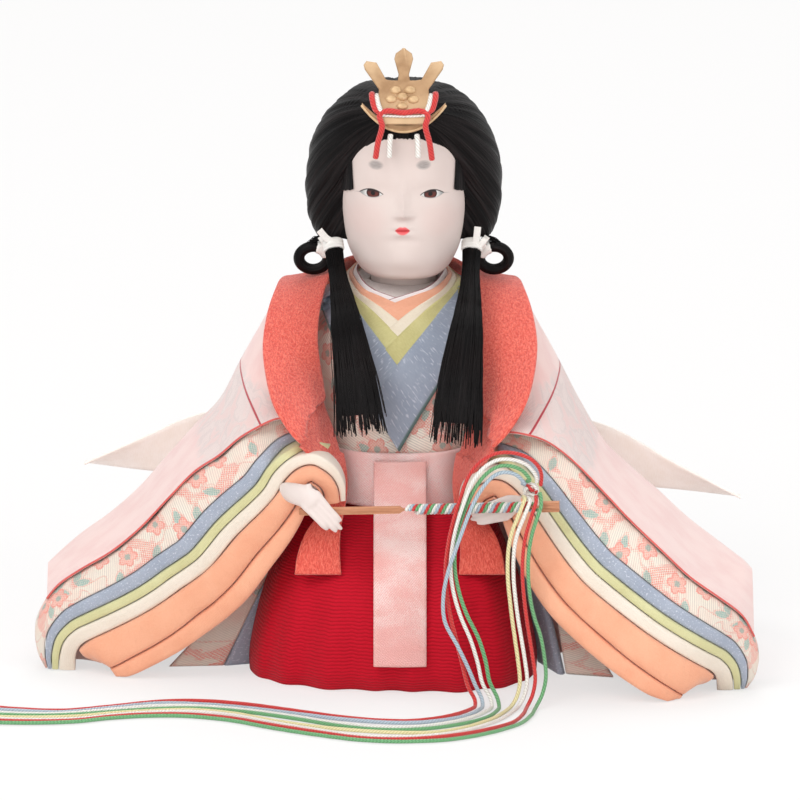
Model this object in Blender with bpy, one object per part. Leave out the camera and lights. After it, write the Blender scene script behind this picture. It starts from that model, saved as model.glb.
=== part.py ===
"""Seated court lady doll: layered robes on a straw body, head on a peg, crown, and wound fan.

The origin is on the floor under the neck, +Z is up and the doll faces -Y. Left and right are those
of someone who looks at the doll's front. Lengths are in metres.
"""

import math

import bmesh
import bpy
from mathutils import Vector
from mathutils.bvhtree import BVHTree

MM = 0.001

# Clearances and helper lengths
GAP = 0.35 * MM
CLOTH_GAP = 0.6 * MM
HEM_LIFT = 0.2 * MM
RAY_REACH = 400 * MM

# Base board and straw body
BOARD_HALF_WIDTH = 44 * MM
BOARD_FRONT = 18 * MM
BOARD_BACK = 50 * MM
BOARD_THICKNESS = 3 * MM
BODY_RADIUS = 15 * MM
NECK_X = 1.2 * MM
PEG_RADIUS = 2.5 * MM
PEG_FIT = 0.4 * MM
PEG_DEPTH = 24 * MM
PEG_IN_HEAD = 22 * MM

# Torso and skirt
WAIST_HEIGHT = 54.5 * MM
SHOULDER_HEIGHT = 121 * MM
CHEST_HALF_WIDTH = 29 * MM
CHEST_FRONT = 43 * MM
CHEST_BACK = 27 * MM
NECK_RADIUS = 10.6 * MM
SKIRT_HALF_WIDTH = 62 * MM
SKIRT_FRONT = 25.5 * MM
SKIRT_BACK = 58 * MM

# Divided trousers at the front
HAKAMA_HALF_WIDTH = 45 * MM
HAKAMA_DEPTH = 42 * MM
HAKAMA_WALL = 31.5 * MM
HAKAMA_CENTRE = -2.2 * MM
HAKAMA_FOLD = 1.6 * MM
HAKAMA_SLIT = 3.4 * MM
PANEL_THICKNESS = 2.6 * MM

# Collars, jacket and sash
COLLAR_THICKNESS = 0.9 * MM
COLLAR_STEP = 0.35 * MM
JACKET_THICKNESS = 1.3 * MM
JACKET_CORE_DROP = 14 * MM
SASH_THICKNESS = 1.8 * MM
SASH_TAIL_THICKNESS = 1.2 * MM
SASH_HALF_WIDTH = 23 * MM
SASH_HEIGHT = 16.5 * MM
SASH_TAIL_HALF_WIDTH = 8 * MM
SASH_TAIL_HEM = 10 * MM

# Sleeves: reach to each side, height of the wrist arch and how far it lies forward
SLEEVE_REACH = 114 * MM
WRIST_HEIGHT = 74 * MM
SLEEVE_FORWARD = 68 * MM
LAYER_DEPTH = 13 * MM
LAYER_SETBACK = 0.7 * MM
PEACH_UPPER = 9.5 * MM
PEACH_LOWER = 6.2 * MM
PEACH_BULGE = 1.1 * MM
SLIT_WIDTH = 0.7 * MM
SLIT_DEPTH = 8 * MM
CREAM_THICKNESS = 4.7 * MM
GREEN_THICKNESS = 3.0 * MM
GREY_THICKNESS = 4.7 * MM
BROCADE_THICKNESS = 9.6 * MM
BROCADE_LEAN = 5.5 * MM
OUTER_LIP = 0.9 * MM
OUTER_BACK = 24 * MM
OUTER_TOP = 118 * MM
OUTER_MARGIN = 2.2 * MM

# Head
HEAD_HALF_WIDTH = 20.6 * MM
HEAD_FRONT = 28 * MM
HEAD_BACK = 16 * MM
CHIN_HEIGHT = 122.5 * MM
FACE_HEIGHT = 56 * MM
NOSE_HEIGHT = 1.3 * MM
NECK_FOOT = 113.2 * MM
NECK_STEP = 7.2 * MM
BODY_TOP = NECK_FOOT - NECK_STEP

# Hair
HAIR_HALF_WIDTH = 31 * MM
HAIR_FRONT = 24 * MM
HAIR_BACK = 25 * MM
HAIR_FOOT = 134.5 * MM
HAIR_HEIGHT = 49 * MM
LOCK_LENGTH = 51 * MM
LOCK_HALF_WIDTH = 7.8 * MM
LOCK_HALF_DEPTH = 1.7 * MM
TAIL_HALF_WIDTH = 12 * MM
TAIL_HALF_DEPTH = 2.6 * MM
TAIL_LENGTH = 108 * MM
TIE_HEIGHT = 4 * MM
LOOP_HALF_WIDTH = 4.2 * MM
LOOP_HALF_HEIGHT = 3.6 * MM
LOOP_WIRE = 2.7 * MM

# Crown
CROWN_HALF_WIDTH = 12.8 * MM
CROWN_HEIGHT = 25 * MM
CROWN_THICKNESS = 1.1 * MM
CROWN_FOOT_HEIGHT = 175.5 * MM
CROWN_FOOT_FRONT = 26.4 * MM
CROWN_LEAN = 0.5
BLOSSOM_RADIUS = 1.9 * MM
BLOSSOM_HEIGHT = 0.9 * MM
COMB_HALF_WIDTH = 13.3 * MM
COMB_DROP = 7.5 * MM
COMB_BAND = 2.4 * MM
COMB_THICKNESS = 1.4 * MM
COMB_CURVE_SHARE = 0.34
CROWN_CORD = 1.1 * MM

# Hands, fan and the cords that are wound round it
PALM_HALF_WIDTH = 3.3 * MM
PALM_HALF_DEPTH = 1.9 * MM
FINGER_RADIUS = 0.98 * MM
FAN_LENGTH = 83 * MM
FAN_HALF_HEIGHT = 1.1 * MM
FAN_CORE_RADIUS = 0.45 * MM
FAN_LEFT_END = -32 * MM
FAN_HEIGHT = 59.6 * MM
FAN_RISE = 3.6 * MM
FAN_FRONT = 71.5 * MM
FAN_TURN = 8.0 * MM
WINDING_LENGTH = 44 * MM
WINDING_WIRE = 1.6 * MM
WINDING_FIT = 0.25 * MM
KNOT_RADIUS = 3.0 * MM
CORD_DIAMETER = 1.3 * MM

# Train, ribbons
TRAIN_TOP_HALF_WIDTH = 22 * MM
TRAIN_HEM_HALF_WIDTH = 52 * MM
TRAIN_REACH = 74 * MM
TRAIN_PLEAT = 1.5 * MM
TRAIN_THICKNESS = 1.3 * MM
RIBBON_REACH = 101 * MM
RIBBON_THICKNESS = 0.9 * MM

FINISHES = {
    "hakama_red": ((0.58, 0.006, 0.018), 0.75, 0.0),
    "coral_crepe": ((0.78, 0.11, 0.07), 0.85, 0.0),
    "peach_silk": ((0.90, 0.46, 0.28), 0.7, 0.0),
    "cream_silk": ((0.84, 0.76, 0.66), 0.7, 0.0),
    "green_silk": ((0.68, 0.66, 0.40), 0.7, 0.0),
    "grey_silk": ((0.38, 0.43, 0.52), 0.7, 0.0),
    "brocade": ((0.79, 0.68, 0.62), 0.65, 0.0),
    "pink_silk": ((0.88, 0.62, 0.58), 0.65, 0.0),
    "sash_weave": ((0.87, 0.48, 0.45), 0.7, 0.0),
    "white_silk": ((0.86, 0.84, 0.82), 0.7, 0.0),
    "ivory_paper": ((0.82, 0.76, 0.70), 0.8, 0.0),
    "hair_silk": ((0.012, 0.010, 0.010), 0.45, 0.0),
    "gofun_white": ((0.83, 0.74, 0.70), 0.35, 0.0),
    "gilt_brass": ((0.55, 0.36, 0.15), 0.35, 1.0),
    "wood": ((0.62, 0.45, 0.28), 0.6, 0.0),
    "straw": ((0.68, 0.55, 0.30), 0.9, 0.0),
    "cord_red": ((0.60, 0.02, 0.03), 0.6, 0.0),
    "cord_green": ((0.12, 0.33, 0.12), 0.6, 0.0),
    "cord_white": ((0.85, 0.84, 0.80), 0.6, 0.0),
    "cord_blue": ((0.30, 0.38, 0.52), 0.6, 0.0),
    "cord_yellow": ((0.80, 0.70, 0.32), 0.6, 0.0),
}


def clear_scene():
    """Remove whatever the open file holds."""
    for item in list(bpy.data.objects):
        bpy.data.objects.remove(item, do_unlink=True)


def finish_of(key):
    """Principled material of the named finish, made once."""
    found = bpy.data.materials.get(key)
    if found:
        return found
    colour, roughness, metallic = FINISHES[key]
    material = bpy.data.materials.new(key)
    material.use_nodes = True
    shader = material.node_tree.nodes["Principled BSDF"]
    shader.inputs["Base Color"].default_value = (*colour, 1.0)
    shader.inputs["Roughness"].default_value = roughness
    shader.inputs["Metallic"].default_value = metallic
    material.diffuse_color = (*colour, 1.0)
    return material


def placed(name, mesh, finish, origin=Vector(), crease=45):
    """Turn a bmesh built in world space into an object whose origin is at the given place."""
    bmesh.ops.recalc_face_normals(mesh, faces=mesh.faces)
    bmesh.ops.translate(mesh, verts=mesh.verts, vec=-origin)
    data = bpy.data.meshes.new(name)
    mesh.to_mesh(data)
    mesh.free()
    data.shade_smooth()
    data.set_sharp_from_angle(angle=math.radians(crease))
    data.materials.append(finish_of(finish))
    piece = bpy.data.objects.new(name, data)
    piece.location = origin
    bpy.context.scene.collection.objects.link(piece)
    return piece


def as_cutter(piece):
    """Hide a shape that only cuts or joins another."""
    piece.hide_render = True
    piece.display_type = "WIRE"
    return piece


def combine(piece, other, operation):
    """Boolean between two pieces; the other one becomes a hidden cutter."""
    step = piece.modifiers.new(f"{operation.lower()}_{other.name}", "BOOLEAN")
    step.operation = operation
    step.solver = "EXACT"
    step.object = as_cutter(other)
    return piece


def smooth(points, count):
    """Read count points from a Catmull-Rom curve through the given points."""
    knots = [Vector(point) for point in points]
    last = len(knots) - 1
    reads = []
    for step in range(count):
        along = last * step / (count - 1)
        span = min(int(along), last - 1)
        t = along - span
        start, end = knots[span], knots[span + 1]
        before = knots[span - 1] if span > 0 else 2 * start - end
        after = knots[span + 2] if span + 2 <= last else 2 * end - start
        bend = 2 * before - 5 * start + 4 * end - after
        twist = 3 * start - before - 3 * end + after
        reads.append(0.5 * (2 * start + (end - before) * t + bend * t * t + twist * t**3))
    return reads


def smooth_values(values, count):
    """Read count numbers from a smooth curve through the given numbers."""
    return [point.x for point in smooth([(value, 0, 0) for value in values], count)]


def sized(shares, size):
    """World points from a table of shares of a size in X, Y and Z."""
    return [Vector((share[0] * size.x, share[1] * size.y, share[2] * size.z)) for share in shares]


def loft(name, rings, finish, origin=Vector(), crease=45):
    """Closed solid through the rings: one face extruded from ring to ring."""
    mesh = bmesh.new()
    cap = mesh.faces.new([mesh.verts.new(point) for point in rings[0]])
    first = cap
    for ring in rings[1:]:
        grown = bmesh.ops.extrude_face_region(mesh, geom=[cap])
        if cap is not first:
            bmesh.ops.delete(mesh, geom=[cap], context="FACES_ONLY")
        cap = next(item for item in grown["geom"] if isinstance(item, bmesh.types.BMFace))
        for corner, place in zip(cap.verts, ring):
            corner.co = place
    return placed(name, mesh, finish, origin, crease)


def oval(centre, half_width, front, back, height, count, tilt=0.0, squareness=2.3):
    """Level ring round a centre in X, with its own reach to the front and to the back."""
    ring = []
    for index in range(count):
        turn = 2 * math.pi * index / count
        wide = math.copysign(abs(math.cos(turn)) ** (2 / squareness), math.cos(turn))
        deep = math.copysign(abs(math.sin(turn)) ** (2 / squareness), math.sin(turn))
        y = deep * (back if deep > 0 else front)
        ring.append(Vector((centre + wide * half_width, y, height + tilt * y)))
    return ring


def oval_rings(centre, size, levels, count, grow=0.0, squareness=2.3):
    """Stack of level rings from (half width, front, back, height, tilt) shares of a size."""
    half_width, front, back, height = size
    rings = []
    for wide, fore, aft, level, tilt in levels:
        rings.append(oval(centre, wide * half_width + grow, fore * front + grow,
                          aft * back + grow, level * height, count, tilt, squareness))
    return rings


def sweep(path, half_widths, half_depths, sides, facing):
    """Oval rings square to a path, whose depth points as nearly as it can along facing."""
    rings = []
    last = len(path) - 1
    for index, point in enumerate(path):
        tangent = (path[min(index + 1, last)] - path[max(index - 1, 0)]).normalized()
        wide = tangent.cross(facing).normalized()
        deep = wide.cross(tangent).normalized()
        ring = []
        for side in range(sides):
            turn = 2 * math.pi * (side + 0.5) / sides
            reach = wide * half_widths[index] * math.cos(turn)
            ring.append(point + reach + deep * half_depths[index] * math.sin(turn))
        rings.append(ring)
    return rings


def spread(edge_a, edge_b, along, across):
    """Rows of points between two edges, each read from its own smooth curve."""
    rows = []
    for start, end in zip(smooth(edge_a, along), smooth(edge_b, along)):
        rows.append([start.lerp(end, index / (across - 1)) for index in range(across)])
    return rows


def surfaces(*pieces):
    """Search trees of the pieces that lie underneath, as modelled before their cuts."""
    trees = []
    for piece in pieces:
        corners = [piece.location + vertex.co for vertex in piece.data.vertices]
        trees.append(BVHTree.FromPolygons(corners, [face.vertices[:] for face in piece.data.polygons]))
    return trees


def reach_of(trees, guide, centre):
    """Distance from a centre, on the line through the guide, of the outermost piece underneath."""
    outward = (guide - centre).normalized()
    start = centre + outward * RAY_REACH * 2
    reach = 0.0
    for tree in trees:
        place, _, _, _ = tree.ray_cast(start, -outward)
        if place:
            reach = max(reach, (place - centre).dot(outward))
    return reach


def near_places(table, row, place):
    """Values of a grid at a place and beside it."""
    found = []
    for step_row, step_place in ((0, 0), (1, 0), (-1, 0), (0, 1), (0, -1)):
        if 0 <= row + step_row < len(table) and 0 <= place + step_place < len(table[0]):
            found.append(table[row + step_row][place + step_place])
    return found


def draped(trees, rows, centres, gap):
    """Move rows out from their centres until they clear the pieces underneath, evenly."""
    lifts = []
    for row, line in zip(rows, centres):
        lifts.append([max(0.0, reach_of(trees, point, centre) + gap - (point - centre).length)
                      for point, centre in zip(row, line)])
    grid = range(len(rows)), range(len(rows[0]))
    wide = [[max(near_places(lifts, row, place)) for place in grid[1]] for row in grid[0]]
    laid = []
    for row in grid[0]:
        line = []
        for place in grid[1]:
            near = near_places(wide, row, place)
            outward = (rows[row][place] - centres[row][place]).normalized()
            line.append(rows[row][place] + outward * max(sum(near) / len(near), lifts[row][place]))
        laid.append(line)
    return laid


def cores(rows, side_share, drop):
    """Places inside the body from which clothing is pushed out: below each point, near the middle."""
    return [[Vector((point.x * side_share, 0, point.z - drop)) for point in row] for row in rows]


def draped_front(trees, rows, gap):
    """Drape rows straight forward, toward -Y."""
    behind = Vector((0, RAY_REACH, 0))
    return draped(trees, rows, [[point + behind for point in row] for row in rows], gap)


def thicken(rows, thickness, centre, radial=False):
    """Closed rings of a cloth from its inner rows; it grows away from the centre."""
    rings = []
    last = len(rows) - 1
    for index, row in enumerate(rows):
        outer = []
        for place, point in enumerate(row):
            along = rows[min(index + 1, last)][place] - rows[max(index - 1, 0)][place]
            across = row[min(place + 1, len(row) - 1)] - row[max(place - 1, 0)]
            normal = across.cross(along).normalized()
            if normal.dot(point - centre) < 0:
                normal = -normal
            if radial:
                normal = (point - centre).normalized()
            place_out = point + normal * thickness
            place_out.z = max(place_out.z, HEM_LIFT)
            outer.append(place_out)
        rings.append(list(row) + outer[::-1])
    return rings


def cloth(name, rows, thickness, centre, finish, origin=Vector(), radial=False):
    """Cloth of one thickness on the given rows."""
    return loft(name, thicken(rows, thickness, centre, radial), finish, origin, crease=50)


def tube(name, points, diameter, finish, resolution=2, origin=Vector(), closed=False):
    """Round cord as a curve with filled ends, or a closed ring."""
    data = bpy.data.curves.new(name, "CURVE")
    data.dimensions = "3D"
    data.bevel_depth = diameter / 2
    data.bevel_resolution = resolution
    data.use_fill_caps = True
    spline = data.splines.new("POLY")
    spline.points.add(len(points) - 1)
    for knot, point in zip(spline.points, points):
        knot.co = (*(point - origin), 1.0)
    spline.use_cyclic_u = closed
    data.materials.append(finish_of(finish))
    piece = bpy.data.objects.new(name, data)
    piece.location = origin
    bpy.context.scene.collection.objects.link(piece)
    return piece


# Body: board, straw core, torso and skirt

CORE_LEVEL_SHARES = ((1.25, 0.0), (1.2, 0.3), (1.1, 0.55), (0.85, 0.9), (0.8, 1.0))
TORSO_LEVEL_SHARES = (
    (0.90, 1.02, 0.90, 0.4505, 0.0),
    (0.93, 0.99, 0.93, 0.548, 0.0),
    (0.97, 0.92, 0.97, 0.676, 0.0),
    (1.00, 0.83, 1.00, 0.793, 0.0),
    (0.94, 0.71, 0.94, 0.872, 0.03),
    (0.66, 0.58, 0.74, 0.935, 0.08),
    (0.46, 0.42, 0.50, 0.995, 0.12),
)
SKIRT_LEVEL_SHARES = (
    (1.00, 1.00, 1.00, 0.004, 0.0),
    (0.95, 0.98, 0.95, 0.18, 0.0),
    (0.82, 0.96, 0.83, 0.40, 0.0),
    (0.65, 0.93, 0.69, 0.62, 0.0),
    (0.48, 0.90, 0.56, 0.84, 0.0),
    (0.38, 0.86, 0.48, 0.99, 0.0),
)


def core_rings(grow):
    """Rings of the straw body, which stands on the board."""
    foot = BOARD_THICKNESS + GAP
    rings = []
    for radius, level in CORE_LEVEL_SHARES:
        height = foot + level * (BODY_TOP - foot)
        reach = radius * BODY_RADIUS + grow
        rings.append(oval(NECK_X, reach, reach, reach, height, 16, squareness=2.0))
    if grow > 0:
        rings = [[point - Vector((0, 0, foot)) for point in rings[0]]] + rings[1:]
        rings[-1] = [point + Vector((0, 0, grow)) for point in rings[-1]]
    return rings


def neck_post(name, radius, low, high, finish, sides=16):
    """Upright round post on the neck's axis."""
    rings = [oval(NECK_X, radius, radius, radius, height, sides, squareness=2.0) for height in (low, high)]
    return loft(name, rings, finish, Vector((NECK_X, 0, low)))


def build_body():
    """Board, straw body, torso and back skirt."""
    board_rings = []
    for height in (0, BOARD_THICKNESS):
        board_rings.append(oval(0, BOARD_HALF_WIDTH, BOARD_FRONT, BOARD_BACK, height, 28, squareness=2.6))
    loft("base_board", board_rings, "wood")

    core = loft("body_core", core_rings(0), "straw")
    bore = neck_post("peg_bore", PEG_RADIUS + PEG_FIT, BODY_TOP - PEG_DEPTH, BODY_TOP + PEG_DEPTH, "straw")
    combine(core, bore, "DIFFERENCE")

    torso_size = (CHEST_HALF_WIDTH, CHEST_FRONT, CHEST_BACK, SHOULDER_HEIGHT)
    torso = loft("robe_torso", oval_rings(0, torso_size, TORSO_LEVEL_SHARES, 24, squareness=2.4), "brocade")
    pocket = loft("core_pocket", core_rings(GAP), "straw")
    pit_low = NECK_FOOT - GAP
    pit = neck_post("neck_pit", NECK_RADIUS + PEG_FIT, pit_low, pit_low + PEG_DEPTH, "straw", 20)
    well = neck_post("peg_well", PEG_RADIUS + PEG_FIT, BODY_TOP - PEG_DEPTH, BODY_TOP + PEG_DEPTH, "straw")
    for cutter in (pocket, pit, well):
        combine(torso, cutter, "DIFFERENCE")

    skirt_size = (SKIRT_HALF_WIDTH, SKIRT_FRONT, SKIRT_BACK, WAIST_HEIGHT - GAP)
    skirt = loft("robe_skirt", oval_rings(0, skirt_size, SKIRT_LEVEL_SHARES, 28), "pink_silk")
    recess_rings = []
    for height in (-BOARD_THICKNESS, BOARD_THICKNESS + GAP):
        recess_rings.append(oval(0, BOARD_HALF_WIDTH + GAP, BOARD_FRONT + GAP, BOARD_BACK + GAP,
                                 height, 28, squareness=2.6))
    recess = loft("board_recess", recess_rings, "wood")
    for cutter in (pocket, recess):
        combine(skirt, cutter, "DIFFERENCE")
    return torso, skirt


# Trousers and the panels beside them

HAKAMA_LEVEL_SHARES = (
    (1.02, 0.90, 0.004),
    (1.02, 0.98, 0.10),
    (0.99, 1.01, 0.25),
    (0.94, 1.00, 0.42),
    (0.87, 0.92, 0.60),
    (0.79, 0.74, 0.76),
    (0.72, 0.54, 0.90),
    (0.66, 0.40, 0.985),
)
HAKAMA_RING_POINTS = 33


def hakama_ring(wide, deep, level):
    """Front of the trousers at one height: a rounded arc with folds, closed by its flat back."""
    ring = []
    for index in range(HAKAMA_RING_POINTS):
        share = index / (HAKAMA_RING_POINTS - 1)
        turn = math.pi * share
        x = math.copysign(abs(math.cos(turn)) ** 0.8, -math.cos(turn)) * wide * HAKAMA_HALF_WIDTH
        depth = math.sin(turn) ** 0.75 * deep * HAKAMA_DEPTH
        fall = 1 - level
        fold = HAKAMA_FOLD * fall * math.cos(turn * 16) * math.sin(turn)
        slit = HAKAMA_SLIT * fall * math.exp(-((share - 0.5) / 0.025) ** 2)
        lean = 0.1 * x * math.sin(turn)
        ring.append(Vector((HAKAMA_CENTRE + x, -HAKAMA_WALL - depth - fold + slit - lean, level * WAIST_HEIGHT)))
    return ring


PANEL_EDGE_SHARES = {
    "skirt_grey_left": (((-0.72, 0.98, 0.84), (-0.86, 0.98, 0.42), (-0.98, 0.97, 0.004)),
                        ((-0.76, 0.99, 0.82), (-1.00, 1.02, 0.42), (-1.24, 1.12, 0.004))),
    "skirt_brocade_left": (((-0.78, 1.00, 0.80), (-1.03, 1.04, 0.40), (-1.27, 1.14, 0.004)),
                           ((-0.86, 1.00, 0.76), (-1.22, 1.06, 0.36), (-1.62, 1.20, 0.004))),
    "skirt_grey_right": (((0.76, 0.98, 0.84), (0.935, 0.98, 0.42), (1.032, 1.00, 0.004)),
                         ((0.80, 1.00, 0.82), (1.03, 1.14, 0.42), (1.17, 1.60, 0.004))),
    "skirt_brocade_right": (((0.85, 1.01, 0.77), (1.09, 1.18, 0.40), (1.20, 1.64, 0.004)),
                            ((0.88, 1.00, 0.72), (1.20, 1.22, 0.36), (1.50, 1.80, 0.004))),
}


def build_trousers():
    """Red divided trousers and the four robe panels that show beside them."""
    rings = [hakama_ring(*shares) for shares in HAKAMA_LEVEL_SHARES]
    hakama = loft("hakama", rings, "hakama_red", crease=60)
    panel_place = HAKAMA_WALL - PANEL_THICKNESS - GAP * 4
    panel_size = Vector((HAKAMA_HALF_WIDTH, -panel_place, WAIST_HEIGHT))
    behind = Vector((0, RAY_REACH, 0))
    for name, (inner, outer) in PANEL_EDGE_SHARES.items():
        rows = spread(sized(inner, panel_size), sized(outer, panel_size), 6, 3)
        finish = "grey_silk" if "grey" in name else "brocade"
        cloth(name, rows, PANEL_THICKNESS, behind, finish)
    return hakama


# Sleeves: padded hems stacked along a path from the wrist arch down to the floor

LEFT_PATH_SHARES = (
    (-0.167, 0.970, 0.830), (-0.178, 0.985, 0.914), (-0.214, 1.000, 0.974), (-0.256, 1.000, 0.996),
    (-0.308, 0.985, 0.951), (-0.350, 0.970, 0.847), (-0.405, 0.955, 0.751), (-0.456, 0.926, 0.668),
    (-0.536, 0.897, 0.511), (-0.593, 0.868, 0.442), (-0.667, 0.838, 0.351), (-0.744, 0.794, 0.270),
    (-0.835, 0.740, 0.190), (-0.885, 0.690, 0.140), (-0.905, 0.640, 0.085), (-0.908, 0.600, 0.0),
)
RIGHT_PATH_SHARES = (
    (0.178, 0.970, 0.790), (0.196, 0.980, 0.870), (0.235, 0.990, 0.915), (0.274, 1.000, 0.930),
    (0.328, 1.015, 0.882), (0.391, 1.050, 0.748), (0.446, 1.103, 0.630), (0.503, 1.162, 0.527),
    (0.558, 1.206, 0.457), (0.629, 1.250, 0.377), (0.697, 1.265, 0.300), (0.768, 1.250, 0.225),
    (0.832, 1.190, 0.155), (0.868, 1.120, 0.110), (0.882, 1.060, 0.065), (0.884, 1.000, 0.0),
)
PEACH_UPPER_SHARES = (0.50, 0.55, 0.80, 0.95, 1.10, 1.15, 0.75)
PEACH_LOWER_SHARES = (0.14, 0.16, 0.80, 1.05, 0.90, 0.55, 0.30)
CREAM_SHARES = (0.40, 0.80, 0.90, 1.00, 1.00, 1.05, 1.15)
GREEN_SHARES = (0.35, 0.75, 0.95, 1.05, 1.10, 1.05, 0.75)
GREY_SHARES = (0.18, 0.50, 0.95, 1.05, 1.00, 0.85, 0.28)
BROCADE_SHARES = (0.10, 0.45, 0.90, 1.05, 0.85, 0.70, 0.10)
PATH_STATIONS = 22
PEACH_STATIONS = 20
PEACH_END_SHARE = 0.875


def path_frames(points, side):
    """Outward direction, square to the path in the front view, at each station."""
    frames = []
    last = len(points) - 1
    for index in range(len(points)):
        along = points[min(index + 1, last)] - points[max(index - 1, 0)]
        outward = Vector((-side * along.z, 0, side * along.x))
        frames.append(outward.normalized())
    return frames


def layer_section(low, high, front, back, lean=0.0):
    """Section of one padded layer as (offset, depth) pairs with a rounded front edge."""
    wall = high - low
    nose = min(wall * 0.5, LAYER_DEPTH * 0.2)
    return ((low, back), (low, front + nose), (low + wall * 0.12, front + nose * 0.25),
            (low + wall * 0.5, front + lean * 0.5 - nose * 0.12),
            (high - wall * 0.12, front + nose * 0.25 + lean), (high, front + nose + lean), (high, back))


def peach_section(upper, lower, back):
    """Section of the innermost sleeve: two padded lips with the sleeve's slit between them."""
    bulge = -PEACH_BULGE
    slit = min(SLIT_WIDTH, lower * 0.4)
    foot = -upper - slit
    return ((-GAP, back), (-GAP, PEACH_BULGE), (-upper * 0.15, bulge * 0.4), (-upper * 0.5, bulge),
            (-upper * 0.85, bulge * 0.4), (-upper, PEACH_BULGE * 1.4), (-upper - slit * 0.5, SLIT_DEPTH),
            (foot, PEACH_BULGE * 1.6), (foot - lower * 0.18, bulge * 0.2), (foot - lower * 0.5, bulge * 0.7),
            (foot - lower * 0.85, 0), (foot - lower, PEACH_BULGE * 2), (foot - lower, back))


def section_ring(point, outward, section):
    """Place a section of (offset, depth) pairs on its station of the path."""
    ring = []
    for offset, depth in section:
        place = point + outward * offset + Vector((0, depth, 0))
        place.z = max(place.z, HEM_LIFT)
        ring.append(place)
    return ring


def crossing(edge, x):
    """Point of an edge polyline at the given X."""
    for start, end in zip(edge, edge[1:]):
        if min(start.x, end.x) <= x <= max(start.x, end.x) and start.x != end.x:
            return start.lerp(end, (x - start.x) / (end.x - start.x))
    return edge[0] if abs(x) < abs(edge[0].x) else edge[-1]


OUTER_STATION_SHARES = (
    (0.262, 0.950, 1.00, 0.49, 0.12), (0.305, 0.965, 1.00, 0.46, 0.14), (0.350, 0.950, 1.00, 0.36, 0.20),
    (0.400, 0.865, 1.00, 0.32, 0.28), (0.450, 0.775, 0.95, 0.27, 0.35), (0.505, 0.670, 0.85, 0.22, 0.35),
    (0.575, 0.545, 0.75, 0.16, 0.35), (0.645, 0.475, 0.68, 0.11, 0.35), (0.725, 0.400, 0.62, 0.06, 0.35),
    (0.805, 0.345, 0.55, 0.002, 0.35), (0.885, 0.295, 0.45, 0.002, 0.35), (0.940, 0.262, 0.30, 0.002, 0.35),
    (0.966, 0.250, 0.20, 0.002, 0.35), (0.988, 0.235, 0.10, 0.002, 0.35),
)


def outer_ring(x, edge, path, top, back, low, swell):
    """Section of the outer sleeve in the YZ plane, over and behind the stacked layers."""
    lip = crossing(edge, x)
    stack = CREAM_THICKNESS + GREEN_THICKNESS + GREY_THICKNESS + BROCADE_THICKNESS
    beside = [point.y for point in path if abs(x) - stack < abs(point.x) < abs(x) + CREAM_THICKNESS * 2]
    wall = max(beside + [crossing(path, x).y]) + LAYER_DEPTH + OUTER_MARGIN
    lip_low = lip.z + GAP * 2
    back = max(back, wall + OUTER_MARGIN * 2)
    rise = max(top - lip_low, OUTER_LIP * 2)
    reach = back - lip.y
    low = min(low, lip_low - OUTER_LIP)
    drop = lip_low - low
    return [
        Vector((x, lip.y, lip_low)),
        Vector((x, lip.y, lip_low + OUTER_LIP)),
        Vector((x, lip.y + reach * 0.18, lip_low + OUTER_LIP + rise * swell)),
        Vector((x, lip.y + reach * 0.42, lip_low + OUTER_LIP + rise * 0.80)),
        Vector((x, lip.y + reach * 0.66, lip_low + OUTER_LIP + rise)),
        Vector((x, lip.y + reach * 0.88, lip_low + rise * 0.72)),
        Vector((x, back, lip_low - drop * 0.12)),
        Vector((x, back, low + drop * 0.12)),
        Vector((x, back - OUTER_LIP, low)),
        Vector((x, wall, low)),
        Vector((x, wall, lip_low)),
    ]


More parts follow.
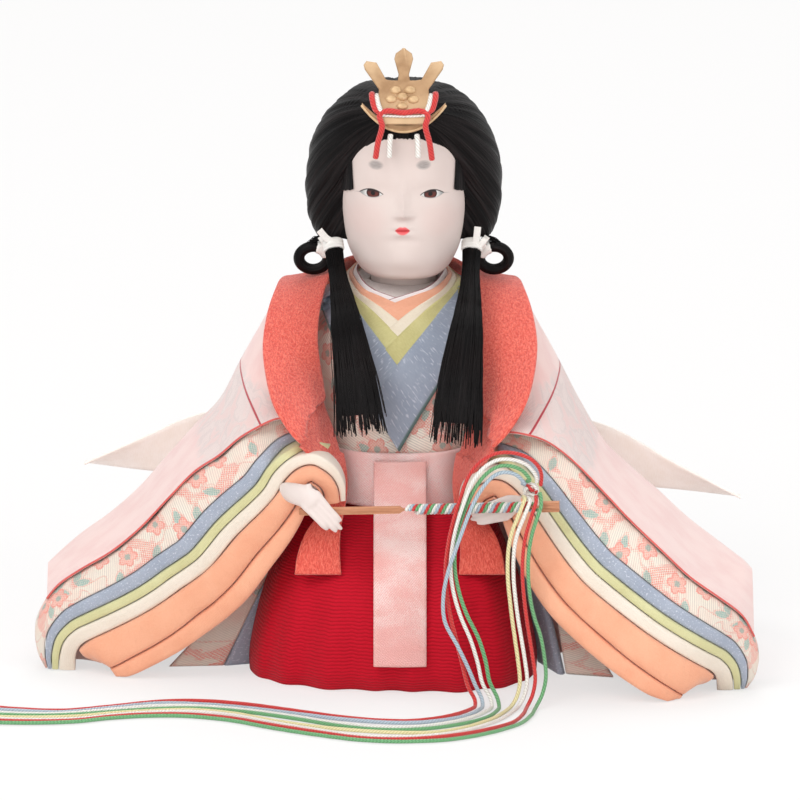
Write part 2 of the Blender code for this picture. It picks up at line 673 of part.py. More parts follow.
def build_sleeve(side_name, side, path_shares):
    """All the layers of one sleeve."""
    size = Vector((SLEEVE_REACH, -SLEEVE_FORWARD, WRIST_HEIGHT))
    path = smooth(sized(path_shares, size), PATH_STATIONS)
    for point in path:
        point.z = max(point.z, HEM_LIFT)
    frames = path_frames(path, side)

    upper = smooth_values(PEACH_UPPER_SHARES, PATH_STATIONS)
    lower = smooth_values(PEACH_LOWER_SHARES, PATH_STATIONS)
    peach_rings = []
    for index in range(PEACH_STATIONS):
        station = index * PEACH_END_SHARE * (PATH_STATIONS - 1) / (PEACH_STATIONS - 1)
        low, part = int(station), station - int(station)
        point = path[low].lerp(path[low + 1], part)
        outward = frames[low].lerp(frames[low + 1], part)
        taper = 0.55 if index == PEACH_STATIONS - 1 else 1.0
        section = peach_section(upper[low] * PEACH_UPPER * taper, lower[low] * PEACH_LOWER * taper, LAYER_DEPTH)
        peach_rings.append(section_ring(point, outward, section))
    peach = loft(f"sleeve_peach_{side_name}", peach_rings, "peach_silk", crease=60)

    layers = (
        ("cream", CREAM_THICKNESS, CREAM_SHARES, 0.0, 0),
        ("green", GREEN_THICKNESS, GREEN_SHARES, 0.0, 2),
        ("grey", GREY_THICKNESS, GREY_SHARES, 0.0, 3),
        ("brocade", BROCADE_THICKNESS, BROCADE_SHARES, BROCADE_LEAN, 4),
    )
    pieces = []
    base = [0.0] * PATH_STATIONS
    lean = [0.0] * PATH_STATIONS
    for order, (colour, thickness, shares, slant, first) in enumerate(layers):
        walls = [share * thickness for share in smooth_values(shares, PATH_STATIONS)]
        rings = []
        for index, point in enumerate(path):
            front = LAYER_SETBACK * (order + 1)
            lean[index] = slant * walls[index] / thickness
            section = layer_section(base[index] + GAP * 0.5, base[index] + walls[index] - GAP * 0.5,
                                    front, LAYER_DEPTH, lean[index])
            rings.append(section_ring(point, frames[index], section))
        finish = "brocade" if colour == "brocade" else f"{colour}_silk"
        pieces.append(loft(f"sleeve_{colour}_{side_name}", rings[first:], finish, crease=60))
        base = [below + wall for below, wall in zip(base, walls)]

    edge = []
    for index, point in enumerate(path):
        depth = LAYER_SETBACK * len(layers) + lean[index]
        edge.append(point + frames[index] * base[index] + Vector((0, depth, 0)))
    rings = []
    for wide, top, back, low, swell in OUTER_STATION_SHARES:
        rings.append(outer_ring(side * wide * SLEEVE_REACH, edge, path, top * OUTER_TOP,
                                back * OUTER_BACK, low * OUTER_TOP, swell))
    pieces.append(loft(f"sleeve_outer_{side_name}", rings, "pink_silk", crease=60))
    return peach, pieces


# Collars, jacket and sash on the torso

COLLAR_NAMES = ("white", "peach", "cream", "green", "grey")
COLLAR_V_SHARES = (0.973, 0.953, 0.907, 0.869, 0.797, 0.608)
COLLAR_FRONT_SHARES = (0.52, 0.56, 0.66, 0.72, 0.81, 0.95)
COLLAR_SIDE_SHARES = (0.40, 0.43, 0.455, 0.48, 0.51, 0.72)
COLLAR_TRIM_SHARE = 0.13
COLLAR_STATIONS = 25
COLLAR_END_SHARE = 0.03
COLLAR_DROP_SHARES = (0.000, 0.014, 0.028, 0.042, 0.056, 0.085)


def collar_tip(order):
    """Lowest point of a collar line, where left and right meet."""
    return Vector((0, -CHEST_FRONT * COLLAR_FRONT_SHARES[order], SHOULDER_HEIGHT * COLLAR_V_SHARES[order]))


def collar_shoulder(order, side):
    """Point of a collar line on top of the shoulder."""
    drop = COLLAR_DROP_SHARES[order] * SHOULDER_HEIGHT
    return Vector((side * COLLAR_SIDE_SHARES[order] * CHEST_HALF_WIDTH, -CHEST_FRONT * 0.15,
                   SHOULDER_HEIGHT * 0.995 - drop))


def collar_crossing(order):
    """Where the right side of this collar line runs into the left side of the next one."""
    left_tip, right_tip = collar_tip(order + 1), collar_tip(order)
    left, right = collar_shoulder(order + 1, -1), collar_shoulder(order, 1)
    left_slope = (left.z - left_tip.z) / -left.x
    right_slope = (right.z - right_tip.z) / right.x
    x = (left_tip.z - right_tip.z) / (left_slope + right_slope)
    y = (left_tip.y + right_tip.y) / 2
    return Vector((x, y, right_tip.z + x * right_slope))


def collar_line(order, left_end, right_end):
    """One edge line of the collars, from the left end round the neck to the right end."""
    drop = COLLAR_DROP_SHARES[order] * SHOULDER_HEIGHT
    wide = COLLAR_SIDE_SHARES[order] * CHEST_HALF_WIDTH
    halves = []
    for end, side in ((left_end, -1), (right_end, 1)):
        shoulder = collar_shoulder(order, side)
        halves.append([end, end.lerp(shoulder, 0.5), shoulder,
                       Vector((side * wide * 1.12, CHEST_BACK * 0.22, SHOULDER_HEIGHT * 1.01 - drop)),
                       Vector((side * wide * 0.8, CHEST_BACK * 0.62, SHOULDER_HEIGHT * 1.03 - drop))])
    nape = Vector((0, CHEST_BACK * 0.78, SHOULDER_HEIGHT * 1.035 - drop))
    return halves[0] + [nape] + halves[1][::-1]


def build_collars(torso):
    """Five crossed collars, right over left, each one step prouder than the one inside it."""
    centre = Vector((0, 0, SHOULDER_HEIGHT * 0.8))
    core_drop = NECK_RADIUS * 0.8
    under = surfaces(torso)
    made = []
    for order, colour in enumerate(COLLAR_NAMES):
        cross = collar_crossing(order)
        left_start = collar_tip(order).lerp(collar_shoulder(order, -1), COLLAR_TRIM_SHARE)
        outer_start = cross.lerp(collar_shoulder(order + 1, -1), COLLAR_TRIM_SHARE)
        right_end = cross.lerp(collar_shoulder(order, 1), COLLAR_END_SHARE)
        right_tip = collar_tip(order + 1).lerp(collar_shoulder(order + 1, 1), COLLAR_END_SHARE)
        inner = collar_line(order, left_start, right_end)
        outer = collar_line(order + 1, outer_start, right_tip)
        rows = []
        for row in spread(inner, outer, COLLAR_STATIONS, 3):
            inset = min(CLOTH_GAP * 2.6 / max((row[-1] - row[0]).length, GAP), 0.3)
            first, last = row[0].lerp(row[-1], inset), row[-1].lerp(row[0], inset * 0.6)
            rows.append([first, first.lerp(last, 0.5), last])
        rows = draped(under, rows, cores(rows, 0.45, core_drop), CLOTH_GAP + HEM_LIFT)
        thickness = COLLAR_THICKNESS + order * COLLAR_STEP
        made.append(cloth(f"collar_{colour}", rows, thickness, centre, f"{colour}_silk", radial=True))
    return made


JACKET_INNER_SHARES = (
    (-0.66, -1.50, 0.31), (-0.67, -1.36, 0.40), (-0.60, -1.14, 0.49), (-0.60, -1.10, 0.60),
    (-0.69, -1.04, 0.68), (-0.76, -1.00, 0.735), (-0.84, -0.90, 0.79), (-0.90, -0.76, 0.87),
    (-0.88, -0.45, 0.95), (-0.70, -0.02, 1.01), (-0.42, 0.44, 1.01), (0.0, 0.56, 1.00),
)
JACKET_OUTER_SHARES = (
    (-1.14, -1.50, 0.31), (-1.06, -1.36, 0.39), (-0.72, -1.13, 0.49), (-0.74, -1.10, 0.61),
    (-0.97, -1.10, 0.69), (-0.99, -1.13, 0.755), (-1.38, -1.20, 0.81), (-1.54, -0.85, 0.89),
    (-1.44, -0.35, 0.97), (-1.20, 0.20, 0.97), (-0.72, 0.62, 0.89), (0.0, 0.71, 0.86),
)
JACKET_DRAPE_SHARE = 0.76
JACKET_STATIONS = 39


def build_jacket(underneath):
    """Coral jacket: hanging front ends, over both shoulders and round the back of the neck."""
    size = Vector((CHEST_HALF_WIDTH, CHEST_FRONT, SHOULDER_HEIGHT))
    edges = []
    for shares in (JACKET_INNER_SHARES, JACKET_OUTER_SHARES):
        half = sized(shares, size)
        edges.append(half + [Vector((-point.x, point.y, point.z)) for point in half[-2::-1]])
    spine = Vector((0, 0, SHOULDER_HEIGHT * 0.72))
    rows = spread(edges[0], edges[1], JACKET_STATIONS, 4)
    loose = [index for index, row in enumerate(rows) if row[0].z < SHOULDER_HEIGHT * JACKET_DRAPE_SHARE]
    first = max(index for index in loose if index < len(rows) / 2) + 1
    last = min(index for index in loose if index > len(rows) / 2)
    middle = rows[first:last]
    rows[first:last] = draped(underneath, middle, cores(middle, 0.8, JACKET_CORE_DROP), CLOTH_GAP)
    return cloth("jacket", rows, JACKET_THICKNESS, spine, "coral_crepe")


SASH_STATIONS = 15
SASH_END_STATIONS = 13


def build_sash(torso, hakama, collars):
    """Belt round the front of the waist and the sash end that hangs from it."""
    under = surfaces(torso, hakama, *collars)
    low = WAIST_HEIGHT + GAP * 2
    lower_edge, upper_edge = [], []
    for share in (-1, -0.66, -0.33, 0, 0.33, 0.66, 1):
        front = -CHEST_FRONT * (1 - 0.3 * abs(share) ** 3)
        lower_edge.append(Vector((share * SASH_HALF_WIDTH, front, low)))
        upper_edge.append(Vector((share * SASH_HALF_WIDTH, front, low + SASH_HEIGHT)))
    rows = draped_front(under, spread(lower_edge, upper_edge, SASH_STATIONS, 4), CLOTH_GAP)
    belt = cloth("obi_belt", rows, SASH_THICKNESS, Vector((0, 0, low)), "sash_weave")

    top = low + SASH_HEIGHT - SASH_THICKNESS
    rows = []
    for step in range(SASH_END_STATIONS):
        height = top + (SASH_TAIL_HEM - top) * step / (SASH_END_STATIONS - 1)
        rows.append([Vector((share * SASH_TAIL_HALF_WIDTH, -HAKAMA_WALL, height)) for share in (-1, 0, 1)])
    rows = draped_front(surfaces(belt, hakama), rows, CLOTH_GAP)
    for row in rows:
        front = min(point.y for point in row)
        for point in row:
            point.y = front
        row[1].y -= SASH_TAIL_THICKNESS * 0.5
    cloth("obi_tail", rows, SASH_TAIL_THICKNESS, Vector((0, 0, WAIST_HEIGHT)), "sash_weave")
    return belt


# Head, hair and the pieces tied into it

HEAD_LEVEL_SHARES = (
    (0.47, 0.50, 0.55, 0.000, 0.0),
    (0.66, 0.84, 0.70, 0.035, 0.0),
    (0.80, 0.93, 0.85, 0.105, 0.0),
    (0.90, 0.965, 0.95, 0.20, 0.0),
    (0.965, 0.985, 1.00, 0.31, 0.0),
    (1.00, 0.98, 1.00, 0.42, 0.0),
    (1.01, 0.955, 1.00, 0.54, 0.0),
    (1.00, 0.95, 1.00, 0.66, 0.0),
    (0.95, 0.91, 0.97, 0.78, 0.0),
    (0.82, 0.78, 0.86, 0.90, 0.0),
    (0.50, 0.48, 0.55, 0.985, 0.0),
)
HEAD_RING_POINTS = 20


def head_rings(grow):
    """Neck and face rings, from the foot of the neck to the crown of the head."""
    neck = NECK_RADIUS + grow
    rings = []
    for height in (NECK_FOOT - grow, CHIN_HEIGHT - NOSE_HEIGHT):
        rings.append(oval(NECK_X, neck, neck, neck, height, HEAD_RING_POINTS, squareness=2.0))
    for wide, fore, aft, level, tilt in HEAD_LEVEL_SHARES:
        lift = grow if level > 0.9 else 0
        rings.append(oval(NECK_X, wide * HEAD_HALF_WIDTH + grow, fore * HEAD_FRONT + grow,
                          aft * HEAD_BACK + grow, CHIN_HEIGHT + level * FACE_HEIGHT + lift,
                          HEAD_RING_POINTS, tilt))
    return rings


HAIR_LEVEL_SHARES = (
    (0.90, 0.46, 0.82, 0.00, 0.0),
    (0.96, 0.50, 0.92, 0.10, 0.0),
    (0.99, 0.55, 0.98, 0.22, 0.0),
    (1.00, 0.62, 1.00, 0.35, 0.0),
    (0.985, 0.75, 1.00, 0.48, 0.0),
    (0.93, 0.88, 0.96, 0.62, 0.0),
    (0.82, 1.00, 0.88, 0.76, 0.0),
    (0.66, 0.98, 0.74, 0.88, 0.0),
    (0.42, 0.70, 0.52, 0.97, 0.0),
    (0.16, 0.30, 0.24, 1.00, 0.0),
)
LOCK_PATH_SHARES = {
    "left": ((-2.90, -0.36, -0.02), (-2.80, -0.74, -0.14), (-2.66, -1.24, -0.27), (-2.46, -1.76, -0.46),
             (-2.24, -2.06, -0.72), (-2.06, -2.20, -1.00)),
    "right": ((2.96, -0.36, -0.02), (2.90, -0.74, -0.14), (2.84, -1.26, -0.27), (2.76, -1.84, -0.46),
              (2.65, -2.22, -0.72), (2.58, -2.40, -1.04)),
}
LOCK_WIDTH_SHARES = (0.40, 0.34, 0.45, 0.70, 0.88, 1.00)
LOOP_PLACE_SHARE = 0.88
LOOP_FRONT_SHARE = 0.20
TAIL_PATH_SHARES = ((0.264, 0.015), (0.35, 0.075), (0.49, 0.13), (0.53, 0.32), (0.55, 0.50), (0.61, 0.66),
                    (0.76, 0.80), (0.90, 0.92), (1.00, 1.00))
TAIL_WIDTH_SHARES = (0.50, 0.60, 0.85, 1.00, 1.00, 0.92, 0.75)
TAIL_DEPTH_SHARES = (0.80, 0.95, 1.10, 1.00, 0.90, 0.80, 0.55)
LOCK_DEPTH_SHARES = (1.10, 0.90, 1.15, 1.10, 0.90, 0.55)


def build_head(parts_origin):
    """Head with its neck, bored for the peg."""
    head = loft("head", head_rings(0), "gofun_white", parts_origin, crease=80)
    nose_level = CHIN_HEIGHT + FACE_HEIGHT * 0.42
    for vertex in head.data.vertices:
        place = vertex.co + parts_origin
        if abs(place.x - NECK_X) < NOSE_HEIGHT and place.y < 0 and abs(place.z - nose_level) < NOSE_HEIGHT:
            vertex.co.y -= NOSE_HEIGHT
    bore = neck_post("head_bore", PEG_RADIUS + PEG_FIT, NECK_FOOT - PEG_DEPTH, NECK_FOOT + PEG_IN_HEAD, "wood")
    combine(head, bore, "DIFFERENCE")
    peg_low = BODY_TOP - PEG_DEPTH + PEG_FIT
    neck_post("neck_peg", PEG_RADIUS, peg_low, NECK_FOOT + PEG_IN_HEAD - PEG_FIT, "wood")
    return head


def build_hair(parts_origin):
    """Wig, the two front locks, the side loops and the long tail at the back."""
    size = (HAIR_HALF_WIDTH, HAIR_FRONT, HAIR_BACK, HAIR_HEIGHT)
    rings = []
    for ring in oval_rings(NECK_X, size, HAIR_LEVEL_SHARES, 22):
        rings.append([point + Vector((0, 0, HAIR_FOOT)) for point in ring])
    wig = loft("hair_cap", rings, "hair_silk", parts_origin, crease=80)
    combine(wig, loft("head_room", head_rings(GAP), "wood"), "DIFFERENCE")

    for side_name, shares in LOCK_PATH_SHARES.items():
        root = Vector((0, 0, HAIR_FOOT))
        points = []
        for wide, deep, fall in shares:
            points.append(root + Vector((wide * LOCK_HALF_WIDTH, deep * HAIR_FRONT, fall * LOCK_LENGTH)))
        tied_strand(f"hair_lock_{side_name}", f"lock_tie_{side_name}", smooth(points, 12), LOCK_HALF_WIDTH,
                    LOCK_HALF_DEPTH, LOCK_WIDTH_SHARES, LOCK_DEPTH_SHARES, Vector((0, -1, 0)), parts_origin)

    points = []
    for deep, fall in TAIL_PATH_SHARES:
        points.append(Vector((NECK_X, deep * TRAIN_REACH, HAIR_FOOT - fall * TAIL_LENGTH)))
    tied_strand("hair_tail", "tail_tie", smooth(points, 12), TAIL_HALF_WIDTH, TAIL_HALF_DEPTH,
                TAIL_WIDTH_SHARES, TAIL_DEPTH_SHARES, Vector((0, 1, 0)), parts_origin)

    for side_name, side in (("left", -1), ("right", 1)):
        drop = HAIR_FOOT - GAP - LOOP_WIRE / 2 - LOOP_HALF_HEIGHT
        middle = Vector((NECK_X + side * LOOP_PLACE_SHARE * HAIR_HALF_WIDTH, -LOOP_FRONT_SHARE * HAIR_FRONT, drop))
        ring = []
        for step in range(14):
            turn = 2 * math.pi * step / 14
            ring.append(middle + Vector((LOOP_HALF_WIDTH * math.cos(turn), 0, LOOP_HALF_HEIGHT * math.sin(turn))))
        tube(f"hair_loop_{side_name}", ring, LOOP_WIRE, "hair_silk", 2, parts_origin, closed=True)
    return wig


def tied_strand(name, tie_name, path, half_width, half_depth, width_shares, depth_shares, facing, origin):
    """Strand of hair that hangs from a paper tie, which sits under the wig."""
    count = len(path)
    widths = [share * half_width for share in smooth_values(width_shares, count)]
    depths = [share * half_depth for share in smooth_values(depth_shares, count)]
    top = path[0]
    fall = (path[1] - top).normalized()
    tie_path = [top, top + fall * TIE_HEIGHT * 0.5, top + fall * TIE_HEIGHT]
    bulge = (1.0, 1.25, 1.0)
    tie_widths = [share * widths[0] for share in bulge]
    tie_depths = [share * depths[0] for share in bulge]
    loft(tie_name, sweep(tie_path, tie_widths, tie_depths, 10, facing), "ivory_paper", origin, crease=60)
    start = top + fall * (TIE_HEIGHT + GAP)
    below = [point for point in path if (point - top).dot(fall) > TIE_HEIGHT * 1.5]
    skipped = count - len(below) - 1
    strand_path = [start] + below
    loft(name, sweep(strand_path, widths[skipped:], depths[skipped:], 8, facing), "hair_silk", origin, crease=80)


# Crown

PLATE_OUTLINE_SHARES = (
    (0.60, 0.00), (0.64, 0.28), (0.62, 0.48), (0.97, 0.73), (1.00, 0.78), (0.93, 0.81), (0.70, 0.80),
    (0.46, 0.58), (0.30, 0.56), (0.13, 0.58), (0.12, 0.66), (0.23, 0.84), (0.20, 0.92), (0.07, 0.99),
)
CROWN_CORD_SHARES = (
    (-0.70, 0.12, -0.40), (-0.64, 0.14, -0.20), (-0.54, 0.12, 0.00), (-0.60, 0.11, 0.13), (-0.40, 0.09, 0.18),
    (0.0, 0.09, 0.16), (0.40, 0.09, 0.18), (0.60, 0.11, 0.13), (0.54, 0.12, 0.00), (0.64, 0.14, -0.20),
    (0.70, 0.12, -0.42),
)


def build_crown():
    """Comb, three-pronged gilt plate with its blossom, and the cord tied across it."""
    foot = Vector((NECK_X, -CROWN_FOOT_FRONT, CROWN_FOOT_HEIGHT))
    rise = Vector((0, CROWN_LEAN, 1)).normalized()
    forward = Vector((0, -1, CROWN_LEAN)).normalized()
    half = [(wide, high) for wide, high in PLATE_OUTLINE_SHARES]
    outline = half + [(-wide, high) for wide, high in half[::-1]]
    rings = []
    for depth in (0, CROWN_THICKNESS):
        rings.append([foot + Vector((wide * CROWN_HALF_WIDTH, 0, 0)) + rise * high * CROWN_HEIGHT + forward * depth
                      for wide, high in outline])
    loft("crown_plate", rings, "gilt_brass", foot, crease=30)

    centre = foot + rise * CROWN_HEIGHT * 0.37 + forward * (CROWN_THICKNESS + GAP * 0.5)
    rings = []
    for size, depth in ((0.92, 0.0), (1.0, 0.3), (0.9, 0.75), (0.5, 0.85), (0.28, 1.0), (0.2, 1.25)):
        ring = []
        for step in range(20):
            turn = 2 * math.pi * step / 20
            petal = 0.70 + 0.30 * abs(math.cos(2.5 * turn)) if size > 0.4 else 1.0
            reach = BLOSSOM_RADIUS * size * petal
            ring.append(centre + Vector((math.sin(turn) * reach, 0, 0)) + rise * math.cos(turn) * reach
                        + forward * depth * BLOSSOM_HEIGHT)
        rings.append(ring)
    loft("crown_blossom", rings, "gilt_brass", foot, crease=60)

    rings = []
    low = foot.z - GAP - COMB_BAND
    for step in range(13):
        share = step / 6 - 1
        x = foot.x + share * COMB_HALF_WIDTH
        lift = COMB_DROP * share**2
        back = foot.y + COMB_THICKNESS + GAP * 2 + COMB_CURVE_SHARE * COMB_HALF_WIDTH * abs(share) ** 3
        band = COMB_BAND * (1 - 0.55 * abs(share) ** 3)
        rings.append([Vector((x, back, low + lift)), Vector((x, back, low + lift + band)),
                      Vector((x, back - COMB_THICKNESS, low + lift + band)),
                      Vector((x, back - COMB_THICKNESS, low + lift))])
    loft("crown_comb", rings, "gilt_brass", foot, crease=40)

    points = []
    for wide, deep, high in CROWN_CORD_SHARES:
        points.append(foot + Vector((wide * CROWN_HALF_WIDTH, 0, high * CROWN_HEIGHT))
                      + Vector((0, CROWN_LEAN * max(high, 0) * CROWN_HEIGHT - deep * CROWN_HEIGHT, 0)))
    tube("crown_cord", smooth(points, 21), CROWN_CORD, "cord_red", 2, foot)


# Hands

HAND_PATHS = {
    "left": ((-0.322, 0.935, 0.868), (-0.303, 1.015, 0.880), (-0.260, 1.082, 0.875), (-0.230, 1.108, 0.842)),
    "right": ((0.330, 0.940, 0.822), (0.320, 1.020, 0.830), (0.300, 1.070, 0.830), (0.270, 1.078, 0.806)),
}
PALM_WIDTH_SHARES = {"left": (0.55, 0.75, 1.10, 1.05), "right": (0.60, 0.80, 1.15, 1.10)}
PALM_DEPTH_SHARES = (0.8, 0.9, 1.0, 1.0, 0.9, 0.7)
FINGER_AIMS = {"left": (0.67, -0.05, -0.74), "right": (-0.97, -0.08, -0.22)}
FINGER_LENGTH_SHARES = (0.84, 1.0, 0.96, 0.78)
FINGER_PITCH_SHARE = 1.75
THUMB_AIMS = {"left": (0.30, -0.05, -0.95), "right": (-0.90, -0.10, 0.38)}
THUMB_ROOT_SHARES = {"left": (-1.05, 0.25), "right": (-0.55, 0.1)}
FINGER_REACH_SHARES = {"left": 0.114, "right": 0.092}
THUMB_REACH_SHARE = 0.0614


def build_hand(side_name, sleeve):
    """Palm, four fingers and a thumb joined into one hand, with its wrist in a pocket of the sleeve."""
    size = Vector((SLEEVE_REACH, -SLEEVE_FORWARD, WRIST_HEIGHT))
    front = Vector((0, -1, 0))
    path = smooth(sized(HAND_PATHS[side_name], size), 6)
    widths = [share * PALM_HALF_WIDTH for share in smooth_values(PALM_WIDTH_SHARES[side_name], 6)]
    depths = [share * PALM_HALF_DEPTH for share in PALM_DEPTH_SHARES]
    palm = loft(f"hand_{side_name}", sweep(path, widths, depths, 10, front), "gofun_white", crease=80)
    wide_room = [width + GAP * 1.5 for width in widths]
    deep_room = [depth + GAP * 1.5 for depth in depths]
    room_path = [path[0] + (path[0] - path[1]).normalized() * GAP] + path[1:]
    room = loft(f"wrist_room_{side_name}", sweep(room_path, wide_room, deep_room, 10, front), "gofun_white")
    combine(sleeve, room, "DIFFERENCE")

    aim = Vector(FINGER_AIMS[side_name]).normalized()
    across = aim.cross(front).normalized()
    for number, share in enumerate(FINGER_LENGTH_SHARES):
        knuckle = path[-2] + across * (number - 1.5) * FINGER_RADIUS * FINGER_PITCH_SHARE
        length = FINGER_REACH_SHARES[side_name] * SLEEVE_REACH * share
        bent = knuckle + aim * length * 0.55 + front * FINGER_RADIUS * 0.6
        points = smooth((knuckle, bent, knuckle + aim * length), 4)
        radii = [FINGER_RADIUS * taper for taper in (1.0, 1.0, 0.92, 0.6)]
        finger = loft(f"finger_{side_name}_{number}", sweep(points, radii, radii, 6, across), "gofun_white")
        combine(palm, finger, "UNION")
    beside, ahead = THUMB_ROOT_SHARES[side_name]
    aim = Vector(THUMB_AIMS[side_name]).normalized()
    wrist_line = (path[4] - path[2]).normalized()
    beside_palm = wrist_line.cross(front).normalized()
    root = path[3] + (beside_palm * beside + wrist_line * ahead) * PALM_HALF_WIDTH
    length = THUMB_REACH_SHARE * SLEEVE_REACH
    points = smooth((root, root + aim * length * 0.6, root + aim * length), 4)
    radii = [FINGER_RADIUS * taper for taper in (1.2, 1.15, 1.0, 0.65)]
    thumb = loft(f"thumb_{side_name}", sweep(points, radii, radii, 6, front), "gofun_white")
    combine(palm, thumb, "UNION")
    return palm


# Fan with its winding, knot and cords

WINDING_TURNS = 19
WINDING_STEPS = 8
WOUND_END_SHARE = 0.93
CORD_STATIONS = 33
DROP_ROUTES = {
    "a": ((42.0, -81.0, 73.2), (38.6, -82.4, 77.0), (32.0, -83.4, 78.4), (25.6, -84.4, 74.6), (21.0, -85.0, 66.0),
          (17.4, -84.6, 54.0), (16.4, -84.4, 42.0), (18.4, -85.0, 30.0), (22.4, -86.4, 18.0), (25.0, -89.0, 7.6)),
    "b": ((42.2, -83.8, 65.4), (40.4, -85.2, 60.6), (38.2, -85.0, 53.0), (37.8, -84.6, 43.0), (38.6, -84.6, 31.0),
          (40.6, -85.4, 20.0), (42.4, -88.0, 8.0)),
}
INNER_FLOOR_ROUTE = ((24.0, -92.0), (17.0, -103.0), (4.0, -111.0), (-14.0, -108.0), (-34.0, -97.0),
                     (-58.0, -85.0), (-80.0, -86.0), (-104.0, -96.0), (-128.0, -93.0), (-150.0, -82.0))
OUTER_FLOOR_ROUTE = ((43.0, -94.0), (38.0, -115.0), (18.0, -135.0), (-8.0, -138.0), (-34.0, -125.0),
                     (-60.0, -107.0), (-84.0, -105.0), (-106.0, -113.0), (-130.0, -113.0), (-150.0, -106.0))
# Offsets of each loose cord from its drop's route, in cord diameters: across it, and forward of it
ACROSS_DROP = {
    "red_a": (-2.6, -2.6, -2.5, -2.4, -1.6, -1.3, -1.5, -2.0, -2.8, -2.7),
    "blue_a": (2.6, 2.6, 2.5, 2.3, 1.7, 1.0, -1.2, -3.6, -2.2, -0.9),
    "white_a": (-0.9, -0.9, -0.9, -0.8, -0.5, -0.3, -0.2, 0.3, 0.9, 0.9),
    "green_a": (0.9, 0.9, 0.8, 0.8, 0.5, 0.4, 0.9, 1.8, 2.9, 2.7),
    "yellow_b": (-2.2, -2.3, -2.6, -2.8, -2.6, -3.0, -3.4),
    "white_b": (-0.8, -0.9, -1.2, -1.4, -1.2, -1.4, -1.6),
    "red_b": (0.7, 0.8, 1.0, 0.8, 0.9, 0.6, 0.4),
    "green_b": (2.1, 2.2, 2.4, 2.2, 2.5, 3.4, 3.0),
}
FORWARD_OF_DROP = {
    "blue_a": (0.0, 0.0, 0.0, 0.3, 0.9, 2.4, 2.4, 1.4, 1.8, 0.2),
    "white_a": (0.0, 0.2, 0.3, 0.5, 0.9, 0.9, 0.8, 0.4, 0.2, 0.0),
    "green_a": (0.0, 0.0, 0.0, 0.0, -0.2, -0.3, -0.2, 0.0, 0.0, 0.0),
}
# How far each cord lies from the inner to the outer floor route, at each of their points
FLOOR_LANE_SHARES = (
    (0.00, 0.12, 0.28, 0.40, 0.58, 0.70, 0.85, 1.00), (0.00, 0.16, 0.27, 0.44, 0.55, 0.66, 0.88, 1.00),
    (0.00, 0.10, 0.30, 0.42, 0.62, 0.74, 0.84, 1.00), (0.00, 0.09, 0.35, 0.46, 0.56, 0.80, 0.90, 1.00),
    (0.00, 0.14, 0.28, 0.38, 0.64, 0.75, 0.86, 1.00), (0.00, 0.22, 0.34, 0.46, 0.58, 0.69, 0.88, 1.00),
    (0.00, 0.11, 0.30, 0.52, 0.64, 0.76, 0.88, 1.00), (0.05, 0.18, 0.30, 0.42, 0.56, 0.76, 0.88, 1.00),
    (0.00, 0.12, 0.34, 0.46, 0.62, 0.74, 0.86, 1.00), (0.00, 0.22, 0.36, 0.48, 0.60, 0.78, 0.90, 1.00),
)


def fan_axis():
    """Left end and direction of the closed fan."""
    start = Vector((FAN_LEFT_END, -FAN_FRONT, FAN_HEIGHT))
    end = start + Vector((FAN_LENGTH, -FAN_TURN, FAN_RISE))
    return start, end


def least_gap(points, wire, steps):
    """Least distance between turns of a wound tube, surface to surface."""
    least = RAY_REACH
    for index, point in enumerate(points):
        for other in points[index + steps - 2:]:
            least = min(least, (point - other).length - wire)
    return least


def build_fan():
    """Closed fan, the cord wound round it, and the knot that the loose cords leave."""
    start, end = fan_axis()
    along = (end - start).normalized()
    wound_end = WOUND_END_SHARE * FAN_LENGTH
    wound_start = wound_end - WINDING_LENGTH
    stick, core, block = FAN_HALF_HEIGHT, FAN_CORE_RADIUS, FAN_HALF_HEIGHT * 1.45
    profile = ((0.0, stick * 0.8), (stick, stick), (wound_start - stick, stick), (wound_start, core),
               (wound_end, core), (wound_end + GAP, block), (FAN_LENGTH, block))
    path = [start + along * place for place, _ in profile]
    radii = [radius for _, radius in profile]
    loft("fan_slats", sweep(path, radii, radii, 8, Vector((0, -1, 0))), "wood", start, crease=30)

    up = Vector((0, 0, 1))
    side = along.cross(up).normalized()
    rise = side.cross(along)
    reach = FAN_CORE_RADIUS + WINDING_FIT + WINDING_WIRE / 2
    first = wound_start + WINDING_WIRE
    run = wound_end - WINDING_WIRE - first
    count = WINDING_TURNS * WINDING_STEPS
    coil = []
    for step in range(count + 1):
        turn = 2 * math.pi * step / WINDING_STEPS
        coil.append(start + along * (first + run * step / count)
                    + side * reach * math.cos(turn) + rise * reach * math.sin(turn))
    print(f"least gap of the winding to itself: {least_gap(coil, WINDING_WIRE, WINDING_STEPS) / MM:.2f} mm")
    tube("fan_winding", coil, WINDING_WIRE, "cord_red", 1, start)

    seat = reach + WINDING_WIRE / 2 + GAP + KNOT_RADIUS
    knot = bmesh.new()
    bmesh.ops.create_uvsphere(knot, u_segments=12, v_segments=8, radius=KNOT_RADIUS)
    middle = start + along * (wound_end - KNOT_RADIUS) + rise * seat
    bmesh.ops.translate(knot, verts=knot.verts, vec=middle)
    placed("fan_knot", knot, "cord_white", start, crease=80)
    return start, middle


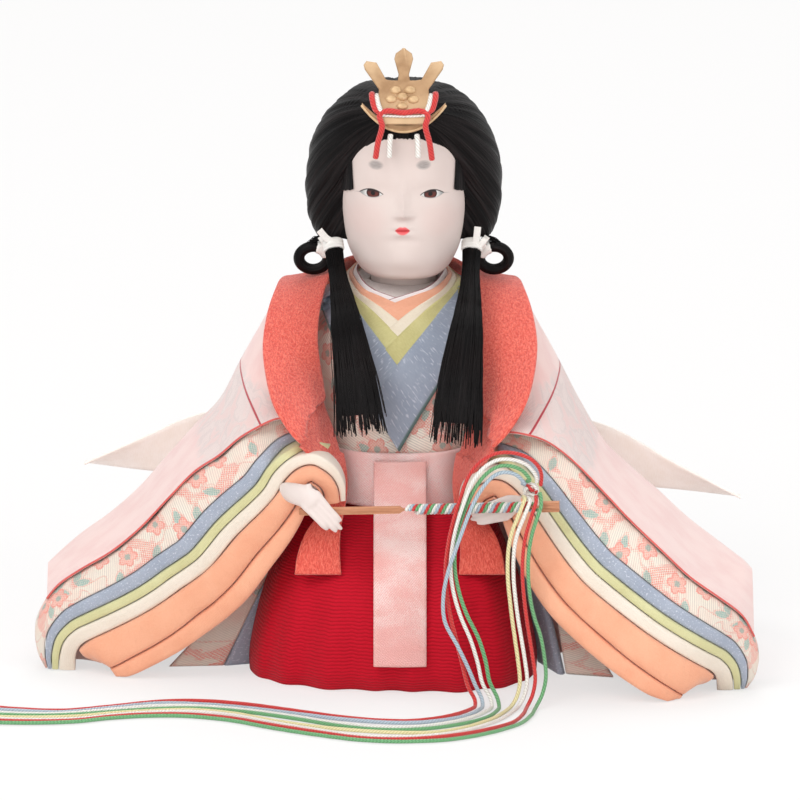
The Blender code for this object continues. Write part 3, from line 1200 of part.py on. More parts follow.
def build_cords(origin, knot):
    """Loose ends of the fan's cords: down from the knot, forward on the floor and off to the left."""
    low = CORD_DIAMETER / 2 + HEM_LIFT
    back = Vector((0, 1, 0))
    for lane, (name, across_drop) in enumerate(ACROSS_DROP.items()):
        colour, drop_name = name.split("_")
        drop = [Vector(point) * MM for point in DROP_ROUTES[drop_name]]
        forward_of_drop = FORWARD_OF_DROP.get(name, (0,) * len(drop))
        leave = (drop[0] - knot).normalized()
        across = leave.cross(back).normalized()
        first = (leave * KNOT_RADIUS * 1.1 + across * across_drop[0] * CORD_DIAMETER * 1.3).normalized()
        exit_point = knot + first * (KNOT_RADIUS + GAP * 2)
        points = [exit_point]
        last = len(drop) - 1
        for index, point in enumerate(drop):
            along = drop[min(index + 1, last)] - drop[max(index - 1, 0)]
            beside = along.cross(back).normalized() * across_drop[index] - back * forward_of_drop[index]
            points.append(point + beside * CORD_DIAMETER)
        for inner, outer, shares in zip(INNER_FLOOR_ROUTE, OUTER_FLOOR_ROUTE, FLOOR_LANE_SHARES):
            flat = Vector((*inner, 0)).lerp(Vector((*outer, 0)), shares[lane]) * MM
            points.append(Vector((flat.x, flat.y, low)))
        read = smooth(points, CORD_STATIONS)
        for point in read:
            point.z = max(point.z, low)
        tube(f"cord_{name}", read, CORD_DIAMETER, f"cord_{colour}", 2, origin)


# Train and ribbons at the back

TRAIN_LINE_SHARES = ((0.344, 1.21), (0.42, 0.99), (0.54, 0.75), (0.69, 0.51), (0.84, 0.26), (0.97, 0.06), (1.01, 0.016))
TRAIN_PLEATS = 11
RIBBON_EDGE_SHARES = {
    "left": (((-0.10, 0.415, 1.26), (-0.40, 0.42, 1.26), (-0.63, 0.40, 1.25), (-0.83, 0.37, 1.10), (-1.0, 0.35, 0.955)),
             ((-0.10, 0.455, 1.07), (-0.40, 0.44, 0.96), (-0.63, 0.42, 0.89), (-0.83, 0.44, 0.90), (-1.0, 0.48, 0.925))),
    "right": (((0.10, 0.415, 1.26), (0.40, 0.42, 1.24), (0.65, 0.40, 1.18), (0.88, 0.37, 0.95), (1.08, 0.35, 0.750)),
              ((0.10, 0.455, 1.07), (0.40, 0.44, 0.94), (0.65, 0.42, 0.84), (0.88, 0.44, 0.78), (1.08, 0.48, 0.720))),
}


def build_back():
    """Pleated train from the back of the waist, and the two stiff ribbons above it."""
    line = smooth([(0, deep * TRAIN_REACH, high * WAIST_HEIGHT) for deep, high in TRAIN_LINE_SHARES], 7)
    last_fold = TRAIN_PLEATS * 2
    rows = []
    for index, point in enumerate(line):
        share = index / (len(line) - 1)
        half = TRAIN_TOP_HALF_WIDTH + (TRAIN_HEM_HALF_WIDTH - TRAIN_TOP_HALF_WIDTH) * share
        row = []
        for fold in range(last_fold + 1):
            across = 2 * fold / last_fold - 1
            pleat = TRAIN_PLEAT * (fold % 2) * (0.35 + 0.65 * share)
            row.append(Vector((across * half, point.y + pleat, point.z)))
        rows.append(row)
    under = Vector((0, -RAY_REACH, -RAY_REACH))
    cloth("train", rows, TRAIN_THICKNESS, under, "white_silk")

    size = Vector((RIBBON_REACH, TRAIN_REACH, WAIST_HEIGHT))
    for side_name, (upper, lower) in RIBBON_EDGE_SHARES.items():
        rows = spread(sized(upper, size), sized(lower, size), 11, 3)
        cloth(f"train_ribbon_{side_name}", rows, RIBBON_THICKNESS, Vector((0, -RAY_REACH, 0)), "ivory_paper")


# Main

def main():
    """Build the doll."""
    clear_scene()
    torso, skirt = build_body()
    hakama = build_trousers()
    left_peach, left = build_sleeve("left", -1, LEFT_PATH_SHARES)
    right_peach, right = build_sleeve("right", 1, RIGHT_PATH_SHARES)
    collars = build_collars(torso)
    build_jacket(surfaces(torso, *left, *right, *collars))
    build_sash(torso, hakama, collars)
    head_origin = Vector((NECK_X, 0, NECK_FOOT))
    build_head(head_origin)
    build_hair(head_origin)
    build_crown()
    build_hand("left", left_peach)
    build_hand("right", right_peach)
    fan_origin, knot = build_fan()
    build_cords(fan_origin, knot)
    build_back()


main()
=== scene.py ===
"""Dressed scene of a seated court doll: silks, hair, crown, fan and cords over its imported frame."""

import logging
import math
import random
from dataclasses import dataclass, field
from enum import Enum
from typing import Callable, Iterable, Optional, Sequence

import bmesh
import bpy
from mathutils import Matrix, Vector, noise
from mathutils.bvhtree import BVHTree


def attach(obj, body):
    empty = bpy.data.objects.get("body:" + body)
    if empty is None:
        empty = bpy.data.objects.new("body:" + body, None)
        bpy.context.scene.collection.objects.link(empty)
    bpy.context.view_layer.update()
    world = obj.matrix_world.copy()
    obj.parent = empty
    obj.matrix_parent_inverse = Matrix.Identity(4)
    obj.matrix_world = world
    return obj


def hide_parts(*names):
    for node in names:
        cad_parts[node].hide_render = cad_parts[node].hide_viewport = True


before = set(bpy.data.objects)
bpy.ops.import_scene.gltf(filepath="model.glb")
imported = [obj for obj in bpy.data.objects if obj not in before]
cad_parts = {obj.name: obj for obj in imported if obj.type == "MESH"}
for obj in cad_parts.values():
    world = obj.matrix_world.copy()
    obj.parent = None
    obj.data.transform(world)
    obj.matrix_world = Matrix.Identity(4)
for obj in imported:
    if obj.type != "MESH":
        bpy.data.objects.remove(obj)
log = logging.getLogger("court_doll")
MM = 0.001

Colour = tuple[float, float, float]
Row = list[Vector]
Rows = list[Row]
Socket = bpy.types.NodeSocket
Material = bpy.types.Material
BMesh = bmesh.types.BMesh


class Body(str, Enum):
    """Moving bodies of the doll that pieces ride on."""

    DOLL = "doll"
    HEAD = "head"
    CROWN = "crown"
    FAN = "fan"


class Side(Enum):
    """Left and right as the viewer sees them."""

    LEFT = -1
    RIGHT = 1

    @property
    def word(self) -> str:
        """Name of the side in lower case."""
        return self.name.lower()


# Lines, rows and meshes


def shared(table: Iterable[Sequence[float]], size: Sequence[float]) -> Row:
    """Places from a table of shares of a size in X, Y and Z, in millimetres.

    Args:
        table: Shares of the size.
        size: Size in millimetres.

    Returns:
        Places in metres.
    """
    return [Vector((x * size[0], y * size[1], z * size[2])) * MM for x, y, z in table]


def smooth(knots: Sequence[Sequence[float]], count: int) -> Row:
    """Read a smooth line through the given places.

    Args:
        knots: Places that the line passes.
        count: How many places to read.

    Returns:
        Places along the line, even from knot to knot.
    """
    points = [Vector(knot) for knot in knots]
    last = len(points) - 1
    reads = []
    for step in range(count):
        along = last * step / (count - 1)
        span = min(int(along), last - 1)
        t = along - span
        start, end = points[span], points[span + 1]
        before = points[span - 1] if span > 0 else 2 * start - end
        after = points[span + 2] if span + 2 <= last else 2 * end - start
        bend = 2 * before - 5 * start + 4 * end - after
        twist = 3 * start - before - 3 * end + after
        reads.append(0.5 * (2 * start + (end - before) * t + bend * t * t + twist * t**3))
    return reads


def smooth_numbers(values: Sequence[float], count: int) -> list[float]:
    """Read a smooth curve through the given numbers.

    Args:
        values: Numbers that the curve passes.
        count: How many numbers to read.

    Returns:
        Numbers along the curve.
    """
    return [point.x for point in smooth([(value, 0, 0) for value in values], count)]


def finer(rows: Rows, along: int, across: int) -> Rows:
    """Read a smooth sheet through coarse rows.

    Args:
        rows: Coarse rows.
        along: Number of rows to read.
        across: Number of places to read in each row.

    Returns:
        Fine rows.
    """
    wide = [smooth(row, across) for row in rows]
    columns = [smooth([row[place] for row in wide], along) for place in range(across)]
    return [[column[index] for column in columns] for index in range(along)]


def spread(edge_a: Row, edge_b: Row, along: int, across: int) -> Rows:
    """Rows of places between two edges, each read from its own smooth line.

    Args:
        edge_a: First edge.
        edge_b: Second edge.
        along: Number of rows.
        across: Number of places in each row.

    Returns:
        Rows from edge to edge.
    """
    rows = []
    for start, end in zip(smooth(edge_a, along), smooth(edge_b, along)):
        rows.append([start.lerp(end, index / (across - 1)) for index in range(across)])
    return rows


def ring_of(centre: float, wide: float, front: float, back: float, height: float, count: int,
            tilt: float = 0.0, squareness: float = 2.3) -> Row:
    """Level oval ring with its own reach to the front and to the back.

    Args:
        centre: Middle in X.
        wide: Half width.
        front: Reach to the front.
        back: Reach to the back.
        height: Height of the ring.
        count: Number of places on it.
        tilt: Rise for each unit toward the back.
        squareness: Power of the oval; 2 is an ellipse.

    Returns:
        Places of the ring.
    """
    ring = []
    for index in range(count):
        turn = 2 * math.pi * index / count
        x = math.copysign(abs(math.cos(turn)) ** (2 / squareness), math.cos(turn))
        y = math.copysign(abs(math.sin(turn)) ** (2 / squareness), math.sin(turn))
        y *= back if y > 0 else front
        ring.append(Vector((centre + x * wide, y, height + tilt * y)))
    return ring


def frames_along(path: Row, facing: Vector) -> list[tuple[Vector, Vector]]:
    """Wide and deep directions square to a path.

    Args:
        path: Places of the path.
        facing: Direction that the deep direction points to as nearly as it can.

    Returns:
        Pairs of directions, one for each place.
    """
    last = len(path) - 1
    frames = []
    for index in range(len(path)):
        tangent = (path[min(index + 1, last)] - path[max(index - 1, 0)]).normalized()
        wide = tangent.cross(facing).normalized()
        frames.append((wide, wide.cross(tangent).normalized()))
    return frames


def swept(path: Row, wides: Sequence[float], deeps: Sequence[float], sides: int, facing: Vector,
          ridge: Optional[Callable[[float, float], float]] = None) -> Rows:
    """Oval rings square to a path.

    Args:
        path: Places of the path.
        wides: Half width at each place.
        deeps: Half depth at each place.
        sides: Places in a ring.
        facing: Direction of the depth.
        ridge: Factor on the reach from the turn and the share along, if any.

    Returns:
        Rings.
    """
    rings = []
    for index, (point, (wide, deep)) in enumerate(zip(path, frames_along(path, facing))):
        ring = []
        for side in range(sides):
            turn = 2 * math.pi * (side + 0.5) / sides
            reach = ridge(turn, index / max(len(path) - 1, 1)) if ridge else 1.0
            ring.append(point + wide * wides[index] * math.cos(turn) * reach
                        + deep * deeps[index] * math.sin(turn) * reach)
        rings.append(ring)
    return rings


def rolled(path: Row, radius: float, sides: int, plies: int = 0, twist: float = 0.0) -> Rows:
    """Round rings carried along a path without turning, with twisted plies in their surface.

    Args:
        path: Places of the path.
        radius: Outer radius.
        sides: Places in a ring.
        plies: Number of plies.
        twist: Length of one turn of the plies.

    Returns:
        Rings, rounded off at both ends.
    """
    last = len(path) - 1
    tangent = (path[1] - path[0]).normalized()
    wide = tangent.cross(Vector((0.3, 1.0, 0.2))).normalized()
    run, rings = 0.0, []
    for index, point in enumerate(path):
        if index:
            run += (point - path[index - 1]).length
        tangent = (path[min(index + 1, last)] - path[max(index - 1, 0)]).normalized()
        wide = (wide - tangent * wide.dot(tangent)).normalized()
        deep = tangent.cross(wide)
        ring = []
        for side in range(sides):
            turn = 2 * math.pi * side / sides
            reach = radius
            if plies:
                reach *= 0.93 + 0.07 * abs(math.cos((turn * plies - 2 * math.pi * plies * run / twist) / 2))
            ring.append(point + (wide * math.cos(turn) + deep * math.sin(turn)) * reach)
        rings.append(ring)
    ends = []
    for ring, point, outward in ((rings[0], path[0], path[0] - path[1]),
                                 (rings[-1], path[-1], path[-1] - path[-2])):
        outward = outward.normalized() * radius
        ends.append([[point + (place - point) * share + outward * push for place in ring]
                     for share, push in ((0.8, 0.35), (0.35, 0.5))])
    return ends[0][::-1] + rings + ends[1]


def laid(rows: Rows, ring: bool = False, accents: Optional[list[list[float]]] = None) -> BMesh:
    """Lay a grid over rows of places, with a UV map in metres along and across it.

    Args:
        rows: Places, row by row.
        ring: True where each row is a ring, which also closes both ends.
        accents: Strength of the accent colour at each place, if any.

    Returns:
        Mesh of the grid.
    """
    if ring:
        rows = [row + [row[0]] for row in rows]
        accents = [line + [line[0]] for line in accents] if accents else None
    wide, long = len(rows[0]) - 1, len(rows) - 1
    mesh = bmesh.new()
    uv = mesh.loops.layers.uv.new("UVMap")
    accent = mesh.verts.layers.float.new("accent")
    bmesh.ops.create_grid(mesh, x_segments=wide, y_segments=long, size=0.5)
    middle, column = rows[long // 2], [row[wide // 2] for row in rows]
    us, vs = [0.0], [0.0]
    for start, end in zip(middle, middle[1:]):
        us.append(us[-1] + (end - start).length)
    for start, end in zip(column, column[1:]):
        vs.append(vs[-1] + (end - start).length)
    for face in mesh.faces:
        for loop in face.loops:
            place, index = round((loop.vert.co.x + 0.5) * wide), round((loop.vert.co.y + 0.5) * long)
            loop[uv].uv = (us[place], vs[index])
    for vert in mesh.verts:
        place, index = round((vert.co.x + 0.5) * wide), round((vert.co.y + 0.5) * long)
        vert.co = rows[index][place]
        if accents:
            vert[accent] = accents[index][place]
    if ring:
        bmesh.ops.remove_doubles(mesh, verts=mesh.verts, dist=1e-6)
        bmesh.ops.dissolve_degenerate(mesh, edges=mesh.edges, dist=1e-7)
        before = set(mesh.faces)
        bmesh.ops.holes_fill(mesh, edges=[edge for edge in mesh.edges if edge.is_boundary], sides=0)
        for face in mesh.faces:
            if face not in before:
                for loop in face.loops:
                    loop[uv].uv = (loop.vert.co.x, loop.vert.co.z)
    return mesh


def hemmed(rows: Rows, thickness: float, outward: Callable[[Vector, Vector], Vector],
           floor: float = 0.0) -> Rows:
    """Closed rings of a cloth from its inner rows, with rounded side edges.

    Args:
        rows: Inner face of the cloth.
        thickness: Thickness in metres.
        outward: Outward direction from a place and its face direction.
        floor: Lowest height that the cloth may reach.

    Returns:
        Rings of the cloth.
    """
    rings = []
    last = len(rows) - 1
    for index, row in enumerate(rows):
        outs = []
        for place, point in enumerate(row):
            along = rows[min(index + 1, last)][place] - rows[max(index - 1, 0)][place]
            across = row[min(place + 1, len(row) - 1)] - row[max(place - 1, 0)]
            outs.append(outward(point, across.cross(along).normalized()) * thickness)
        outer = [point + out for point, out in zip(row, outs)]
        ends = []
        for end, beside in ((-1, -2), (0, 1)):
            reach = (row[end] - row[beside]).normalized() * thickness * 0.32
            turns = ((0.2, 0.75), (0.5, 1.0), (0.8, 0.75))
            ends.append([row[end] + outs[end] * share + reach * push for share, push in turns])
        ring = list(row) + ends[0] + outer[::-1] + ends[1][::-1]
        for point in ring:
            point.z = max(point.z, floor)
        rings.append([point.copy() for point in ring])
    return rings


def closed_hem(rings: Rows) -> Rows:
    """Round off both ends of a stack of rings.

    Args:
        rings: Rings of a piece.

    Returns:
        The rings with one smaller ring before the first and one after the last.
    """
    ends = []
    for ring, beside in ((rings[0], rings[1]), (rings[-1], rings[-2])):
        middle = sum(ring, Vector()) / len(ring)
        inner = sum(beside, Vector()) / len(beside)
        push = (middle - inner).normalized() * 0.3 * MM
        closing = []
        for place, point in enumerate(ring):
            opposite = ring[(len(ring) - 4 - place) % len(ring)]
            closing.append(point.lerp(opposite, 0.22) + push)
        ends.append(closing)
    return [ends[0]] + rings + [ends[1]]


def shown(mesh: BMesh, name: str, finish: Material, body: Body,
          stands_for: Sequence[str] = (), crease: float = 60.0) -> bpy.types.Object:
    """Turn a mesh into a piece that rides on a body.

    Args:
        mesh: Finished mesh, in place.
        name: Name of the piece.
        finish: Its material.
        body: Body that it rides on.
        stands_for: CAD nodes that it replaces.
        crease: Angle in degrees past which an edge is sharp.

    Returns:
        The piece.
    """
    bmesh.ops.recalc_face_normals(mesh, faces=mesh.faces)
    data = bpy.data.meshes.new(name)
    mesh.to_mesh(data)
    mesh.free()
    data.shade_smooth()
    data.set_sharp_from_angle(angle=math.radians(crease))
    data.materials.append(finish)
    piece = bpy.data.objects.new(name, data)
    bpy.context.scene.collection.objects.link(piece)
    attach(piece, body.value)
    if stands_for:
        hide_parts(*stands_for)
    log.info("%s: %d faces on %s", name, len(data.polygons), body.value)
    return piece


# Draping


RAY_REACH = 400 * MM


def trees_of(*names: str) -> list[BVHTree]:
    """Search trees of the named CAD nodes.

    Args:
        names: Names of nodes that lie underneath.

    Returns:
        One tree for each node.
    """
    trees = []
    for name in names:
        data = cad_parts[name].data
        trees.append(BVHTree.FromPolygons([vertex.co for vertex in data.vertices],
                                          [face.vertices[:] for face in data.polygons]))
    return trees


def reach_of(trees: Sequence[BVHTree], guide: Vector, centre: Vector) -> float:
    """Distance from a centre, through the guide, of the outermost piece underneath.

    Args:
        trees: Search trees.
        guide: Place that the line passes.
        centre: Start of the line.

    Returns:
        Distance in metres, or 0 where nothing lies there.
    """
    outward = (guide - centre).normalized()
    start = centre + outward * RAY_REACH * 2
    reach = 0.0
    for tree in trees:
        place, _, _, _ = tree.ray_cast(start, -outward)
        if place:
            reach = max(reach, (place - centre).dot(outward))
    return reach


def beside(table: Sequence[Sequence[float]], row: int, place: int) -> list[float]:
    """Values of a grid at a place and next to it.

    Args:
        table: Grid of values.
        row: Row of the place.
        place: Place in the row.

    Returns:
        Up to five values.
    """
    found = []
    for step_row, step_place in ((0, 0), (1, 0), (-1, 0), (0, 1), (0, -1)):
        if 0 <= row + step_row < len(table) and 0 <= place + step_place < len(table[0]):
            found.append(table[row + step_row][place + step_place])
    return found


def draped(trees: Sequence[BVHTree], rows: Rows, centres: Rows, gap: float) -> Rows:
    """Move rows out from their centres until they clear what lies underneath.

    Args:
        trees: Search trees of what lies underneath.
        rows: Rows to move.
        centres: Place that each of them moves away from.
        gap: Clearance.

    Returns:
        Moved rows.
    """
    lifts = []
    for row, line in zip(rows, centres):
        lifts.append([max(0.0, reach_of(trees, point, centre) + gap - (point - centre).length)
                      for point, centre in zip(row, line)])
    size = range(len(rows)), range(len(rows[0]))
    wide = [[max(beside(lifts, row, place)) for place in size[1]] for row in size[0]]
    laid_rows = []
    for row in size[0]:
        line = []
        for place in size[1]:
            near = beside(wide, row, place)
            outward = (rows[row][place] - centres[row][place]).normalized()
            line.append(rows[row][place] + outward * max(sum(near) / len(near), lifts[row][place]))
        laid_rows.append(line)
    return laid_rows


def cores(rows: Rows, side_share: float, drop: float) -> Rows:
    """Places inside the body from which clothing is pushed out.

    Args:
        rows: Rows of the clothing.
        side_share: Share of the distance from the middle that is kept.
        drop: How far below each place its core lies.

    Returns:
        Rows of cores.
    """
    return [[Vector((point.x * side_share, 0, point.z - drop)) for point in row] for row in rows]


# Finishes


class Recipe:
    """Node tree of one material, with short calls for the nodes that the finishes share."""

    def __init__(self, name: str, **settings: object) -> None:
        """Start a material.

        Args:
            name: Name of the material.
            settings: Values of the shader's own sockets, with _ for each space.
        """
        self.material = bpy.data.materials.new(name)
        self.material.use_nodes = True
        self.nodes = self.material.node_tree.nodes
        self.links = self.material.node_tree.links
        self.shader = self.nodes["Principled BSDF"]
        for key, value in settings.items():
            self.shader.inputs[key.replace("_", " ")].default_value = value

    def add(self, kind: str, inputs: dict, **settings: object) -> bpy.types.Node:
        """Add a node.

        Args:
            kind: Node type without its ShaderNode prefix.
            inputs: Values or sockets for its inputs.
            settings: Properties of the node.

        Returns:
            The node.
        """
        node = self.nodes.new("ShaderNode" + kind)
        for key, value in settings.items():
            setattr(node, key, value)
        for key, value in inputs.items():
            if isinstance(value, Socket):
                self.links.new(value, node.inputs[key])
            else:
                node.inputs[key].default_value = value
        return node

    def cloth(self, turn: float = 0.0, stretch: Sequence[float] = (1.0, 1.0)) -> Socket:
        """UV map in millimetres.

        Args:
            turn: Turn of the pattern in degrees.
            stretch: Scale across and along.

        Returns:
            Vector socket.
        """
        source = self.add("UVMap", {}, uv_map="UVMap").outputs["UV"]
        return self.add("Mapping", {"Vector": source, "Rotation": (0, 0, math.radians(turn)),
                                    "Scale": (1000 * stretch[0], 1000 * stretch[1], 1000)}).outputs["Vector"]

    def place(self, stretch: Sequence[float] = (1.0, 1.0, 1.0)) -> Socket:
        """Object coordinates in millimetres.

        Args:
            stretch: Scale in X, Y and Z.

        Returns:
            Vector socket.
        """
        source = self.add("TexCoord", {}).outputs["Object"]
        return self.add("Mapping",
                        {"Vector": source, "Scale": [1000 * share for share in stretch]}).outputs["Vector"]

    def split(self, vector: Socket) -> tuple[Socket, ...]:
        """X, Y and Z of a vector."""
        return tuple(self.add("SeparateXYZ", {"Vector": vector}).outputs)

    def maths(self, operation: str, a: object, b: object = 0.0, c: object = 0.0) -> Socket:
        """Result of one sum.

        Args:
            operation: Blender's name of it.
            a: First value.
            b: Second value.
            c: Third value.

        Returns:
            Value socket.
        """
        return self.add("Math", {0: a, 1: b, 2: c}, operation=operation).outputs[0]

    def vectors(self, operation: str, a: object, b: object = (0, 0, 0)) -> Socket:
        """Vector result of one vector sum."""
        return self.add("VectorMath", {0: a, 1: b}, operation=operation).outputs["Vector"]

    def grain(self, vector: Socket, scale: float, detail: float = 2.0,
              distortion: float = 0.0) -> Socket:
        """Noise from 0 to 1.

        Args:
            vector: Coordinates in millimetres.
            scale: Waves for each millimetre.
            detail: Detail of the noise.
            distortion: Distortion of the noise.

        Returns:
            Value socket.
        """
        return self.add("TexNoise", {"Vector": vector, "Scale": scale, "Detail": detail,
                                     "Distortion": distortion}).outputs["Fac"]

    def wave(self, value: object, period: float) -> Socket:
        """Sine from 0 to 1 of a value in millimetres, of the given period.

        Args:
            value: Value in millimetres.
            period: Period in millimetres.

        Returns:
            Value socket.
        """
        return self.maths("MULTIPLY_ADD",
                          self.maths("SINE", self.maths("MULTIPLY", value, 2 * math.pi / period)), 0.5, 0.5)

    def mask(self, value: object, low: float, high: float) -> Socket:
        """Smooth step from 0 below low to 1 above high; turned round where low is above high."""
        return self.add("MapRange", {"Value": value, "From Min": low, "From Max": high},
                        interpolation_type="SMOOTHSTEP").outputs["Result"]

    def mix(self, share: object, a: object, b: object, kind: str = "MIX") -> Socket:
        """Colour between two colours.

        Args:
            share: Share of the second colour.
            a: First colour or socket.
            b: Second colour or socket.
            kind: Blender's blend type.

        Returns:
            Colour socket.
        """
        node = self.add("Mix", {}, data_type="RGBA", blend_type=kind)
        for socket, value in ((node.inputs["Factor"], share), (node.inputs[6], a), (node.inputs[7], b)):
            if isinstance(value, Socket):
                self.links.new(value, socket)
            else:
                plain = isinstance(value, tuple) and len(value) == 3
                socket.default_value = (*value, 1.0) if plain else value
        return node.outputs[2]

    def accent(self) -> Socket:
        """Strength of the accent colour that the mesh carries."""
        return self.add("Attribute", {}, attribute_name="accent").outputs["Fac"]

    def finish(self, colour: object, height: object = None, depth: float = 0.1, strength: float = 1.0,
               roughness: object = None) -> Material:
        """Join colour, relief and roughness to the shader.

        Args:
            colour: Colour socket or colour.
            height: Relief from 0 to 1, if any.
            depth: Depth of the relief in millimetres.
            strength: Strength of the relief.
            roughness: Roughness socket, if any.

        Returns:
            The material.
        """
        if isinstance(colour, Socket):
            self.links.new(colour, self.shader.inputs["Base Color"])
        else:
            self.shader.inputs["Base Color"].default_value = (*colour, 1.0)
        if height is not None:
            bump = self.add("Bump", {"Height": height, "Distance": depth * MM, "Strength": strength})
            self.links.new(bump.outputs["Normal"], self.shader.inputs["Normal"])
        if roughness is not None:
            self.links.new(roughness, self.shader.inputs["Roughness"])
        return self.material


@dataclass(frozen=True)
class Silk:
    """Plain woven silk with a soft sheen, faint folds and, if asked, glittering threads or a dark accent
    line: real piping on the collars, painted crevice shade on the sleeve layers' inner edges.
    """

    name: str
    colour: Colour
    shade: Colour
    # Accent colour: piping on the collars, painted crevice shade on the sleeve layers.
    trim: Colour = (0.05, 0.05, 0.05)
    glitter: float = 0.0
    wrinkle: float = 0.25
    pitch: float = 0.55
    sheen: float = 0.35

    def make(self) -> Material:
        """Build the material.

        Returns:
            The material.
        """
        recipe = Recipe(self.name, Roughness=0.62, Sheen_Weight=self.sheen, Sheen_Roughness=0.4,
                        Specular_IOR_Level=0.3)
        cloth = recipe.cloth()
        across, along, _ = recipe.split(cloth)
        folds = recipe.grain(recipe.cloth(0, (0.35, 1.0)), 0.35, 4.0, 0.6)
        patch = recipe.grain(cloth, 0.08, 3.0)
        fine = recipe.grain(cloth, 2.2, 2.0)
        weave = recipe.maths("ADD", recipe.wave(across, self.pitch), recipe.wave(along, self.pitch * 0.8))
        tone = recipe.maths("MULTIPLY_ADD", patch, 0.7, recipe.maths("MULTIPLY", fine, 0.35))
        colour = recipe.mix(recipe.mask(tone, 0.3, 0.8), self.colour, self.shade)
        if self.glitter:
            specks = recipe.mask(recipe.grain(cloth, 1.5, 1.0), 0.58, 0.72)
            colour = recipe.mix(recipe.maths("MULTIPLY", specks, self.glitter), colour, (0.86, 0.87, 0.93))
        # Accent line: real piping on the collars; on the green and grey sleeve layers it is painted shade in
        # the crevice between layers.
        colour = recipe.mix(recipe.mask(recipe.accent(), 0.45, 0.85), colour, self.trim)
        height = recipe.maths("MULTIPLY_ADD", folds, self.wrinkle * 4,
                              recipe.maths("MULTIPLY_ADD", weave, 0.22, recipe.maths("MULTIPLY", fine, 0.5)))
        return recipe.finish(colour, height, 0.12)


@dataclass(frozen=True)
class PatternedSilk:
    """Plain pink silk that turns into a pale hatched weave where the accent is, with a seam line."""

    name: str
    colour: Colour
    shade: Colour
    woven: Colour
    hatch: Colour
    seam: tuple[tuple[float, float], tuple[float, float]] = ((54.5, 97.5), (40.5, 82.0))
    seam_colour: Colour = (0.50, 0.03, 0.05)

    def seam_line(self, recipe: Recipe) -> Socket:
        """Mask of the narrow seam, seen from the front.

        Args:
            recipe: Node tree that it joins.

        Returns:
            Value socket.
        """
        x, _, z = recipe.split(recipe.place())
        x = recipe.maths("ABSOLUTE", x)
        start, end = (Vector(point) for point in self.seam)
        along = (end - start).normalized()
        from_x, from_z = recipe.maths("SUBTRACT", x, start.x), recipe.maths("SUBTRACT", z, start.y)
        run = recipe.maths("ADD", recipe.maths("MULTIPLY", from_x, along.x),
                           recipe.maths("MULTIPLY", from_z, along.y))
        off = recipe.maths("SUBTRACT", recipe.maths("MULTIPLY", from_x, along.y),
                           recipe.maths("MULTIPLY", from_z, along.x))
        bow = recipe.maths("MULTIPLY_ADD", recipe.maths("SINE", recipe.maths("MULTIPLY", run, 0.15)), 0.7,
                           off)
        near = recipe.mask(recipe.maths("ABSOLUTE", bow), 0.42, 0.22)
        inside = recipe.maths("MULTIPLY", recipe.mask(run, -0.5, 0.5),
                              recipe.mask(run, (end - start).length, (end - start).length - 1))
        return recipe.maths("MULTIPLY", near, inside)

    def make(self) -> Material:
        """Build the material.

        Returns:
            The material.
        """
        recipe = Recipe(self.name, Roughness=0.62, Sheen_Weight=0.35, Sheen_Roughness=0.4,
                        Specular_IOR_Level=0.3)
        cloth = recipe.cloth()
        across, along, _ = recipe.split(cloth)
        patch = recipe.grain(cloth, 0.08, 3.0)
        fine = recipe.grain(cloth, 2.0, 2.0)
        thread = recipe.wave(recipe.maths("MULTIPLY_ADD", across, 0.6, along), 0.9)
        colour = recipe.mix(recipe.mask(patch, 0.35, 0.7), self.colour, self.shade)
        blooms = recipe.grain(recipe.vectors("ADD", cloth, (7.0, 3.0, 0.0)), 0.11, 2.0, 0.8)
        rim = recipe.mask(recipe.maths("ABSOLUTE", recipe.maths("SUBTRACT", blooms, 0.5)), 0.05, 0.02)
        pale = recipe.mix(recipe.maths("MULTIPLY",
                                       recipe.mask(recipe.maths("MULTIPLY_ADD", fine, 0.7, thread), 0.75,
                                                   1.2), 0.6),
                          self.woven, self.hatch)
        pale = recipe.mix(recipe.maths("MULTIPLY", recipe.mask(blooms, 0.48, 0.62), 0.6), pale, self.shade)
        pale = recipe.mix(recipe.maths("MULTIPLY", rim, 0.3), pale, self.hatch)
        zone = recipe.mask(recipe.maths("MULTIPLY_ADD", recipe.maths("SUBTRACT", blooms, 0.5), 1.6,
                                        recipe.accent()), 0.35, 0.75)
        colour = recipe.mix(recipe.maths("MULTIPLY", zone, 0.8), colour, pale)
        seam = self.seam_line(recipe)
        colour = recipe.mix(seam, colour, self.seam_colour)
        height = recipe.maths("MULTIPLY_ADD", fine, 0.5,
                              recipe.maths("MULTIPLY", thread, recipe.maths("MULTIPLY_ADD", zone, 0.6, 0.15)))
        return recipe.finish(colour, recipe.maths("ADD", height, recipe.maths("MULTIPLY", seam, 1.5)), 0.12)


@dataclass(frozen=True)
class Crepe:
    """Coarse crinkled crepe: short slanted threads that stand proud of a deeper ground, coloured with painted
    shade in the low ground and painted highlights on the highest threads.
    """

    name: str
    colour: Colour
    deep: Colour
    light: Colour
    grain: float = 1.0
    turn: float = 32.0

    def make(self) -> Material:
        """Build the material.

        Returns:
            The material.
        """
        recipe = Recipe(self.name, Roughness=0.7, Sheen_Weight=0.3, Specular_IOR_Level=0.25)
        dashes = recipe.grain(recipe.cloth(self.turn, (1.9, 0.75)), self.grain, 2.0, 0.9)
        counter = recipe.grain(recipe.cloth(-self.turn, (1.7, 0.8)), self.grain * 1.25, 2.0, 0.6)
        height = recipe.maths("MULTIPLY_ADD", dashes, 0.7, recipe.maths("MULTIPLY", counter, 0.4))
        fine = recipe.grain(recipe.cloth(), 2.4, 2.0)
        # Painted shade: the low ground between threads takes the deep colour.
        colour = recipe.mix(recipe.mask(height, 0.42, 0.62), self.deep, self.colour)
        # Painted highlight: the highest threads take the light colour.
        colour = recipe.mix(recipe.mask(recipe.maths("MULTIPLY_ADD", fine, 0.35, height), 0.70, 0.92), colour,
                            self.light)
        return recipe.finish(colour, recipe.mask(height, 0.35, 0.75), 0.17)


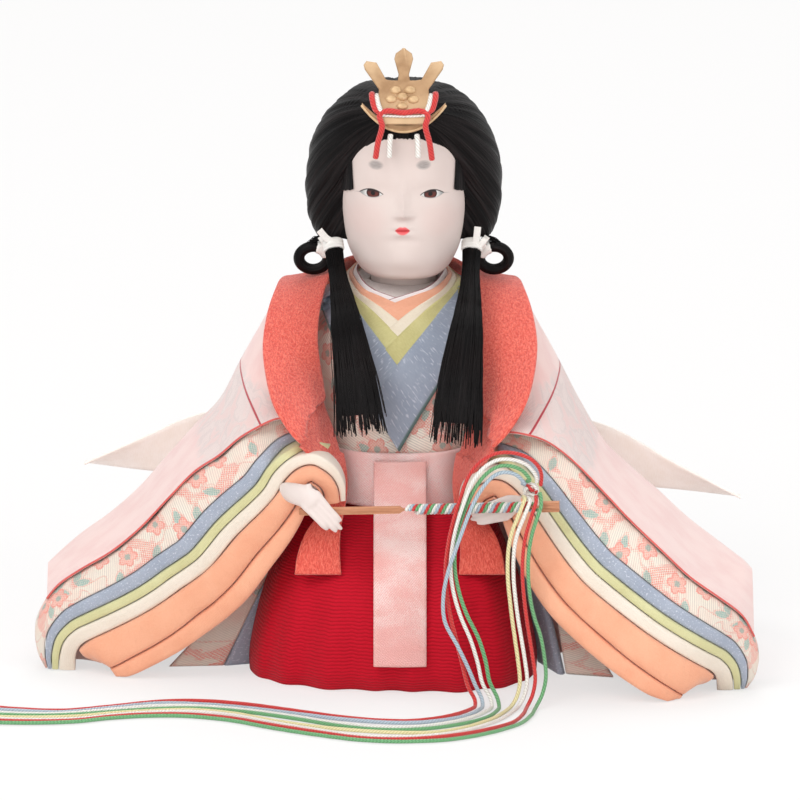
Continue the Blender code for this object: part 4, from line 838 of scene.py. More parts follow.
@dataclass(frozen=True)
class RibbedSilk:
    """Silk woven in fine wavy ribs that run round the piece, with painted shade in the troughs between the
    ribs.
    """

    name: str
    colour: Colour
    deep: Colour
    pitch: float = 1.2

    def make(self) -> Material:
        """Build the material.

        Returns:
            The material.
        """
        recipe = Recipe(self.name, Roughness=0.75, Sheen_Weight=0.05, Specular_IOR_Level=0.15)
        cloth = recipe.cloth()
        across, along, _ = recipe.split(cloth)
        drift = recipe.maths("MULTIPLY_ADD", recipe.maths("SINE", recipe.maths("MULTIPLY", across, 1.5)),
                             0.10,
                             recipe.maths("MULTIPLY", recipe.grain(recipe.cloth(0, (0.6, 0.12)), 0.6, 2.0),
                                          0.9))
        rib = recipe.wave(recipe.maths("ADD", along, drift), self.pitch)
        patch = recipe.grain(cloth, 0.09, 3.0)
        fine = recipe.grain(cloth, 2.5, 2.0)
        # Painted shade: the troughs between ribs take the deep colour; the rest is random tone.
        colour = recipe.mix(recipe.mask(recipe.maths("MULTIPLY_ADD", patch, 0.5, rib), 0.15, 0.9), self.deep,
                            self.colour)
        return recipe.finish(colour, recipe.maths("MULTIPLY_ADD", fine, 0.25, rib), 0.13)


@dataclass(frozen=True)
class Brocade:
    """Pale brocade with scattered five-petalled flowers, leaves and scrolling stems in coloured silk."""

    name: str
    ground: Colour
    hatch: Colour
    flower: Colour
    blush: Colour
    leaf: Colour
    repeat: float = 15.0
    shift: tuple[float, float] = (0.0, 0.0)
    throat: float = 1000.0

    def blossoms(self, recipe: Recipe, cloth: Socket, rough: Socket, repeat: float,
                 size: float, petals: int) -> tuple[Socket, Socket, Socket]:
        """Masks of flowers that stand in the cells of a scattered grid.

        Args:
            recipe: Node tree.
            cloth: Coordinates in millimetres.
            rough: Small change of the outline, in millimetres.
            repeat: Distance of the flowers.
            size: Radius of a flower.
            petals: Number of petals.

        Returns:
            Masks of the petals, their outline and their centre.
        """
        cells = recipe.add("TexVoronoi", {"Vector": cloth, "Scale": 1 / repeat, "Randomness": 0.8},
                           voronoi_dimensions="2D")
        local = recipe.vectors("SUBTRACT", cloth, cells.outputs["Position"])
        x, y, _ = recipe.split(local)
        spin = recipe.maths("MULTIPLY", recipe.split(cells.outputs["Color"])[0], 6.28)
        angle = recipe.maths("ADD", recipe.maths("ARCTAN2", y, x), spin)
        reach = recipe.maths("ADD", recipe.maths("SQRT", recipe.maths("ADD", recipe.maths("MULTIPLY", x, x),
                                                                       recipe.maths("MULTIPLY", y, y))),
                             rough)
        lobes = recipe.maths("ABSOLUTE", recipe.maths("COSINE", recipe.maths("MULTIPLY", angle, petals / 2)))
        rim = recipe.maths("MULTIPLY_ADD", lobes, size * 0.34, size * 0.66)
        inside = recipe.maths("SUBTRACT", reach, rim)
        petal = recipe.mask(inside, 0.15, -0.15)
        outline = recipe.maths("MULTIPLY", petal, recipe.mask(inside, -0.75, -0.45))
        return petal, outline, recipe.mask(reach, size * 0.34, size * 0.22)

    def leaves(self, recipe: Recipe, cloth: Socket,
               rough: Socket) -> tuple[Socket, Socket]:
        """Masks of slim leaves, each turned its own way.

        Args:
            recipe: Node tree.
            cloth: Coordinates in millimetres.
            rough: Small change of the outline.

        Returns:
            Masks of the leaves and of their outline.
        """
        cells = recipe.add("TexVoronoi", {"Vector": cloth, "Scale": 1.55 / self.repeat, "Randomness": 0.9},
                           voronoi_dimensions="2D")
        local = recipe.vectors("SUBTRACT", cloth, cells.outputs["Position"])
        red, green, _ = recipe.split(cells.outputs["Color"])
        turned = recipe.add("VectorRotate", {"Vector": local, "Angle": recipe.maths("MULTIPLY", red, 6.28)},
                            rotation_type="Z_AXIS").outputs["Vector"]
        x, y, _ = recipe.split(turned)
        size = self.repeat * 0.20
        blade = recipe.maths("ADD", recipe.maths("POWER",
                                                 recipe.maths("ABSOLUTE", recipe.maths("DIVIDE", x, size)),
                                                 1.6),
                             recipe.maths("POWER", recipe.maths("ABSOLUTE",
                                                                recipe.maths("DIVIDE", y, size * 0.5)), 1.6))
        blade = recipe.maths("ADD", blade, recipe.maths("MULTIPLY", rough, 0.8))
        some = recipe.mask(green, 0.30, 0.34)
        leaf = recipe.maths("MULTIPLY", recipe.mask(blade, 1.05, 0.9), some)
        outline = recipe.maths("MULTIPLY", recipe.maths("MULTIPLY", recipe.mask(blade, 1.75, 1.6),
                                                        recipe.mask(blade, 1.0, 1.15)), some)
        return leaf, outline

    def make(self) -> Material:
        """Build the material.

        Returns:
            The material.
        """
        recipe = Recipe(self.name, Roughness=0.66, Sheen_Weight=0.25, Specular_IOR_Level=0.3)
        cloth = recipe.vectors("ADD", recipe.cloth(), (*self.shift, 0.0))
        across, along, _ = recipe.split(cloth)
        fine = recipe.grain(cloth, 1.9, 2.0)
        rough = recipe.maths("MULTIPLY", recipe.maths("SUBTRACT", fine, 0.5), 1.5)
        thread = recipe.wave(recipe.maths("MULTIPLY_ADD", across, 0.5, along), 0.85)
        dots = recipe.maths("MULTIPLY", recipe.wave(recipe.maths("ADD", across, along), 1.0),
                            recipe.wave(recipe.maths("SUBTRACT", across, along), 1.0))
        broken = recipe.mask(recipe.maths("MULTIPLY_ADD", dots, 0.9, fine), 0.42, 0.85)
        tint = recipe.mask(recipe.grain(cloth, 0.11, 3.0), 0.35, 0.7)
        ground = recipe.mix(recipe.maths("MULTIPLY",
                                         recipe.mask(recipe.maths("MULTIPLY_ADD", fine, 0.8, thread), 0.80,
                                                     1.25), 0.55),
                            self.ground, self.hatch)
        ground = recipe.mix(recipe.maths("MULTIPLY", tint, 0.35), ground, self.blush)
        stems = recipe.maths("ABSOLUTE", recipe.maths("SUBTRACT",
                                                      recipe.grain(cloth, 1.25 / self.repeat, 1.0, 0.4), 0.5))
        stem = recipe.mask(recipe.maths("MULTIPLY_ADD", rough, 0.006, stems), 0.022, 0.012)
        field = recipe.grain(recipe.vectors("ADD", cloth, (31.0, 17.0, 0.0)), 1.15 / self.repeat, 2.0, 0.7)
        field = recipe.maths("MULTIPLY", recipe.mask(field, 0.55, 0.60), broken)
        colour = recipe.mix(recipe.maths("MULTIPLY", field, 0.85), ground, self.flower)
        colour = recipe.mix(recipe.maths("MULTIPLY", recipe.maths("MULTIPLY", stem, broken), 0.55), colour,
                            self.flower)
        leaf, vein = self.leaves(recipe, cloth, rough)
        colour = recipe.mix(recipe.maths("MULTIPLY", recipe.maths("MULTIPLY", vein, broken), 0.6), colour,
                            self.flower)
        colour = recipe.mix(recipe.maths("MULTIPLY", leaf, recipe.maths("MULTIPLY_ADD", broken, 0.45, 0.40)),
                            colour, self.leaf)
        petal, outline, heart = self.blossoms(recipe, cloth, rough, self.repeat, self.repeat * 0.27, 5)
        colour = recipe.mix(recipe.maths("MULTIPLY", petal, 0.75), colour, self.blush)
        colour = recipe.mix(recipe.maths("MULTIPLY", recipe.maths("MULTIPLY", petal, broken), 0.6), colour,
                            self.flower)
        colour = recipe.mix(recipe.maths("MULTIPLY", outline, 0.6), colour, self.flower)
        colour = recipe.mix(recipe.maths("MULTIPLY", heart, 0.7), colour, self.leaf)
        colour = recipe.mix(recipe.maths("MULTIPLY", recipe.mask(fine, 0.55, 0.72), 0.45), colour,
                            self.ground)
        colour = recipe.mix(recipe.mask(recipe.accent(), 0.45, 0.85), colour, self.flower)
        sideways, _, height = recipe.split(recipe.place())
        above = recipe.maths("MULTIPLY", recipe.mask(height, self.throat, self.throat + 0.6),
                             recipe.mask(recipe.maths("ABSOLUTE", sideways), 14.0, 12.5))
        colour = recipe.mix(above, colour, (0.82, 0.74, 0.71))
        raised = recipe.maths("MAXIMUM", recipe.maths("MAXIMUM", petal, leaf), stem)
        height = recipe.maths("MULTIPLY_ADD", raised, 0.5, recipe.maths("MULTIPLY_ADD", thread, 0.4, fine))
        return recipe.finish(colour, height, 0.10)


@dataclass(frozen=True)
class Weave:
    """Sash cloth with slanted floats of pale thread in broken diagonal bands."""

    name: str
    colour: Colour
    light: Colour
    deep: Colour

    def make(self) -> Material:
        """Build the material.

        Returns:
            The material.
        """
        recipe = Recipe(self.name, Roughness=0.6, Sheen_Weight=0.3, Specular_IOR_Level=0.3)
        cloth = recipe.cloth()
        slant, cross, _ = recipe.split(recipe.cloth(38))
        fine = recipe.grain(cloth, 1.8, 2.0)
        floats = recipe.wave(recipe.maths("MULTIPLY_ADD", fine, 0.6, slant), 0.62)
        picks = recipe.wave(cross, 0.7)
        mottle = recipe.grain(recipe.cloth(0, (0.6, 1.0)), 0.10, 4.0, 0.5)
        tone = recipe.maths("MULTIPLY_ADD", floats, 0.22, recipe.maths("MULTIPLY_ADD", fine, 0.25, mottle))
        colour = recipe.mix(recipe.mask(tone, 0.95, 0.58), self.light, self.colour)
        colour = recipe.mix(recipe.maths("MULTIPLY", recipe.mask(recipe.grain(cloth, 0.9, 3.0), 0.60, 0.72),
                                         0.5), colour, self.deep)
        colour = recipe.mix(recipe.maths("MULTIPLY", recipe.mask(recipe.accent(), 0.45, 0.85), 0.75), colour,
                            self.colour)
        return recipe.finish(colour, recipe.maths("MULTIPLY_ADD", floats, 0.8, picks), 0.09)


@dataclass(frozen=True)
class HairSilk:
    """Combed black silk hair, streaked along its length; the lighter streaks are partly strand tone and
    partly painted sheen on the combed clumps.
    """

    name: str = "hair_silk"
    colour: Colour = (0.002, 0.0015, 0.0017)
    light: Colour = (0.022, 0.017, 0.017)

    def make(self) -> Material:
        """Build the material.

        Returns:
            The material.
        """
        recipe = Recipe(self.name, Roughness=0.45, Specular_IOR_Level=0.11)
        streaks = recipe.grain(recipe.cloth(0, (1.0, 0.03)), 1.9, 3.0)
        broad = recipe.grain(recipe.cloth(0, (1.0, 0.05)), 0.35, 2.0)
        tone = recipe.maths("MULTIPLY_ADD", broad, 0.5, recipe.maths("MULTIPLY", streaks, 0.5))
        # Lighter streaks: strand tone and painted sheen in one.
        colour = recipe.mix(recipe.mask(tone, 0.42, 0.72), self.colour, self.light)
        height = recipe.maths("MULTIPLY_ADD", broad, 0.6, streaks)
        return recipe.finish(colour, height, 0.42,
                             roughness=recipe.maths("MULTIPLY_ADD", streaks, 0.25, 0.28))


@dataclass(frozen=True)
class Paper:
    """Stiff paper or sized ribbon with fine fibres."""

    name: str
    colour: Colour
    shade: Colour

    def make(self) -> Material:
        """Build the material.

        Returns:
            The material.
        """
        recipe = Recipe(self.name, Roughness=0.72, Specular_IOR_Level=0.25, Sheen_Weight=0.15)
        fibres = recipe.grain(recipe.cloth(12, (0.25, 2.4)), 1.4, 3.0)
        patch = recipe.grain(recipe.cloth(), 0.12, 2.0)
        colour = recipe.mix(recipe.mask(recipe.maths("MULTIPLY_ADD", fibres, 0.4,
                                                     recipe.maths("MULTIPLY", patch, 0.6)), 0.35, 0.7),
                            self.colour, self.shade)
        return recipe.finish(colour, fibres, 0.08)


@dataclass(frozen=True)
class TwistedCord:
    """Round silk cord whose plies show as slanted lines, with painted shade in the grooves between plies."""

    name: str
    colour: Colour
    deep: Colour
    ply: float = 1.1

    def make(self) -> Material:
        """Build the material.

        Returns:
            The material.
        """
        recipe = Recipe(self.name, Roughness=0.5, Sheen_Weight=0.3, Specular_IOR_Level=0.4)
        across, along, _ = recipe.split(recipe.cloth())
        ply = recipe.wave(recipe.maths("ADD", across, along), self.ply)
        fine = recipe.grain(recipe.cloth(45, (3.0, 0.8)), 2.0, 2.0)
        # Painted shade: the grooves between plies take the deep colour.
        colour = recipe.mix(recipe.mask(recipe.maths("MULTIPLY_ADD", fine, 0.5, ply), 0.15, 0.8), self.deep,
                            self.colour)
        return recipe.finish(colour, recipe.maths("MULTIPLY_ADD", fine, 0.4, ply), 0.12)


@dataclass(frozen=True)
class Gilt:
    """Soft gilt brass with a brushed surface, darker patches and a lighter colour on sharply convex edges."""

    name: str = "gilt_brass"
    colour: Colour = (0.47, 0.285, 0.15)
    deep: Colour = (0.34, 0.19, 0.09)

    def make(self) -> Material:
        """Build the material.

        Returns:
            The material.
        """
        recipe = Recipe(self.name, Metallic=0.35, Specular_IOR_Level=0.5)
        place = recipe.place()
        brushed = recipe.grain(recipe.place((0.3, 1.0, 3.0)), 1.6, 3.0)
        patch = recipe.grain(place, 0.25, 3.0)
        edge = recipe.add("NewGeometry", {}).outputs["Pointiness"]
        colour = recipe.mix(recipe.mask(patch, 0.35, 0.75), self.colour, self.deep)
        colour = recipe.mix(recipe.maths("MULTIPLY", recipe.mask(edge, 0.52, 0.60), 0.5), colour,
                            (0.85, 0.62, 0.38))
        return recipe.finish(colour, brushed, 0.03,
                             roughness=recipe.maths("MULTIPLY_ADD", brushed, 0.2, 0.34))


@dataclass(frozen=True)
class Timber:
    """Pale smoothed wood with grain along X."""

    name: str
    colour: Colour
    deep: Colour
    stretch: tuple[float, float, float] = (0.05, 0.9, 0.9)

    def make(self) -> Material:
        """Build the material.

        Returns:
            The material.
        """
        recipe = Recipe(self.name, Roughness=0.55, Specular_IOR_Level=0.35)
        rings = recipe.grain(recipe.place(self.stretch), 0.9, 4.0, 0.8)
        pores = recipe.grain(recipe.place((0.1, 2.0, 2.0)), 2.2, 2.0)
        tone = recipe.maths("MULTIPLY_ADD", pores, 0.35, recipe.maths("MULTIPLY", rings, 0.65))
        colour = recipe.mix(recipe.mask(tone, 0.38, 0.66), self.colour, self.deep)
        return recipe.finish(colour, tone, 0.06)


@dataclass(frozen=True)
class Straw:
    """Bound straw of the body's core."""

    name: str = "straw"
    colour: Colour = (0.68, 0.54, 0.28)
    deep: Colour = (0.34, 0.24, 0.10)

    def make(self) -> Material:
        """Build the material.

        Returns:
            The material.
        """
        recipe = Recipe(self.name, Roughness=0.85)
        stalks = recipe.grain(recipe.place((1.0, 1.0, 0.04)), 0.9, 3.0)
        colour = recipe.mix(recipe.mask(stalks, 0.35, 0.65), self.deep, self.colour)
        return recipe.finish(colour, stalks, 0.6)


# Studio


@dataclass
class Studio:
    """Floor, lamps, background and camera."""

    aim: tuple[float, float, float] = (0.0, 0.0, 79.5)
    elevation: float = 13.0
    distance: float = 9000.0
    pixels_per_mm: float = 3.125
    floor_half: float = 6000.0
    floor_colour: Colour = (0.86, 0.85, 0.85)

    def camera(self) -> None:
        """Set the camera at the photograph's angle."""
        rise = math.radians(self.elevation)
        back = Vector((0, -math.cos(rise), math.sin(rise)))
        data = bpy.data.cameras.new("camera")
        data.sensor_width = 36
        data.lens = 36 * self.pixels_per_mm * self.distance / 800
        data.clip_start, data.clip_end = 0.05, 60
        camera = bpy.data.objects.new("camera", data)
        camera.location = (Vector(self.aim) + back * self.distance) * MM
        camera.rotation_euler = back.to_track_quat("Z", "Y").to_euler()
        bpy.context.scene.collection.objects.link(camera)
        bpy.context.scene.camera = camera

    def floor(self) -> None:
        """Lay the plain pale floor, which stays nearly white to the camera and keeps the shadow."""
        mesh = bmesh.new()
        bmesh.ops.create_grid(mesh, x_segments=2, y_segments=2, size=self.floor_half * MM)
        data = bpy.data.meshes.new("studio_floor")
        mesh.to_mesh(data)
        mesh.free()
        recipe = Recipe("studio_paper", Roughness=0.9, Specular_IOR_Level=0.1)
        fibre = recipe.grain(recipe.place(), 0.02, 2.0)
        colour = recipe.mix(fibre, self.floor_colour, tuple(share * 0.99 for share in self.floor_colour))
        recipe.links.new(colour, recipe.shader.inputs["Base Color"])
        rays = recipe.add("LightPath", {})
        seen = recipe.maths("MAXIMUM", rays.outputs["Is Camera Ray"], rays.outputs["Is Glossy Ray"])
        seen = recipe.maths("MAXIMUM", seen, rays.outputs["Is Transmission Ray"])
        glow = recipe.add("Emission", {"Color": (1.0, 0.995, 0.99, 1.0), "Strength": 1.0})
        blend = recipe.add("MixShader", {0: recipe.maths("MULTIPLY", seen, 0.62), 1: recipe.shader.outputs[0],
                                         2: glow.outputs[0]})
        recipe.links.new(blend.outputs[0], recipe.nodes["Material Output"].inputs["Surface"])
        data.materials.append(recipe.material)
        floor = bpy.data.objects.new("studio_floor", data)
        bpy.context.scene.collection.objects.link(floor)

    def lamp(self, name: str, place: Sequence[float], size: float, power: float) -> None:
        """Add one soft lamp that points at the doll.

        Args:
            name: Name of the lamp.
            place: Place in metres.
            size: Width in metres.
            power: Power in watts.
        """
        data = bpy.data.lights.new(name, "AREA")
        data.shape, data.size, data.energy = "DISK", size, power
        lamp = bpy.data.objects.new(name, data)
        lamp.location = place
        lamp.rotation_euler = (Vector(place) - Vector((0, 0, 0.08))).to_track_quat("Z", "Y").to_euler()
        bpy.context.scene.collection.objects.link(lamp)

    def light(self) -> None:
        """Set the lamps and the pale surroundings."""
        self.lamp("lamp_key", (-1.1, -1.5, 1.9), 1.4, 23)
        self.lamp("lamp_fill", (1.7, -1.4, 1.0), 1.6, 11)
        self.lamp("lamp_front", (-0.2, -2.0, 0.45), 1.5, 11)
        self.lamp("lamp_top", (0.1, 0.9, 2.1), 1.5, 17)
        world = bpy.data.worlds.new("studio_world")
        world.use_nodes = True
        tree = world.node_tree
        background = tree.nodes["Background"]
        background.inputs["Color"].default_value = (1.0, 1.0, 1.0, 1.0)
        rays = tree.nodes.new("ShaderNodeLightPath")
        seen = tree.nodes.new("ShaderNodeMath")
        seen.operation = "MAXIMUM"
        tree.links.new(rays.outputs["Is Camera Ray"], seen.inputs[0])
        tree.links.new(rays.outputs["Is Transmission Ray"], seen.inputs[1])
        level = tree.nodes.new("ShaderNodeMapRange")
        level.inputs["To Min"].default_value = 0.62
        level.inputs["To Max"].default_value = 1.0
        tree.links.new(seen.outputs[0], level.inputs["Value"])
        tree.links.new(level.outputs["Result"], background.inputs["Strength"])
        bpy.context.scene.world = world
        bpy.context.scene.view_settings.view_transform = "Standard"

    def build(self) -> None:
        """Build the studio."""
        self.camera()
        self.floor()
        self.light()


# Fan: slats, winding, knot and loose cords


# The second colour of each cord is painted shade for the grooves between its plies.
CORD_COLOURS: dict[str, tuple[Colour, Colour]] = {
    "red": ((0.66, 0.035, 0.03), (0.38, 0.01, 0.01)),
    "white": ((0.86, 0.84, 0.79), (0.60, 0.56, 0.50)),
    "green": ((0.16, 0.42, 0.18), (0.06, 0.20, 0.08)),
    "blue": ((0.44, 0.53, 0.60), (0.24, 0.31, 0.38)),
    "yellow": ((0.80, 0.72, 0.40), (0.55, 0.46, 0.20)),
}


@dataclass
class Fan:
    """Closed fan of thin slats, bound with coloured cords whose loose ends trail over the floor."""

    start: tuple[float, float, float] = (-32.0, -71.5, 59.6)
    run: tuple[float, float, float] = (83.0, -8.0, 3.6)
    half_height: float = 1.1
    length: float = 83.0
    wound_share: float = 0.93
    wound_length: float = 44.0
    core_reach: float = 0.7
    wire: float = 1.1
    coil_pitch: float = 4.4
    knot_radius: float = 3.0
    cord: float = 1.3
    gap: float = 0.35
    hem_lift: float = 0.2
    drops: dict = field(default_factory=lambda: {
        "a": ((42.0, -81.0, 73.2), (38.6, -82.4, 77.0), (32.0, -83.4, 78.4), (25.6, -84.4, 74.6),
              (21.0, -85.0, 66.0),
              (17.4, -84.6, 54.0), (16.4, -84.4, 42.0), (18.4, -85.0, 30.0), (22.4, -86.4, 18.0),
              (25.0, -89.0, 7.6)),
        "b": ((42.2, -83.8, 65.4), (40.4, -85.2, 60.6), (38.2, -85.0, 53.0), (37.8, -84.6, 43.0),
              (38.6, -84.6, 31.0),
              (40.6, -85.4, 20.0), (42.4, -88.0, 8.0)),
    })
    inner_floor: tuple = ((24.0, -92.0), (17.0, -103.0), (4.0, -111.0), (-14.0, -108.0), (-34.0, -97.0),
                          (-58.0, -85.0), (-80.0, -86.0), (-104.0, -96.0), (-128.0, -93.0), (-150.0, -82.0))
    outer_floor: tuple = ((43.0, -94.0), (38.0, -115.0), (18.0, -135.0), (-8.0, -138.0), (-34.0, -125.0),
                          (-60.0, -107.0), (-84.0, -105.0), (-106.0, -113.0), (-130.0, -113.0),
                          (-150.0, -106.0))
    across_drop: dict = field(default_factory=lambda: {
        "red_a": (-2.6, -2.6, -2.5, -2.4, -1.6, -1.3, -1.5, -2.0, -2.8, -2.7),
        "blue_a": (2.6, 2.6, 2.5, 2.3, 1.7, 1.0, -1.2, -3.6, -2.2, -0.9),
        "white_a": (-0.9, -0.9, -0.9, -0.8, -0.5, -0.3, -0.2, 0.3, 0.9, 0.9),
        "green_a": (0.9, 0.9, 0.8, 0.8, 0.5, 0.4, 0.9, 1.8, 2.9, 2.7),
        "yellow_b": (-2.2, -2.3, -2.6, -2.8, -2.6, -3.0, -3.4),
        "white_b": (-0.8, -0.9, -1.2, -1.4, -1.2, -1.4, -1.6),
        "red_b": (0.7, 0.8, 1.0, 0.8, 0.9, 0.6, 0.4),
        "green_b": (2.1, 2.2, 2.4, 2.2, 2.5, 3.4, 3.0),
    })
    forward_of_drop: dict = field(default_factory=lambda: {
        "blue_a": (0.0, 0.0, 0.0, 0.3, 0.9, 2.4, 2.4, 1.4, 1.8, 0.2),
        "white_a": (0.0, 0.2, 0.3, 0.5, 0.9, 0.9, 0.8, 0.4, 0.2, 0.0),
        "green_a": (0.0, 0.0, 0.0, 0.0, -0.2, -0.3, -0.2, 0.0, 0.0, 0.0),
    })
    floor_lanes: tuple = (
        (0.00, 0.12, 0.28, 0.40, 0.58, 0.70, 0.85, 1.00), (0.00, 0.16, 0.27, 0.44, 0.55, 0.66, 0.88, 1.00),
        (0.00, 0.10, 0.30, 0.42, 0.62, 0.74, 0.84, 1.00), (0.00, 0.09, 0.35, 0.46, 0.56, 0.80, 0.90, 1.00),
        (0.00, 0.14, 0.28, 0.38, 0.64, 0.75, 0.86, 1.00), (0.00, 0.22, 0.34, 0.46, 0.58, 0.69, 0.88, 1.00),
        (0.00, 0.11, 0.30, 0.52, 0.64, 0.76, 0.88, 1.00), (0.05, 0.18, 0.30, 0.42, 0.56, 0.76, 0.88, 1.00),
        (0.00, 0.12, 0.34, 0.46, 0.62, 0.74, 0.86, 1.00), (0.00, 0.22, 0.36, 0.48, 0.60, 0.78, 0.90, 1.00),
    )

    def __post_init__(self) -> None:
        """Work out the fan's directions and the knot's place."""
        self.along = Vector(self.run).normalized()
        self.side = self.along.cross(Vector((0, 0, 1))).normalized()
        self.rise = self.side.cross(self.along)
        seat = 0.45 + 0.25 + 0.8 + 0.8 + self.gap + self.knot_radius
        self.knot = (Vector(self.start) + self.along * (self.wound_share * self.length - self.knot_radius)
                     + self.rise * seat) * MM
        self.finishes = {colour: TwistedCord(f"cord_{colour}", *tones).make() for colour,
                         tones in CORD_COLOURS.items()}

    def route(self, name: str, lane: int) -> Row:
        """Course of one loose cord, down from the knot and off over the floor.

        Args:
            name: Its colour and the bundle that it falls in.
            lane: Its lane on the floor, from 0 to 7.

        Returns:
            Places of the cord in metres.
        """
        low = (self.cord / 2 + self.hem_lift) * MM
        back = Vector((0, 1, 0))
        across_drop = self.across_drop[name]
        drop = [Vector(point) * MM for point in self.drops[name[-1]]]
        forward = self.forward_of_drop.get(name, (0,) * len(drop))
        leave = (drop[0] - self.knot).normalized()
        across = leave.cross(back).normalized()
        first = (leave * self.knot_radius * 1.1 + across * across_drop[0] * self.cord * 1.3).normalized()
        points = [self.knot + first * (self.knot_radius + self.gap * 2) * MM]
        last = len(drop) - 1
        for index, point in enumerate(drop):
            along = drop[min(index + 1, last)] - drop[max(index - 1, 0)]
            beside = along.cross(back).normalized() * across_drop[index] - back * forward[index]
            points.append(point + beside * self.cord * MM)
        for inner, outer, shares in zip(self.inner_floor, self.outer_floor, self.floor_lanes):
            flat = Vector((*inner, 0)).lerp(Vector((*outer, 0)), shares[lane]) * MM
            points.append(Vector((flat.x, flat.y, low)))
        fine = smooth(smooth(points, 33), 297)
        for point in fine:
            point.z = max(point.z, low)
        return fine

    def end_knot(self, name: str, path: Row, finish: Material) -> bpy.types.Object:
        """Small overhand knot with a short frayed end.

        Args:
            name: Name of the knot.
            path: Course of its cord.
            finish: Material of its cord.

        Returns:
            The knot.
        """
        along = (path[-1] - path[-4]).normalized()
        middle = path[-1] + along * 0.9 * MM
        wide, deep = frames_along([middle - along * MM, middle + along * MM], Vector((0, 0, 1)))[0]
        loop = []
        for step in range(41):
            turn = 2 * math.pi * step / 40
            reach = (1.0 + 0.35 * math.cos(3 * turn)) * self.cord * 0.52 * MM
            loop.append(middle + wide * reach * math.cos(2 * turn) + along * reach * 0.9 * math.sin(2 * turn)
                        + deep * self.cord * 0.30 * MM * math.sin(3 * turn))
        lowest = min(point.z for point in loop) - self.cord * 0.42 * MM
        lift = Vector((0, 0, max(self.hem_lift * MM - lowest, 0.0)))
        mesh = laid(rolled([point + lift for point in loop], self.cord * 0.42 * MM, 8), ring=True)
        return shown(mesh, name, finish, Body.FAN)

    def loose_cords(self) -> None:
        """Lay the eight loose cords, each ending in its knot."""
        for lane, ends in enumerate(self.across_drop):
            name, colour = f"cord_{ends}", ends[:-2]
            path = self.route(ends, lane)
            rings = rolled(path, self.cord / 2 * MM, 10, plies=3, twist=4.2 * MM)
            cord = shown(laid(rings, ring=True), f"silk_{name}", self.finishes[colour], Body.FAN, [name])
            knot = self.end_knot(f"end_{name}", path, self.finishes[colour])

    def slats(self, finish: Material) -> None:
        """Stack of thin slats, fuller at the left end and at the square head.

        Args:
            finish: Wood of the fan.
        """
        mesh = bmesh.new()
        start = Vector(self.start)
        wound_end = self.wound_share * self.length
        wound_start = wound_end - self.wound_length
        stations = ((0.0, 0.80), (1.2, 1.0), (wound_start - 1.1, 1.0), (wound_start, 0.36), (wound_end, 0.36),
                    (wound_end + self.gap, 1.42), (self.length, 1.42))
        count = 7
        for number in range(count):
            level = 2 * (number + 0.5) / count - 1
            rings = []
            for place, grow in stations:
                middle = start + self.along * place + self.rise * level * self.half_height * grow
                half = self.half_height * grow * 0.80 / count
                wide = self.half_height * grow * (0.98 if number in (0, count - 1) else 0.90)
                rings.append([(middle + self.side * wide * a + self.rise * half * b) * MM
                              for a, b in ((-1, -0.8), (-0.9, -1), (0.9, -1), (1, -0.8), (1, 0.8), (0.9, 1),
                                           (-0.9, 1), (-1, 0.8))])
            part = laid(rings, ring=True)
            data = bpy.data.meshes.new("slat")
            part.to_mesh(data)
            part.free()
            mesh.from_mesh(data)
            bpy.data.meshes.remove(data)
        shown(mesh, "fan_of_slats", finish, Body.FAN, ["fan_slats"], crease=30)

    def winding(self) -> None:
        """Wind four coloured cords side by side round the slats."""
        start = Vector(self.start)
        wound_end = self.wound_share * self.length
        first = wound_end - self.wound_length + self.wire
        turns = (self.wound_length - 2 * self.wire - self.coil_pitch * 0.75) / self.coil_pitch
        steps = int(turns * 22)
        for number, colour in enumerate(("white", "blue", "red", "green")):
            coil = []
            for step in range(steps + 1):
                turn = 2 * math.pi * turns * step / steps
                place = first + self.coil_pitch * (turns * step / steps + number * 0.25)
                reach = self.core_reach + self.wire / 2
                coil.append((start + self.along * place + self.side * reach * 1.05 * math.cos(turn)
                             + self.rise * reach * math.sin(turn)) * MM)
            mesh = laid(rolled(coil, self.wire / 2 * MM, 8, plies=2, twist=3.0 * MM), ring=True)
            stands = ["fan_winding"] if colour == "white" else []
            shown(mesh, f"fan_winding_{colour}", self.finishes[colour], Body.FAN, stands)

    def bow_knot(self) -> None:
        """Tie the round knot that the loose cords leave."""
        for number, (colour, size, turn_about) in enumerate((("white", 1.0, 0.0), ("white", 0.96, 1.1),
                                                             ("red", 0.9, 2.2))):
            loop = []
            for step in range(81):
                turn = 2 * math.pi * step / 80
                reach = (2.0 + 0.55 * math.cos(3 * turn)) * size
                local = Vector((reach * math.cos(2 * turn), 0.9 * math.sin(3 * turn),
                                reach * math.sin(2 * turn)))
                local = Matrix.Rotation(turn_about, 3, (0.5, 1.0, 0.2)) @ local
                loop.append(self.knot + local * 0.86 * MM)
            mesh = laid(rolled(loop, 0.55 * MM, 8, plies=3, twist=3.2 * MM), ring=True)
            shown(mesh, f"fan_knot_{number}", self.finishes[colour], Body.FAN,
                  ["fan_knot"] if number == 0 else [])

    def build(self) -> None:
        """Build the fan."""
        self.loose_cords()
        self.slats(Timber("fan_wood", (0.67, 0.32, 0.18), (0.52, 0.22, 0.11)).make())
        self.winding()
        self.bow_knot()


# Sleeves


